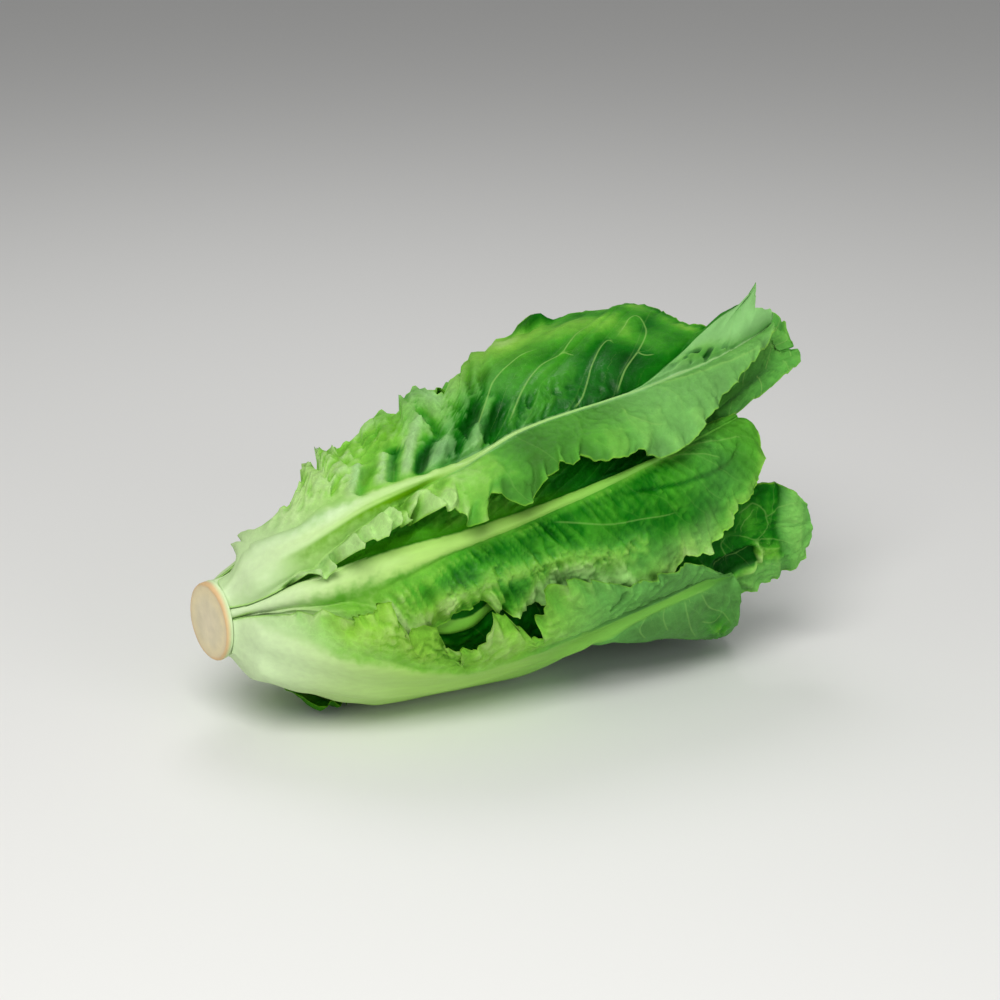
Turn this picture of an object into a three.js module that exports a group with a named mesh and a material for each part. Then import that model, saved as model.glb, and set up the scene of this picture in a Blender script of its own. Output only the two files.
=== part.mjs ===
// Romaine lettuce head, lying on its side. Millimetres, +Z up.
// +X runs along the head from the cut stem to the leaf tips; -Y is the side with the long centre rib.
// The stem carries overlapping rings of leaves: an outer ring, a second ring, a third ring and the heart.
// Every leaf is a closed thin blade that thickens into its rib, and clears its neighbours by a small gap.
import * as THREE from 'three';

// ---- driving dimensions ----
const SCALE = 1.06;           // millimetres for each unit of the tables and dimensions below
const BLADE = 0.9;            // thickness of a leaf blade
const RIB_SKIRT = 1.7;        // a rib blends into the blade at this many half widths from its crest
const AXIS_LOW = 51;          // height of the head's axis at the cut stem
const AXIS_RISE = 21;         // how far the axis climbs towards the tips
const AXIS_SPAN = 95;         // length over which it climbs
const CUT_RADIUS = 17;        // radius of the cut stem's face
const CUT_BACK = -0.8;        // where the cut face stands along the axis
const CUT_COLLAR = 2.2;       // where the collar of the cut ends and the leaves begin
const CORE_RADIUS = 4.8;      // radius of the stem inside the leaves
const CORE_LENGTH = 59;       // how far the stem reaches into the head
const STEM_SIDES = 40;

// ---- the head's own coordinates: along the axis, around it and out from it ----
// around: 0 degrees is up, 90 is towards -Y, 180 is down, 270 is towards +Y
const axisHeight = (s) => AXIS_LOW + AXIS_RISE * (1 - Math.exp(-Math.max(s, 0) / AXIS_SPAN));
function place(s, around, out) {
  const t = (around * Math.PI) / 180;
  return [SCALE * s, -SCALE * out * Math.sin(t), SCALE * (axisHeight(s) + out * Math.cos(t))];
}

// ---- leaves ----
// net: stations from the base to the tip, each a row of [along, around, out] from one margin across the rib to the other.
// rib: for each station the rib's half width, how far it stands out of the blade, and how far it stands in.
const LEAVES = [
  // outer leaf under the back
  { name: 'outer_back_low_leaf', colour: '#7fbf4a', ribColumn: 3,
    rib: [[8.0,2.10,2.10],[9.0,2.36,2.36],[10.0,2.60,2.60],[9.6,2.56,2.56],[9.3,2.53,2.53],[8.8,2.47,2.47],[7.9,2.31,2.31],[6.9,2.16,2.16],[6.0,2.00,2.00],[5.1,1.69,1.69],[4.1,1.38,1.38],[3.2,1.06,1.06],[2.8,0.88,0.88],[2.4,0.74,0.74],[2.1,0.59,0.59],[1.8,0.45,0.45],[1.5,0.30,0.30]],
    net: [
    [[3.2,184.6,16],[3.2,201.2,17.1],[3.2,210.6,16.4],[3.2,224,13.9],[3.2,237.4,16.4],[3.2,246.8,17.1],[3.2,263.4,16]],
    [[19.1,197.4,28],[19.2,208.7,28.9],[19.3,215.1,28.2],[19.4,224.3,25.6],[19.3,233.3,28.2],[19.2,239.7,28.9],[19.1,250.9,28]],
    [[34.9,171.8,47.4],[35.2,198.6,46],[35.4,211.5,43.8],[35.6,224.5,40.7],[35.3,232.6,43.4],[35.2,238.3,44.2],[34.9,248.3,43.3]],
    [[50.8,166.2,58.2],[51.4,204.5,55],[51.6,214.6,53.1],[51.7,224.8,50.6],[51.4,233.8,53.3],[51.2,240.2,54.1],[50.8,251.5,53.2]],
    [[66.7,182.3,60.8],[67.4,206.9,60.3],[67.6,216,58.9],[67.9,225,56.6],[67.5,234.2,59],[67.2,243.1,60],[66.7,256.3,59.1]],
    [[82.5,191.5,62.4],[83.3,209.1,63.9],[83.7,217.2,63.2],[84.1,225.3,61.4],[83.7,233.3,63.3],[83.4,241.4,64.5],[82.5,261.1,63.8]],
    [[98.4,185.9,64.5],[99.6,211.9,66.3],[99.9,218.7,66.2],[100.3,225.5,64.9],[99.9,232.3,66.5],[99.6,239.1,67.5],[98.4,265.1,67.2]],
    [[114.2,183.1,65.8],[115.8,214.2,67.8],[116.1,220,68.2],[116.4,225.8,67.4],[116.1,231.5,68.6],[115.8,237.3,69.6],[114.2,268.1,69.6]],
    [[130.1,182.1,66.3],[132,215.5,69.1],[132.3,221.1,70.1],[132.6,226,69.6],[132.3,230.9,70.7],[132,236.6,71.6],[130.1,270.1,71.7]],
    [[146,180.5,67.5],[148.1,215.3,70.7],[148.5,221.7,71.9],[148.8,226.3,71.7],[148.5,230.8,72.7],[148.1,237.2,73.6],[146,271.9,73.5]],
    [[161.8,179.4,68.1],[164.2,215.2,71.7],[164.6,221.8,73.1],[165,226.5,73],[164.6,231.2,74],[164.2,237.8,74.9],[161.8,273.6,74.5]],
    [[177.7,180.3,68.7],[180.3,215.6,72.8],[180.8,222.1,74.4],[181.1,226.8,74.5],[180.8,231.4,75.4],[180.3,237.9,76.3],[177.7,273.2,75.6]],
    [[193.5,182.2,69.3],[196.4,216.2,73.7],[196.9,222.5,75.3],[197.3,227,75.4],[196.9,231.5,76.3],[196.4,237.8,77.2],[193.5,271.8,76.4]],
    [[209.6,184.5,69.8],[212.6,217,74.2],[213.1,223,75.8],[213.5,227.3,75.8],[213.1,231.5,76.7],[212.6,237.5,77.6],[209.6,270,76.7]],
    [[226.3,189.4,71],[228.9,218.4,75.3],[229.3,223.7,76.6],[229.7,227.5,76.5],[229.3,231.3,77.4],[228.9,236.6,78.2],[226.3,265.6,77.2]],
    [[243.2,201.6,72.8],[245.2,221.5,76.2],[245.6,225.1,76.8],[245.8,227.8,76.5],[245.6,230.4,77.3],[245.2,234,78.1],[243.2,253.9,77]],
    [[260,220.5,74.5],[261.4,225.8,76.7],[261.7,226.9,76.4],[262,228,75.5],[261.7,229.1,76.6],[261.4,230.2,77.3],[260,235.5,75.8]]] },
  // lower front outer leaf, the lowest and outermost on the front
  { name: 'lower_front_leaf', colour: '#8ccb55', ribColumn: 4,
    rib: [[9.0,2.53,2.07],[10.8,2.86,2.34],[12.4,3.17,2.60],[13.6,3.47,2.84],[14.0,3.58,2.92],[14.0,3.58,2.92],[14.0,3.58,2.92],[14.0,3.58,2.92],[13.3,3.51,2.87],[12.6,3.44,2.82],[11.9,3.38,2.76],[11.1,3.31,2.71],[10.4,3.22,2.64],[9.7,3.12,2.56],[9.0,3.03,2.47],[8.1,2.78,2.27],[7.2,2.53,2.07],[6.3,2.29,1.87],[5.6,2.06,1.69],[4.9,1.85,1.52],[4.2,1.64,1.34],[3.5,1.43,1.17],[3.0,1.27,1.04],[2.6,1.12,0.91],[2.1,0.96,0.78],[1.7,0.80,0.66],[1.4,0.63,0.51],[1.2,0.45,0.37],[1.0,0.28,0.22]],
    net: [
    [[4.7,72.4,17],[3.3,77.3,18],[2.8,82.2,18.3],[2.8,87.8,17.8],[2.8,95.7,15.5],[2.8,114.8,21.3],[2.8,128.4,22.3],[2.8,140.2,21.1],[3.2,152,18]],
    [[8.4,73.6,23.9],[7.7,79.8,24.9],[7.1,86.1,25.3],[6.3,93.4,24.9],[5.2,104.1,22.7],[6.5,120.5,28.8],[7.4,132.1,30],[8.2,142.3,28.7],[9,152.4,25.7]],
    [[15.3,76.3,31.2],[14.8,83.1,32.3],[14.2,90,32.7],[13.6,98.1,32.3],[12.7,109.9,30.2],[14.9,127.3,36.6],[16.4,139.6,37.6],[17.7,150.4,36],[19,161.2,33]],
    [[24.9,78.8,38.8],[24,86.1,39.8],[23.1,93.3,40.2],[22.1,101.5,39.7],[20.7,112.8,37.4],[24.4,131.3,43.3],[28,149.8,44.7],[30.7,163.6,41.9],[33.5,177.4,39.5]],
    [[31.8,79.9,45.4],[31.1,87.8,46.3],[30.4,95.5,46.5],[29.6,104,45.9],[28.7,115.4,43.4],[32.9,131.5,48.2],[37.1,147.6,49.6],[42.7,169,48.4],[48.3,190.5,46.8]],
    [[35.7,83.6,50.6],[35.9,90.8,51.4],[36,98.1,51.5],[36.2,106.4,50.8],[36.5,118.2,48.1],[41.1,132.5,52.2],[45.6,146.9,53.5],[53.7,172.6,53.1],[61.9,198.3,52.4]],
    [[41,84.9,54.5],[41.6,92.2,55.3],[42.3,99.6,55.3],[43.1,108.3,54.4],[44.3,121.1,51.5],[49.2,134.4,55.4],[54,147.7,56.7],[63.9,175.1,57.7],[73.9,202.6,56.4]],
    [[46.9,84.4,57.5],[47.9,92.3,58.2],[49,100.3,58.1],[50.2,109.9,57.1],[52.1,123.8,54.2],[57.2,136.5,58.1],[62.3,149.2,59.9],[73.4,177,61.6],[84.6,204.8,59.5]],
    [[53.1,81.5,59.9],[54.5,91,60.5],[55.9,100.5,60.4],[57.9,113.1,59.1],[60,126.1,56.3],[65,137.8,59.9],[70,149.4,61.5],[82.3,177.7,62.9],[94.5,205.9,60.9]],
    [[56.7,89.1,61.9],[59.6,97.1,62.5],[62.2,105.3,62.3],[65.3,116.3,61],[68,127.8,58.4],[72.9,138.5,61.5],[77.7,149.2,62.7],[90.9,178.1,64],[104.1,207.1,61.6]],
    [[60.2,97.7,63.6],[64.5,103.5,64.3],[68.4,109.8,64.2],[72.7,118.9,62.9],[76.2,129,60.3],[80.8,138.8,62.9],[85.4,148.6,63.6],[99.3,178.3,64.2],[113.2,207.9,61.7]],
    [[72.4,96.1,65.3],[75,103.4,65.9],[77.6,110.6,65.8],[81,120.2,64.6],[84.5,129.7,61.9],[88.8,138.8,64.2],[93.4,148.5,64.6],[107.5,178.2,64.8],[121.6,207.9,62]],
    [[81.3,107,66.9],[83.6,110.8,67.5],[86,115.2,67.3],[89.4,122.1,65.9],[92.9,130.1,63.2],[96.8,138.5,65.2],[101.6,148.6,65.6],[115.5,177.8,65.5],[129.4,207,62.2]],
    [[89.7,109.7,68.3],[92,112.9,68.8],[94.5,116.7,68.5],[97.7,122.7,67.1],[101.1,129.9,64.3],[104.9,137.6,66],[110,148.2,66.4],[124.1,177.1,65.8],[138.2,206.1,62.1]],
    [[96,99.8,69.3],[99,106.8,69.8],[101.9,113.5,69.5],[105.7,121.4,68],[109.3,128.8,65.2],[113.3,136.5,66.8],[118.9,147.4,67.3],[134.1,176.8,66.1],[149.4,206.2,62]],
    [[101.8,97.7,69.9],[105.6,105.4,70.5],[109.1,112.4,70.3],[113.3,120.2,68.9],[117.2,126.8,66.2],[121.6,134.7,67.8],[127.9,145.7,68.4],[144.8,175.5,67.2],[161.7,205.3,62.5]],
    [[107,99.9,70.7],[112,106.8,71.3],[116.6,113.2,71],[121,119.2,69.6],[125,124.6,67.2],[129.5,131.9,68.9],[135.7,142,69.6],[152.6,169.5,68.2],[169.4,197,63.3]],
    [[123.7,109.7,71.9],[124.6,111.8,72.5],[127.1,115.5,71.6],[129.7,118.8,70.2],[133,122.6,68.2],[136.5,127.9,70.1],[141.3,135.4,71.5],[154.5,155.5,71.6],[167.6,175.7,66.5]],
    [[121.1,98.9,73.5],[127.5,106.1,73.8],[134.6,113.9,72.2],[137.7,117.3,70.9],[141,120.8,69.2],[143.8,124.8,72],[146.6,128.7,73.8],[153.4,138.3,74.2],[160.2,147.9,69.4]],
    [[123.6,91.5,75.2],[133.4,102.3,75.2],[142.9,112.5,72.9],[145.8,115.6,71.7],[148.8,118.7,70.2],[151.4,121.8,75.5],[153.2,124,76.1],[154.8,125.9,74.5],[156.4,127.8,71]],
    [[134.1,91.6,76.5],[142.6,101.3,76.4],[151,110.5,74],[153.8,113.5,72.7],[156.3,116.1,71.3],[158.3,118.7,76.4],[159.7,120.5,76.9],[161,122.1,75.2],[162.2,123.7,71.7]],
    [[146.2,94.3,77.6],[152.9,101.6,77.4],[159.6,108.8,75],[161.8,111.1,73.7],[163.8,113.3,72.3],[165.3,115.8,75.3],[166.9,118.3,77],[169.9,123.3,76.9],[173,128.3,71.9]],
    [[158.5,97.4,78.5],[163.2,102,78.3],[168.1,107.2,75.9],[169.8,109,74.6],[171.5,110.9,73.1],[172.7,113.1,75.1],[174.2,115.8,76.8],[178.4,123.5,77.7],[182.7,131.3,72.1]],
    [[168.8,96.3,79.4],[172.6,100.8,79.1],[176.7,105.6,76.5],[178,107.2,75.2],[179.3,108.9,73.6],[180.5,111.2,75.5],[182.2,114.3,77.4],[186.8,123,78.1],[191.3,131.6,72.5]],
    [[177.5,94.2,80],[181.3,99.1,79.6],[185,104.1,76.9],[186.3,105.8,75.4],[187.3,107.2,74],[189,110.1,75.9],[191.4,114,77.8],[197.8,124.7,78.5],[204.2,135.5,72.9]],
    [[185.9,92.9,80.2],[189.6,97.9,79.8],[193.2,102.7,77.1],[194.5,104.5,75.6],[195.4,105.7,74.2],[198.3,109.8,76.2],[202.3,115.6,78.1],[213.3,131.1,79],[224.2,146.7,73.5]],
    [[194,93.2,80.1],[197.6,97.6,79.8],[201.3,101.9,77.2],[202.6,103.4,75.7],[203.6,104.5,74.4],[207.3,109.5,76.4],[212.5,116.3,78.4],[226.6,135,79.5],[240.7,153.7,74.3]],
    [[201.8,95.7,79.7],[205.5,98.8,79.6],[209.4,101.9,77.2],[210.8,103.1,75.8],[211.8,103.9,74.5],[214.6,107.6,76.6],[218.5,112.8,78.7],[229,126.8,80.1],[239.6,140.9,75.1]],
    [[209.3,99.7,79],[213.4,101.2,79.3],[217.5,102.7,77.2],[219,103.2,75.9],[220.1,103.6,74.7],[220.4,104.4,76.8],[220.9,105.5,79],[222.3,108.5,80.7],[223.7,111.5,76]]] },
  // upper front outer leaf, whose upper half stands up as a sail
  { name: 'upper_front_leaf', colour: '#7cc04a', ribColumn: 4,
    rib: [[8.0,2.42,1.98],[9.1,2.73,2.23],[10.1,3.00,2.45],[10.5,3.14,2.56],[10.9,3.27,2.68],[10.5,3.22,2.63],[9.9,3.12,2.55],[9.3,3.02,2.47],[8.4,2.82,2.31],[7.2,2.52,2.06],[6.0,2.22,1.82],[4.9,1.93,1.58],[4.2,1.69,1.38],[3.5,1.44,1.18],[3.1,1.29,1.05],[3.0,1.22,1.00],[2.9,1.16,0.94],[2.7,1.09,0.89],[2.6,1.02,0.84],[2.5,0.96,0.78],[2.3,0.89,0.73],[2.2,0.83,0.67],[2.1,0.77,0.63],[2.0,0.72,0.58],[1.9,0.66,0.54],[1.8,0.60,0.49],[1.6,0.55,0.45],[1.5,0.49,0.40],[1.4,0.44,0.36],[1.3,0.39,0.31],[1.2,0.33,0.27]],
    net: [
    [[5.4,13.6,17],[5.4,16.4,17.9],[5.4,19.2,18.1],[5.4,22.4,17.5],[5.4,26.9,15.1],[5.9,36,17.7],[6.2,42.5,18.4],[6.6,48.2,18.3],[6.9,53.8,17.5]],
    [[17.2,-17.2,28.2],[16.8,-8.6,28.7],[16.2,0.7,28.6],[15.4,12.2,27.7],[14,30.4,24.9],[14.4,40.3,27.2],[14.7,47.7,27.8],[15,54.4,27.6],[15.3,61.2,26.6]],
    [[24.6,3.3,34.9],[24.4,7.9,35.8],[24.1,13.5,35.9],[23.5,21.3,35.2],[22.1,35.5,32.7],[23.3,43.1,35.1],[24.2,48.7,35.7],[24.9,53.7,35.5],[25.7,58.7,34.6]],
    [[35.6,6.9,41.3],[34.5,13,42.1],[33.4,19.4,42.1],[32.2,27.1,41.3],[30.4,38.8,38.6],[31.9,45.5,41.2],[33.2,51.5,41.9],[34.5,57.5,41.7],[35.9,64.2,40.9]],
    [[47.7,-9.5,48.1],[45.7,1.4,48.4],[43.8,12.3,48],[41.5,25.7,46.3],[39.2,39.1,43.3],[39.6,45,45.9],[40,49.7,46.6],[40.3,54,46.5],[40.7,58.6,45.7]],
    [[61.1,-20.7,53.6],[56.9,-2.7,53.6],[53.1,14.4,52.3],[50.5,26.9,50.5],[48.1,38.7,47.9],[47.4,44.3,50.4],[47,48.3,51],[46.6,51.8,50.8],[46.2,55.3,49.9]],
    [[67.7,-1,58.1],[65.2,8.9,58],[62.1,20.2,56.5],[59.6,29.1,54.7],[56.8,38.6,52.2],[55.2,44.2,54.6],[54.2,48.3,55.2],[53.3,52.1,55],[52.4,56,54.1]],
    [[85.5,-9.1,63.1],[79,6.6,62.4],[72.6,22.2,60],[69.1,30.6,58],[65.6,38.9,55.5],[62.9,44.2,58.4],[61.1,48.2,59.4],[59.5,51.9,59.4],[58,55.8,58.8]],
    [[101.4,-11.6,67.3],[91.2,7.6,66.2],[81.9,25.1,63.2],[78,32.5,61.2],[74.3,39.5,58.9],[71.9,44.3,62.4],[70.2,47.7,63.8],[68.7,50.8,64.3],[67.3,53.9,64]],
    [[107.7,6.8,70.7],[99.3,17.8,69.6],[90.4,29.8,66.4],[86.8,34.8,64.5],[83.1,40,62.3],[81.8,44.9,66.6],[80.8,48.4,68.5],[80,51.6,69.4],[79.2,54.9,69.7]],
    [[138.1,-14.2,76.4],[119.3,8.9,73.7],[102,28.9,68.9],[96,35.5,66.6],[91.9,40,64.7],[90,44.6,69],[88.3,49.2,72.2],[86.8,53.1,74],[85.4,57,75]],
    [[163.6,-20.1,81.7],[139.3,3,77.6],[115.5,25.4,71.4],[106.8,33.5,68.5],[100.6,39.3,66.3],[98.5,42.8,69.4],[96.5,46.3,72.1],[91.8,54.2,76.6],[86.9,62.2,79.3]],
    [[182.7,-20.3,84.3],[155.5,0.9,79.8],[127.4,23.2,73.1],[116.8,31.7,70],[109.2,37.8,67.7],[107.5,40.7,70.1],[105.7,43.8,72.6],[100,52.4,78.5],[94.3,60,82.1]],
    [[199.5,-19.5,86],[168.9,1,81.2],[137.7,22.2,74.3],[126,30.2,71.2],[117.6,36,68.9],[116.5,38.6,71.1],[114.7,42.1,73.9],[109.8,51,79.9],[104.4,58.8,83.5]],
    [[213.2,-18.2,85.5],[180.3,1.6,81.4],[147.2,21.7,75.1],[134.9,29.1,72.2],[126.2,34.4,69.9],[125.3,37,72],[124,40.5,74.8],[120.5,50.2,80.6],[117,59.8,84.1]],
    [[223.9,-18.5,86],[190.2,1.1,81.9],[156.3,20.9,75.7],[143.8,28.2,72.9],[134.9,33.5,70.7],[134,35.8,72.8],[132.6,39,75.4],[128.8,47.4,80.9],[124.4,55.2,84.1]],
    [[231.2,-17.5,85.7],[198,1.5,81.9],[164.7,20.7,76.1],[152.4,27.8,73.5],[143.6,32.9,71.4],[142.6,35.1,73.4],[141.2,38,75.9],[136.9,45.4,81.1],[132.1,51.9,84]],
    [[232.6,-9.8,83.7],[202.7,5.7,81.2],[172.1,22,76.4],[160.6,28.1,74],[152.4,32.6,72.1],[151.4,34.7,74],[149.9,37.6,76.4],[146,45.2,81.4],[142.3,52.3,84.1]],
    [[232.4,1.1,83.1],[205.9,12.5,81],[178.7,24.4,76.7],[168.5,29,74.5],[161.2,32.3,72.8],[160.2,34.5,74.7],[158.8,37.6,77],[155,45.9,81.9],[151.2,54.1,84.5]],
    [[232.6,11.2,83],[209.3,18.8,81.3],[185.4,26.8,77.3],[176.4,29.9,75.2],[169.9,32.1,73.5],[169,34.4,75.4],[167.6,37.7,77.7],[164,46.6,82.5],[160.5,55.5,85]],
    [[237,15.7,84],[215,21.6,82.3],[192.8,27.8,78.2],[184.6,30.2,76.1],[178.7,31.9,74.5],[177.7,34.4,76.3],[176.3,37.8,78.6],[172.8,46.5,83.2],[169.7,54.5,85.5]],
    [[242.6,16.3,85.7],[221.8,21.9,83.7],[200.8,27.8,79.4],[193,30.1,77.3],[187.4,31.7,75.5],[186.4,34.3,77.3],[184.8,37.9,79.5],[180.7,47.5,83.8],[176.6,56.9,85.9]],
    [[249.5,13.8,87.7],[229.3,20.5,85.4],[209,27.1,80.7],[201.5,29.6,78.4],[196.2,31.3,76.6],[195.2,33.9,78.3],[193.7,37.4,80.3],[189.9,47.3,84.3],[186.3,57.4,86]],
    [[255.7,12.8,89.6],[236.4,19.5,87],[217.1,26.4,82],[210,28.9,79.6],[204.9,30.8,77.7],[204.1,33.1,79.2],[203,36.4,81.1],[200.3,45.6,84.7],[198,55.4,86]],
    [[260.8,12.1,91.4],[242.9,18.9,88.5],[225,25.7,83.3],[218.4,28.3,80.8],[213.6,30.1,78.8],[213.1,32.1,80.3],[212.2,34.9,82],[210,42.5,85.2],[207.9,50.3,86]],
    [[266.6,10,92.8],[249.1,17.9,89.9],[232.5,25.2,84.6],[226.6,27.7,82.1],[222.4,29.5,80.1],[222,31.2,81.5],[221.4,33.5,83],[219.8,39.9,85.7],[218.2,46.3,86.1]],
    [[269.9,9,93.7],[253.9,17.6,91],[239.5,24.9,86],[234.5,27.2,83.5],[231.1,28.8,81.6],[230.7,30.2,82.8],[230.2,32.1,84.2],[228.8,37.2,86.4],[227.2,42.1,86.4]],
    [[262.6,15,94.1],[254.4,20.1,91.8],[245.6,24.9,87.2],[242.2,26.7,84.9],[239.8,27.9,83.1],[239.4,29,84.2],[238.9,30.5,85.4],[237.5,34.6,87.3],[236,38.4,86.8]],
    [[258.3,19.7,93.6],[256,21.9,92.1],[251.8,24.6,88.2],[249.9,25.7,86.2],[248.3,26.6,84.6],[247.9,27.5,85.7],[247.5,28.6,86.7],[246.3,31.8,88.3],[245,35,87.5]],
    [[263.3,20.1,92.4],[261.2,21.9,91.9],[258.6,23.7,89.1],[257.6,24.4,87.6],[256.7,25,86.1],[256.3,25.8,87.4],[256,26.7,88.3],[255.1,28.9,89.3],[254.4,31.2,88.2]],
    [[265.4,21.5,91],[265.3,21.8,91.6],[265.2,22.2,91.6],[265.2,22.6,90.6],[265.1,23.2,87.7],[264.6,23.9,89.3],[264.2,24.7,90.2],[263.6,25.6,90.2],[263,26.5,89]]] },
  // outer leaf on the back
  { name: 'outer_back_leaf', colour: '#74b545', ribColumn: 3,
    rib: [[8.0,2.10,2.10],[9.4,2.45,2.45],[9.7,2.57,2.57],[9.3,2.53,2.53],[8.5,2.42,2.42],[7.2,2.21,2.21],[6.0,2.00,2.00],[4.8,1.58,1.58],[3.5,1.17,1.17],[2.8,0.88,0.88],[2.3,0.69,0.69],[1.9,0.49,0.49],[1.5,0.30,0.30]],
    net: [
    [[4,242.5,11.7],[4,259.1,12.1],[4,268.6,11.7],[4,282,11.5],[4,295.4,14.8],[4,304.9,15.6],[4,321.5,14.5]],
    [[25.9,247.4,20.6],[26.1,262,20.8],[26.2,270.3,20.2],[26.3,282.2,19.8],[26.2,294,23.1],[26.1,302.3,23.9],[25.9,316.9,23]],
    [[47.8,246.8,36.7],[48.2,261.7,37.4],[48.4,270.2,36.7],[48.7,282.3,34.6],[48.4,294.4,37.5],[48.2,303,38.2],[47.8,317.9,37.4]],
    [[69.8,239.1,43.9],[70.3,257.6,44.8],[70.6,270.1,43.7],[71,282.5,41.5],[70.6,294.9,43.8],[70.3,307.4,44.9],[69.8,325.9,44]],
    [[91.7,233.4,50.8],[92.7,263,51.2],[93,272.8,50.1],[93.3,282.7,48.4],[93,292.5,50.1],[92.7,302.3,51.2],[91.7,331.9,50.8]],
    [[113.6,232.9,59],[115.1,268.5,59.1],[115.4,275.7,58.2],[115.7,282.8,56.9],[115.4,290,58.2],[115.1,297.1,59.2],[113.6,332.7,59.1]],
    [[135.5,234.4,66.7],[137.4,271.3,66.5],[137.7,277.8,65.8],[138,283,65.1],[137.7,288.2,66.1],[137.4,294.7,67.1],[135.5,331.6,67.2]],
    [[157.4,234.3,71],[159.6,271.4,70.8],[160,278.3,70.3],[160.3,283.2,70.2],[160,288.1,71.3],[159.6,294.9,72.3],[157.4,332.1,72.1]],
    [[179.3,233.3,71.9],[181.9,271.3,72],[182.3,278.3,71.4],[182.7,283.3,71.3],[182.3,288.3,72.4],[181.9,295.3,73.3],[179.3,333.4,72.8]],
    [[201.2,235.7,73.4],[204.1,272,73.9],[204.6,278.7,73.4],[205,283.5,72.9],[204.6,288.3,73.8],[204.1,295,74.6],[201.2,331.3,73.9]],
    [[223.6,239.1,74],[226.4,273,74.9],[227,279.2,74.2],[227.3,283.7,73.5],[227,288.1,74.3],[226.4,294.4,75.1],[223.6,328.2,74.2]],
    [[246.8,250.3,73.6],[249,275.8,74.9],[249.4,280.5,74.2],[249.7,283.8,73.5],[249.4,287.2,74.2],[249,291.9,75],[246.8,317.4,74]],
    [[270,275.9,72.3],[271.4,281.7,73.9],[271.7,282.8,73.2],[272,284,72.1],[271.7,285.2,73.2],[271.4,286.3,73.9],[270,292.1,72.4]]] },
  // outer leaf on the back of the top
  { name: 'outer_top_leaf', colour: '#5da23a', ribColumn: 3,
    rib: [[6.0,1.70,1.70],[6.8,2.03,2.03],[7.0,2.10,2.10],[7.0,2.10,2.10],[6.7,2.02,2.02],[5.8,1.81,1.81],[5.0,1.60,1.60],[4.2,1.35,1.35],[3.3,1.10,1.10],[2.8,0.88,0.88],[2.3,0.69,0.69],[1.9,0.49,0.49],[1.5,0.30,0.30]],
    net: [
    [[5,294.5,9.3],[5,310.3,10.6],[5,319.3,10.2],[5,332,8.9],[5,344.7,12.9],[5,353.7,14.1],[5,369.5,12.9]],
    [[25.2,297.6,16.3],[25.3,312.3,17.5],[25.4,320.6,17],[25.6,332.5,15.6],[25.4,344.4,19.8],[25.3,352.7,21],[25.2,367.4,19.9]],
    [[45.3,296.6,29.3],[45.7,311.9,30.9],[45.9,320.6,30.4],[46.2,333,29.5],[45.9,345.4,33.3],[45.7,354.1,34.4],[45.3,369.4,33.3]],
    [[65.5,291.8,36.1],[66.2,313.6,38.5],[66.5,323.6,38.5],[66.8,333.5,37.8],[66.5,343.4,40.7],[66.2,353.4,42.2],[65.5,375.2,41.4]],
    [[85.7,286.3,39.6],[86.8,317.6,43.2],[87.1,325.8,43.8],[87.4,334,43.5],[87.1,342.2,46],[86.8,350.4,47.8],[85.7,381.7,47.5]],
    [[105.9,286.5,47.8],[107.4,322.3,50.4],[107.7,328.4,50.8],[107.9,334.5,51.2],[107.7,340.6,53.7],[107.4,346.7,55.5],[105.9,382.5,55.7]],
    [[126,288.9,56.6],[127.9,323.9,58.4],[128.3,330.4,58.3],[128.5,335,59.6],[128.3,339.6,62.1],[127.9,346.1,64.1],[126,381.1,64.2]],
    [[146.2,290.5,64.4],[148.4,324.7,65],[148.8,331,65.3],[149.1,335.5,66.7],[148.8,340,69.5],[148.4,346.3,71.3],[146.2,380.5,70.9]],
    [[166.3,291.2,67.9],[168.9,325.3,67.4],[169.3,331.5,67],[169.7,336,69.5],[169.3,340.5,72.5],[168.9,346.7,74.2],[166.3,380.8,73.4]],
    [[186.5,293.5,69.2],[189.4,326.2,68.3],[189.9,332.2,68],[190.3,336.5,70.6],[189.9,340.8,73.6],[189.4,346.8,75.1],[186.5,379.5,74.2]],
    [[207.1,296.6,69.9],[209.9,327.3,70.4],[210.5,333,70.1],[210.8,337,71],[210.5,341,73.5],[209.9,346.7,74.9],[207.1,377.4,74]],
    [[228.6,306.7,69.7],[230.7,330.1,70.7],[231.1,334.4,71.3],[231.4,337.5,71.7],[231.1,340.6,73.2],[230.7,344.9,74.2],[228.6,368.3,73.1]],
    [[250,330.5,69.3],[251.4,335.6,71.2],[251.7,336.8,71.4],[252,338,70.8],[251.7,339.2,72.2],[251.4,340.4,72.9],[250,345.5,71.4]]] },
  // centre front leaf with the long pale rib
  { name: 'centre_front_leaf', colour: '#74bb45', ribColumn: 4,
    rib: [[5.0,2.09,1.71],[6.5,2.48,2.03],[7.8,2.85,2.34],[8.7,3.18,2.60],[8.9,3.35,2.74],[8.8,3.42,2.80],[8.6,3.50,2.86],[8.5,3.58,2.92],[8.0,3.44,2.82],[7.5,3.31,2.71],[7.1,3.18,2.60],[6.6,3.05,2.50],[6.2,2.87,2.35],[5.8,2.67,2.19],[5.4,2.48,2.02],[5.0,2.28,1.86],[4.6,2.09,1.71],[4.3,1.91,1.56],[3.9,1.72,1.41],[3.6,1.54,1.26],[3.2,1.36,1.11],[2.9,1.19,0.97],[2.5,1.02,0.84],[2.1,0.85,0.70],[1.8,0.69,0.57],[1.6,0.59,0.48],[1.4,0.48,0.40],[1.2,0.38,0.31],[1.0,0.28,0.22]],
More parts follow.
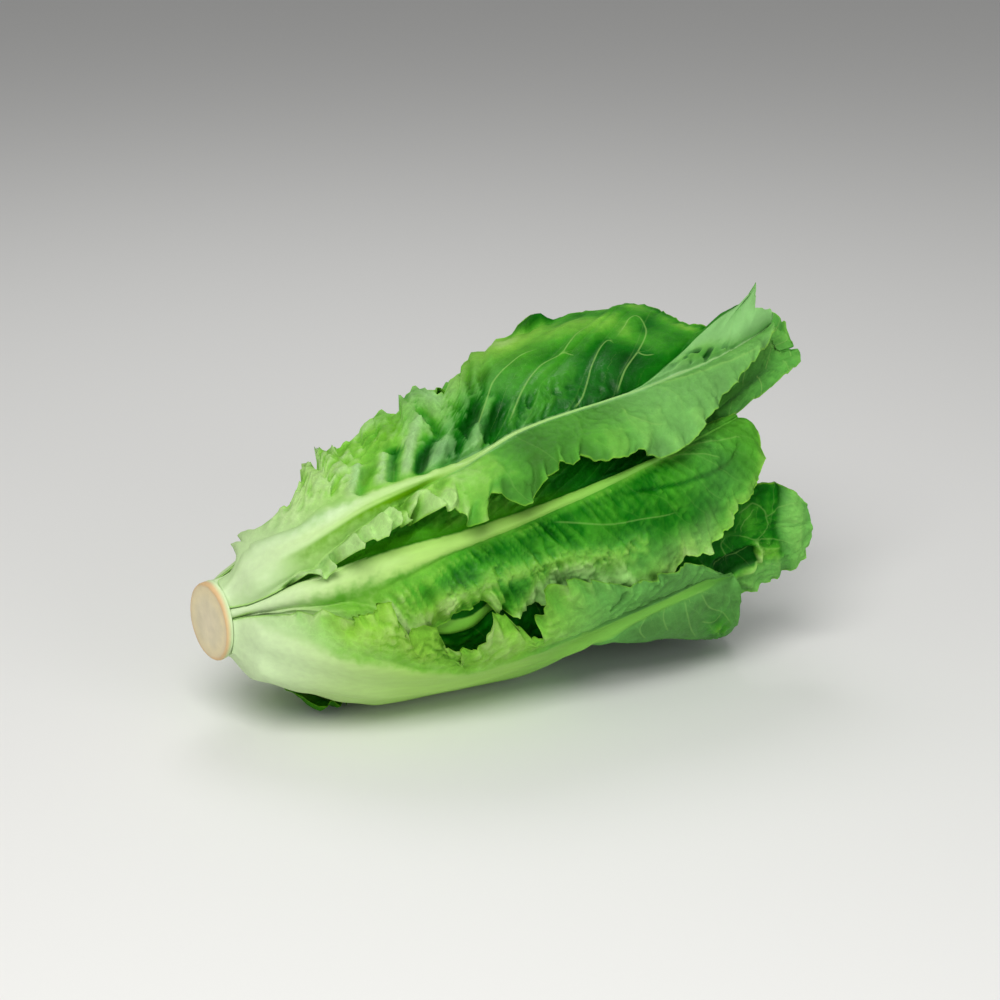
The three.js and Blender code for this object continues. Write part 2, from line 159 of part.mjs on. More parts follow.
    net: [
    [[5,52,11.4],[5,52.7,11.5],[4.9,53.5,10.6],[4.9,54.3,9.5],[4.8,55.5,9.3],[5.2,59.3,14.5],[5.5,62.1,15.5],[5.8,64.5,11.8],[6,66.9,10.1]],
    [[23.8,45.1,19],[21.4,48.8,19.5],[19,52.4,18.7],[16.2,56.6,17.8],[12.3,62.6,17],[12.5,65.8,22.6],[12.6,68.6,23.6],[12.7,71.2,20.7],[12.7,73.9,19]],
    [[39.4,40.4,29.4],[35.4,45.4,29.7],[31.5,50.5,28.5],[26.9,56.4,25.3],[20.4,64.6,23.9],[20.3,68.6,28.5],[20.3,71.4,29.6],[20.2,73.8,27.6],[20.2,76.3,26.6]],
    [[52.8,36.6,37.2],[47.7,42.4,37.3],[42.7,48.3,36],[35.7,56.4,32.6],[28.7,64.5,30.1],[28.4,70.4,33.7],[28.1,74.6,35.3],[27.9,78.2,34.8],[27.7,81.9,33.7]],
    [[65.1,32.8,42.4],[57.8,41.1,42.6],[50.6,49.4,41.1],[43.8,57.2,36.9],[36.9,65.1,34.4],[36.4,72.4,37.7],[36.1,77.4,41.4],[35.9,81.8,42],[35.6,86,41.1]],
    [[76.7,29.6,46.6],[67.4,40.3,46.9],[58,51.1,45.4],[51.5,58.5,41.1],[45.1,65.9,38.9],[44.8,74.6,42.4],[44.6,80.5,47.4],[44.6,85.4,48.3],[44.6,90.2,47.3]],
    [[88,27.5,50.2],[76.9,40,50.6],[65.7,52.5,49.9],[59.5,59.5,48.3],[53.3,66.4,47],[53.4,76,50.5],[53.6,83.5,52.6],[53.7,89.2,52.5],[53.9,94.8,51]],
    [[99.3,26.2,53.1],[86.4,40,53.6],[73.6,53.7,53.1],[67.5,60.2,52.4],[61.5,66.7,51.6],[61.8,75.7,54.4],[62.2,84.4,55.7],[62.4,91.4,55.2],[62.6,98.2,53.5]],
    [[110.6,25.5,54.8],[95.9,40.3,56],[81.2,55.2,55.7],[75.4,61,55.2],[69.7,66.9,54.6],[70,75.2,57],[70.3,83.6,58.1],[70.5,92.3,57.6],[70.8,101,55.6]],
    [[121.7,25.1,57.3],[105.2,40.8,58.3],[88.8,56.5,58],[83.3,61.7,57.6],[77.9,66.9,57.1],[77.9,74.3,59.4],[77.8,81.6,60.3],[77.7,89.3,59.8],[77.5,96.7,57.6]],
    [[132.1,25,59.2],[114.6,40.9,60.2],[97.2,56.8,60],[91.3,62.1,59.6],[86.1,66.8,59.2],[86.1,73.6,61.3],[86,80.3,62.3],[85.9,88.2,61.7],[85.7,96,59.4]],
    [[141.7,25.3,60.5],[123.7,41,61.6],[105.7,56.7,61.6],[99.2,62.4,61.3],[94.3,66.6,61],[94.5,72.7,62.9],[94.8,78.6,63.8],[95,87.3,63.5],[95.3,95.6,60.9]],
    [[150.6,25.7,61.5],[132.3,41.1,62.9],[114,56.5,63],[107.3,62.2,62.8],[102.5,66.2,62.5],[103,71.9,64.1],[103.6,77.6,65.1],[104.6,89.2,65],[105.7,100.8,62.3]],
    [[158.9,26.3,62.4],[140.6,41.3,63.9],[122.3,56.2,64.2],[115.5,61.8,64.1],[110.7,65.7,63.9],[111.4,70.9,65.3],[112.1,76.2,66.3],[113.9,89.5,66.5],[115.9,103.3,63.6]],
    [[166.8,26.9,63.1],[148.6,41.4,64.8],[130.4,55.9,65.3],[123.7,61.2,65.2],[118.9,65,65.1],[119.6,69.7,66.4],[120.2,74.3,67.4],[122,87.1,67.8],[123.6,99.5,65]],
    [[174.6,27.7,63.7],[156.5,41.6,65.6],[138.4,55.5,66.4],[131.8,60.6,66.4],[127,64.3,66.3],[127.7,68.4,67.5],[128.3,72.8,68.5],[130,85,69.2],[131.2,95.8,66.4]],
    [[182.4,28.5,64.4],[164.5,41.7,66.5],[146.5,55,67.5],[139.9,59.9,67.6],[135.2,63.4,67.5],[135.8,67.2,68.6],[136.7,72.3,69.8],[138.7,85.4,70.5],[140.5,97.2,67.8]],
    [[190.3,29.4,65.1],[172.4,42,67.4],[154.6,54.6,68.6],[148,59.2,68.8],[143.3,62.5,68.8],[144,66.5,69.9],[145.1,72,71],[147.7,86.2,71.8],[150.1,99.5,69.1]],
    [[197.7,30.5,65.8],[180.1,42.3,68.3],[162.5,54.1,69.7],[156,58.4,69.9],[151.4,61.5,70],[152.3,65.7,71.1],[153.5,71.5,72.3],[156.7,86.8,73.1],[159.9,101.8,70.5]],
    [[204.4,32.1,66.5],[187.3,42.9,69.2],[170.3,53.7,70.7],[164,57.6,70.9],[159.5,60.5,71],[160.5,64.6,72.2],[162,70.3,73.5],[165.9,85.9,74.5],[170,101.6,72]],
    [[210.5,33.8,67.2],[194.2,43.5,69.9],[177.9,53.3,71.5],[171.9,56.8,71.8],[167.6,59.4,71.9],[168.8,63.2,73.2],[170.4,68.7,74.5],[175.2,83.6,75.7],[180.3,98.9,73.5]],
    [[217,35.7,67.9],[201.3,44.3,70.7],[185.6,52.8,72.3],[179.8,56,72.6],[175.7,58.2,72.7],[176.9,61.8,74],[178.8,66.8,75.4],[184,80.8,76.8],[189.5,95,74.8]],
    [[223.9,37.6,68.6],[208.7,45,71.4],[193.4,52.4,73],[187.7,55.1,73.3],[183.7,57.1,73.4],[185.1,60.4,74.7],[187,65.3,76.2],[192.6,78.7,77.8],[198.7,92.6,76]],
    [[228.7,39.7,69.3],[214.7,45.8,72],[200.6,52,73.6],[195.5,54.2,73.9],[191.8,55.8,74],[193.2,59.1,75.3],[195.1,63.7,76.9],[200.6,76.2,78.7],[206.1,88.9,77]],
    [[227.4,42.4,70.1],[216.9,47,72.6],[206.4,51.7,74],[202.6,53.4,74.3],[199.8,54.6,74.3],[201.2,57.6,75.8],[203.2,61.8,77.4],[208.6,73.3,79.5],[214,84.9,78.2]],
    [[219.4,45.7,70.9],[215,48.6,73.2],[210.6,51.4,74.3],[209.1,52.5,74.5],[207.8,53.3,74.5],[209.2,55.9,76],[211.1,59.4,77.8],[215.5,68.8,80.3],[219.1,77.7,79.4]],
    [[213.6,48.1,71.9],[214.2,49,73.3],[214.7,50,74.2],[215.3,50.9,74.6],[215.9,51.9,74.5],[217.1,54,76.1],[219,56.8,78],[224,64.6,80.7],[229.2,72.4,80]],
    [[218.3,48.3,72.9],[220,49,74.3],[221.8,49.7,74.9],[222.8,50.1,74.9],[223.9,50.6,74.6],[224.8,51.9,76.2],[226.2,53.8,77.9],[230.5,58.9,80.4],[235.6,64.1,79.4]],
    [[230.5,47.1,74],[230.8,47.5,74.8],[231.1,48,75.3],[231.4,48.5,75.4],[231.9,49.2,74.7],[232.4,49.9,76.4],[232.8,50.5,77.7],[234.3,52.6,79.6],[235.8,54.7,78]]] },
  // second-ring leaf seen in the lower gap and at the lower tip
  { name: 'mid_front_low_leaf', colour: '#5aa63c', ribColumn: 4,
    rib: [[5.0,1.65,1.35],[6.6,2.08,1.70],[7.0,2.32,1.90],[7.0,2.50,2.04],[6.7,2.46,2.01],[6.2,2.37,1.93],[5.8,2.24,1.83],[5.1,2.05,1.68],[4.5,1.87,1.53],[4.0,1.66,1.36],[3.6,1.46,1.19],[3.1,1.25,1.02],[2.7,1.07,0.88],[2.3,0.90,0.74],[1.9,0.73,0.60],[1.5,0.52,0.42],[1.0,0.28,0.22]],
    net: [
    [[19,78,14],[19,82,14.4],[19,86,14.5],[19,90.5,14.1],[19,97,12.8],[19,103.5,14.1],[19,108,14.5],[19,112,14.4],[19,116,14]],
    [[37.1,68.7,25.9],[36.6,74.4,26.4],[36.1,80.1,26.5],[35.5,86.7,26.2],[34.7,95.9,25],[35.5,106,26.2],[36.1,113.1,26.5],[36.6,119.3,26.4],[37.1,125.5,26]],
    [[54.8,63.1,35.4],[53.9,69.7,36],[53,76.3,36.3],[52,83.9,36.1],[50.6,94.5,35.2],[51.8,105.5,36.4],[53,116.6,36.9],[53.9,124.8,36.9],[54.7,133,36.5]],
    [[72.2,58,43.1],[70.7,67,44],[69.2,76,44.3],[67.7,85,44.2],[66.2,94.1,43.6],[67.4,103,44.5],[68.6,111.9,45.2],[70.4,125,45.5],[72.2,138,45.1]],
    [[89.3,55.4,48.7],[85.4,72.9,50.4],[81.6,90.4,51.1],[79.9,97.8,51.1],[78.3,105.3,50.8],[80.5,112.3,51.6],[82.8,119.3,52.1],[86,129.6,52.2],[89.3,139.9,51.5]],
    [[106.3,54.3,53.2],[100.9,73.8,55.1],[95.5,93.2,55.8],[93.7,99.6,55.7],[92,105.9,55.2],[94.4,111.7,56.2],[96.8,117.6,56.8],[101.5,128.8,57],[106.1,140,56.4]],
    [[122.5,53.9,56.9],[116.8,71,58.4],[111.2,88,58.8],[109.4,93.4,58.5],[107.6,98.8,58],[109.5,104.1,58.8],[111.4,109.3,59.5],[117.1,124.7,60.2],[122.7,140,59.8]],
    [[137.3,54,59.4],[131.9,70.2,60.8],[126.5,86.5,60.9],[124.6,92.1,60.7],[123.1,96.8,60.3],[124.7,101.4,60.9],[126.6,106.9,61.5],[132.3,123,62.2],[137.9,139.1,61.7]],
    [[152.3,54.1,60.9],[147.1,69.9,62.3],[141.9,85.7,62.5],[140,91.5,62.2],[138.6,95.7,61.9],[139.8,99.7,62.4],[141.3,105,62.8],[145.6,119.7,63.3],[149.9,134.4,62.6]],
    [[167.7,55,62],[162.6,69.8,63.4],[157.5,84.6,63.7],[155.7,90,63.5],[154.3,93.9,63.3],[155.3,97.9,63.8],[156.8,103.5,64.4],[160.7,118.7,65.3],[164.6,133.9,64.9]],
    [[183.3,56.9,63.2],[178.2,70.5,64.8],[173.2,84,65.2],[171.3,89,65.1],[170,92.6,64.9],[171.8,97.9,65.8],[174.4,105.3,66.9],[181.5,125.5,69.2],[188.5,145.7,70.3]],
    [[197.6,58.5,64.6],[193.1,71,66.1],[188.5,83.5,66.5],[186.8,88.1,66.3],[185.6,91.4,66.1],[188.2,97.4,67],[191.8,106,68.2],[201.4,129.1,70.6],[211.1,152.2,71.8]],
    [[209.5,60.9,65.8],[206.4,72.1,67.1],[203.3,83.3,67.3],[202.2,87.4,67.1],[201.3,90.3,66.8],[203.7,95.6,67.3],[207,103,67.9],[215.9,123.1,68.8],[224.8,143.1,68.5]],
    [[219.5,67.4,66.4],[218.6,76,67.8],[217.7,84.6,68],[217.3,87.7,67.8],[217.1,90,67.6],[218.6,93.7,68],[220.7,98.8,68.5],[226.5,112.7,69],[232.2,126.6,68.4]],
    [[231.7,72.5,67.3],[232.1,79.3,68.7],[232.5,86.1,68.9],[232.7,88.7,68.7],[232.8,90.5,68.5],[233.8,93,69],[235.2,96.7,69.7],[239,106.5,70.6],[242.7,116.3,70.4]],
    [[247.4,74.8,69.1],[247.8,81.1,70.2],[248.2,87.4,70.2],[248.4,89.7,69.9],[248.5,91.4,69.5],[249.4,93.6,70.1],[250.7,96.6,70.6],[254.3,104.9,71.4],[257.8,113.2,71]],
    [[261.1,84.5,71],[262.3,87.4,71.8],[263.5,90.4,71.5],[263.9,91.5,71.1],[264.2,92.3,70.7],[264.3,93.1,71.1],[264.4,94.1,71.5],[264.6,96.9,71.8],[264.9,99.7,71]]] },
  // second-ring leaf at the upper tip
  { name: 'mid_top_leaf', colour: '#5fa83f', ribColumn: 4,
    rib: [[5.0,1.65,1.35],[6.3,2.14,1.75],[6.5,2.32,1.89],[6.4,2.38,1.95],[5.6,2.17,1.77],[5.0,1.96,1.61],[4.5,1.81,1.48],[4.0,1.65,1.35],[3.6,1.49,1.22],[3.3,1.34,1.09],[2.9,1.17,0.96],[2.5,0.97,0.80],[2.1,0.78,0.64],[1.6,0.55,0.45],[1.0,0.28,0.22]],
    net: [
    [[24,10,13.1],[24,14.2,13.5],[24,18.4,13.9],[24,23.2,13.9],[24,30,12.4],[24,36.8,12.5],[24,41.6,12.8],[24,45.8,13.1],[24,50,13.9]],
    [[42.9,3,26.8],[42.9,8.6,27.2],[42.9,14.3,27.3],[42.9,20.8,27.2],[42.9,30,26.2],[42.9,39,26.9],[42.9,45.4,27.6],[42.9,51,27.8],[42.9,56.6,28]],
    [[61.7,-2.3,35.8],[61.7,4.7,36.2],[61.7,11.7,36.5],[61.7,20.8,36.4],[61.7,30,35.6],[61.7,39.2,36.6],[61.7,46.3,37.8],[61.7,52.2,36.6],[61.7,58.1,36]],
    [[80.6,-3.9,41.5],[80.6,5.4,41.8],[80.6,14.8,42],[80.6,22.4,42],[80.6,30,41.9],[80.6,37.7,44],[80.6,45.4,45],[80.6,52.6,43.4],[80.6,59.9,42.8]],
    [[99.4,-5.4,47.1],[99.4,6.2,47.2],[99.4,17.8,46.9],[99.5,23.9,47.1],[99.5,30,46.8],[99.4,36.2,49.5],[99.4,42.4,50.5],[99.4,52,48.8],[99.4,61.6,48.1]],
    [[118.4,-6.3,53.5],[118.3,6.9,53.6],[118.3,20,52.8],[118.3,25,52.5],[118.3,30,52.2],[118.3,35.1,53.8],[118.3,40.2,54.6],[118.4,51.2,53.4],[118.4,62.2,52.5]],
    [[137.1,-5.9,58.4],[137.2,7.7,58.4],[137.2,21.3,57.1],[137.2,25.7,56.1],[137.2,30,55.4],[137.2,34.4,56.8],[137.2,38.8,57.5],[137.1,50.4,56.4],[137.1,62,55.3]],
    [[155.8,-4.5,61.9],[155.9,8.6,61.6],[156,21.6,59.8],[156.1,26.1,58.7],[156.1,29.8,58.1],[155.9,33.7,58.9],[155.8,37.6,59.6],[155.2,49.8,59.1],[154.7,62,57.7]],
    [[176,-3.1,64.3],[175.5,9.7,63.9],[175,22.5,61.7],[174.8,27.2,60.7],[174.7,30.6,60],[174.3,34,60.5],[173.8,38.2,61.2],[172.5,50.1,60.6],[171.1,62,58.9]],
    [[195.8,-1.4,66],[195.2,10.1,65.7],[194.5,21.6,63.7],[194.3,25.9,62.6],[194.1,28.9,61.7],[193.4,32.2,62.2],[192.4,36.8,62.7],[189.6,49.4,62],[186.8,61.9,60.1]],
    [[215.5,0,66.7],[214.4,11,67.3],[213.4,21.9,65.7],[213,26,64.5],[212.7,28.8,63.7],[211.7,31.8,63.9],[210.3,35.9,64.2],[206.5,47,63.3],[202.7,58.2,60.9]],
    [[239.1,1.7,69.6],[234.2,16.2,69.9],[229.4,30.8,67.9],[227.6,36.1,66.4],[226.3,40,65.5],[224.7,41.7,65.5],[223.1,43.4,65.3],[220.9,45.9,64],[218.6,48.3,61.8]],
    [[259.9,12.4,74.8],[253.8,21.5,73.9],[247.8,30.5,71.3],[245.6,33.8,69.4],[244,36.2,68.4],[242.6,37.4,68.9],[241.2,38.7,69.6],[236.8,42.6,69.4],[232.3,46.5,67.9]],
    [[280.7,11.3,77.9],[273.7,18.9,76.7],[266.7,26.6,74.2],[264.1,29.4,72.8],[262.3,31.4,71.8],[261.4,32.5,72.4],[260.6,33.6,72.9],[257.9,37.1,73.4],[255.2,40.6,72.7]],
    [[278.2,25.8,76],[279,26.8,76.5],[279.8,27.8,76.2],[280.3,28.5,75.6],[280.8,29.1,74.7],[280.3,29.7,75.2],[279.7,30.4,75.5],[277.9,32.3,75.8],[276.2,34.2,75]]] },
  // second-ring leaf underneath
  { name: 'mid_bottom_leaf', colour: '#82c255', ribColumn: 3,
    rib: [[6.0,1.70,1.70],[6.8,2.03,2.03],[7.0,2.10,2.10],[7.0,2.10,2.10],[6.7,2.02,2.02],[5.8,1.81,1.81],[5.0,1.60,1.60],[4.2,1.35,1.35],[3.3,1.10,1.10],[2.8,0.88,0.88],[2.3,0.69,0.69],[1.9,0.49,0.49],[1.5,0.30,0.30]],
    net: [
    [[15,133.6,12.6],[15,144.7,12.9],[15,151,12.8],[15,160,11.3],[15,169,12.8],[15,175.3,13.3],[15,186.4,13]],
    [[34.2,141.2,25.5],[34.3,149,26],[34.4,153.5,27.7],[34.6,159.8,26.9],[34.4,166.2,28.5],[34.3,170.6,29],[34.2,178.5,28.9]],
    [[53.3,136.3,33.5],[53.7,146.1,33.8],[53.9,151.7,42],[54.2,159.7,43],[53.9,167.6,45],[53.7,173.2,45.6],[53.3,183,45.5]],
    [[72.5,130.9,39.8],[73.1,143.7,40.1],[73.4,151.6,47.9],[73.8,159.5,49.4],[73.4,167.4,51.1],[73.1,175.3,51.9],[72.5,188.1,51.8]],
    [[91.7,124.3,48.9],[92.7,145.4,49.5],[93,152.4,53],[93.3,159.3,53.6],[93,166.3,54.8],[92.7,173.3,55.4],[91.7,194.4,55.6]],
    [[110.8,119.8,55],[112.3,147.6,55.4],[112.6,153.4,56.7],[112.9,159.2,56.7],[112.6,165,57.5],[112.3,170.7,57.8],[110.8,198.5,57.8]],
    [[130,117.1,58.8],[131.9,148.9,59.1],[132.2,154.2,59.5],[132.5,159,59.2],[132.2,163.8,59.6],[131.9,169.1,59.5],[130,200.9,58.6]],
    [[149.2,114.8,60.8],[151.4,148.3,61.6],[151.8,154.4,61.6],[152.1,158.8,61.1],[151.8,163.2,61.4],[151.4,169.4,61],[149.2,202.9,59.4]],
    [[168.3,113.9,62.6],[170.9,147.9,63.2],[171.3,154.2,62.9],[171.7,158.7,62.4],[171.3,163.1,62.7],[170.9,169.4,62.3],[168.3,203.4,60.5]],
    [[187.5,115.7,64.3],[190.3,148.2,64.6],[190.9,154.2,64.1],[191.3,158.5,63.7],[190.9,162.8,64],[190.3,168.8,64],[187.5,201.3,63.5]],
    [[207.1,118.7,65],[209.9,148.8,65.2],[210.5,154.4,64.8],[210.8,158.3,64.3],[210.5,162.3,64.7],[209.9,167.9,65.1],[207.1,198,64.8]],
    [[227.6,128.4,65.3],[229.7,151,65.7],[230.1,155.2,65.2],[230.4,158.2,64.8],[230.1,161.1,65.2],[229.7,165.3,65.7],[227.6,187.9,65.3]],
    [[248,150.9,65],[249.3,155.4,65.7],[249.6,156.7,65.3],[250,158,64.7],[249.6,159.3,65.3],[249.3,160.6,65.7],[248,165.1,65]]] },
  // second-ring leaf low on the back
  { name: 'mid_back_low_leaf', colour: '#86c558', ribColumn: 3,
    rib: [[6.0,1.70,1.70],[6.8,2.03,2.03],[7.0,2.10,2.10],[7.0,2.10,2.10],[6.7,2.02,2.02],[5.8,1.81,1.81],[5.0,1.60,1.60],[4.2,1.35,1.35],[3.3,1.10,1.10],[2.8,0.88,0.88],[2.3,0.69,0.69],[1.9,0.49,0.49],[1.5,0.30,0.30]],
    net: [
    [[20,185.6,12.8],[20,196.7,13.1],[20,203,12.7],[20,212,11.3],[20,221,12.8],[20,227.3,13],[20,238.4,12.7]],
    [[39.4,195,30.2],[39.6,202.3,30.5],[39.7,206.4,30.4],[39.8,212.3,28.9],[39.7,218.1,30],[39.6,222.2,28.9],[39.4,229.5,28.3]],
    [[58.8,190,44.9],[59.2,199.4,45.5],[59.4,204.8,46.3],[59.7,212.5,44.9],[59.4,220.2,44.6],[59.2,225.6,39],[58.8,235,38.2]],
    [[78.3,185,49.9],[78.8,197.4,50.5],[79.2,205.1,51.6],[79.5,212.8,50.8],[79.2,220.4,50.1],[78.8,228.1,44.1],[78.3,240.5,43.2]],
    [[97.7,178.5,52.8],[98.7,199.3,53.3],[99,206.1,53.9],[99.3,213,53.8],[99,219.9,53.4],[98.7,226.7,48.8],[97.7,247.5,47.1]],
    [[117.1,174.4,54.7],[118.6,201.8,55.2],[118.9,207.5,55.6],[119.2,213.3,56.5],[118.9,219,56.9],[118.6,224.7,54.6],[117.1,252.1,53.2]],
    [[136.5,172,56.5],[138.4,203.5,56.3],[138.7,208.8,56.3],[139,213.5,58.5],[138.7,218.2,59.7],[138.4,223.5,59.1],[136.5,255,58.6]],
    [[155.9,169.9,57.7],[158.1,203.2,57.4],[158.5,209.4,57.5],[158.8,213.8,60.2],[158.5,218.1,61.7],[158.1,224.3,62.1],[155.9,257.6,62]],
    [[175.3,169.6,58.8],[177.9,203.3,58.7],[178.3,209.6,58.9],[178.7,214,61.6],[178.3,218.4,63.2],[177.9,224.7,63.8],[175.3,258.4,63.8]],
    [[194.7,171.7,60.5],[197.6,204,61.3],[198.1,210,61.8],[198.5,214.3,63.2],[198.1,218.5,64.3],[197.6,224.5,64.9],[194.7,256.8,64.8]],
    [[214.6,174.9,61.2],[217.4,205,62.8],[218,210.5,63.7],[218.3,214.5,64.2],[218,218.5,64.9],[217.4,224,65.4],[214.6,254.1,65.2]],
    [[235.3,185.1,62.3],[237.5,207.6,63.9],[237.9,211.8,64.8],[238.2,214.8,64.9],[237.9,217.7,65.4],[237.5,221.9,65.8],[235.3,244.4,65.4]],
    [[256,207.9,63.6],[257.3,212.4,64.7],[257.6,213.7,64.8],[258,215,64.2],[257.6,216.3,64.9],[257.3,217.6,65.3],[256,222.1,64.5]]] },
  // second-ring leaf on the back
  { name: 'mid_back_leaf', colour: '#8ac95c', ribColumn: 3,
    rib: [[6.0,1.70,1.70],[6.8,2.03,2.03],[7.0,2.10,2.10],[7.0,2.10,2.10],[6.7,2.02,2.02],[5.8,1.81,1.81],[5.0,1.60,1.60],[4.2,1.35,1.35],[3.3,1.10,1.10],[2.8,0.88,0.88],[2.3,0.69,0.69],[1.9,0.49,0.49],[1.5,0.30,0.30]],
    net: [
    [[28,242,10.2],[28,251.2,10.1],[28,256.5,9.5],[28,264,7.6],[28,271.5,8.1],[28,276.8,8.1],[28,286,7.8]],
    [[47.9,250.2,27.5],[48.1,256.1,27.2],[48.2,259.5,26.6],[48.3,264.3,24.9],[48.2,269.2,24.3],[48.1,272.6,24.4],[47.9,278.5,24.2]],
    [[67.8,243.1,37.2],[68.2,252.1,38.7],[68.4,257.3,39.8],[68.7,264.7,37.3],[68.4,272,36.2],[68.2,277.2,33.9],[67.8,286.3,32.3]],
    [[87.8,238.2,42.6],[88.3,250.2,43],[88.7,257.6,44.5],[89,265,43],[88.7,272.4,41.8],[88.3,279.8,37.8],[87.8,291.8,37.4]],
    [[107.7,231.7,46],[108.7,252,46.2],[109,258.7,48.4],[109.3,265.3,48.2],[109,272,47],[108.7,278.7,42],[107.7,299,41.7]],
    [[127.6,227.6,52.2],[129.1,254.5,52.2],[129.4,260.1,52.6],[129.7,265.7,53.9],[129.4,271.3,53.8],[129.1,276.8,51.5],[127.6,303.7,50.8]],
    [[147.5,225.1,57],[149.4,256.2,56.9],[149.7,261.4,57.6],[150,266,58.8],[149.7,270.6,59.2],[149.4,275.8,58.1],[147.5,306.9,57.7]],
    [[167.4,222.9,59.7],[169.6,255.9,59.6],[170,262,60.2],[170.3,266.3,61.3],[170,270.7,62.1],[169.6,276.7,61.9],[167.4,309.7,61.6]],
    [[187.3,222.6,61.3],[189.9,256.1,61.3],[190.3,262.3,61.8],[190.7,266.7,62.8],[190.3,271.1,63.7],[189.9,277.2,64],[187.3,310.7,63.8]],
    [[207.2,224.5,61.8],[210.1,256.8,62.4],[210.6,262.8,63],[211,267,63.7],[210.6,271.2,64.5],[210.1,277.2,65],[207.2,309.5,64.6]],
    [[227.6,227.8,62.1],[230.4,257.9,63.4],[231,263.4,63.7],[231.3,267.3,64.3],[231,271.3,65],[230.4,276.8,65.5],[227.6,306.8,65.2]],
    [[248.8,237.8,61.9],[251,260.5,63.8],[251.4,264.7,64.2],[251.7,267.7,64.3],[251.4,270.7,64.8],[251,274.8,65.3],[248.8,297.6,64.9]],
    [[270,260.8,62.8],[271.3,265.4,64],[271.6,266.7,64],[272,268,63.4],[271.6,269.3,64.1],[271.3,270.6,64.5],[270,275.2,63.7]]] },
  // second-ring leaf at the top of the back
  { name: 'mid_back_top_leaf', colour: '#8ccb60', ribColumn: 3,
    rib: [[6.0,1.70,1.70],[6.8,2.03,2.03],[7.0,2.10,2.10],[7.0,2.10,2.10],[6.7,2.02,2.02],[5.8,1.81,1.81],[5.0,1.60,1.60],[4.2,1.35,1.35],[3.3,1.10,1.10],[2.8,0.88,0.88],[2.3,0.69,0.69],[1.9,0.49,0.49],[1.5,0.30,0.30]],
    net: [
    [[39,299.7,8.2],[39,308.2,8.3],[39,313.1,7.8],[39,320,5.7],[39,326.9,6.5],[39,331.8,6.8],[39,340.3,6.6]],
    [[58.3,307.7,25.6],[58.5,312.9,25.6],[58.6,315.9,25.5],[58.8,320.2,22.8],[58.6,324.4,23.1],[58.5,327.4,23.6],[58.3,332.6,23.8]],
    [[77.7,300.5,33.5],[78,308.8,36],[78.2,313.6,35.8],[78.5,320.3,35.1],[78.2,327.1,34.6],[78,331.8,35.2],[77.7,340.2,36.1]],
    [[97,295.4,36.8],[97.5,306.1,37.5],[97.9,313.3,39.9],[98.3,320.5,39.9],[97.9,327.7,40],[97.5,334.9,40.8],[97,345.6,41.5]],
    [[116.3,288.9,39.8],[117.3,307.6,39.9],[117.7,314.1,45],[118,320.7,45.9],[117.7,327.2,47.3],[117.3,333.8,48],[116.3,352.4,48.4]],
    [[135.7,284.7,48.4],[137.1,309.8,49],[137.4,315.3,52.2],[137.8,320.8,53.2],[137.4,326.4,54.4],[137.1,331.9,54.8],[135.7,356.9,54.8]],
    [[155,282,54.7],[156.9,311.6,55.6],[157.2,316.4,57.6],[157.5,321,58.4],[157.2,325.6,59.2],[156.9,330.4,59.1],[155,360,58.6]],
    [[174.3,279.8,58.7],[176.6,311.2,59.4],[177,317,60.6],[177.3,321.2,61.4],[177,325.3,62.1],[176.6,331.1,62],[174.3,362.5,61.1]],
    [[193.7,279.2,60.9],[196.2,311.2,61.6],[196.7,317.1,62.2],[197,321.3,63],[196.7,325.5,63.8],[196.2,331.4,63.9],[193.7,363.5,63.1]],
    [[213,280.8,61.5],[215.8,311.7,62.5],[216.4,317.4,63.1],[216.8,321.5,63.8],[216.4,325.6,64.6],[215.8,331.3,64.9],[213,362.2,64.4]],
    [[232.8,283.8,61.5],[235.6,312.6,63.1],[236.1,317.9,64.1],[236.5,321.7,64.5],[236.1,325.5,65.1],[235.6,330.8,65.4],[232.8,359.6,65]],
    [[253.4,293,61.3],[255.6,314.9,62.9],[256,319,63.9],[256.3,321.8,64.1],[256,324.7,64.6],[255.6,328.8,65],[253.4,350.7,64.5]],
    [[274,315.1,62.5],[275.2,319.4,63.6],[275.6,320.7,63.7],[276,322,63.2],[275.6,323.3,63.9],[275.2,324.6,64.3],[274,328.9,63.5]]] },
  // third-ring leaf
  { name: 'inner_1_leaf', colour: '#a5d873', ribColumn: 3,
    rib: [[4.0,1.20,1.20],[4.6,1.41,1.41],[5.2,1.62,1.62],[5.4,1.65,1.65],[5.2,1.57,1.57],[4.9,1.46,1.46],[4.2,1.25,1.25],[3.6,1.04,1.04],[3.1,0.88,0.88],[2.6,0.72,0.72],[2.2,0.56,0.56],[1.7,0.41,0.41],[1.2,0.25,0.25]],
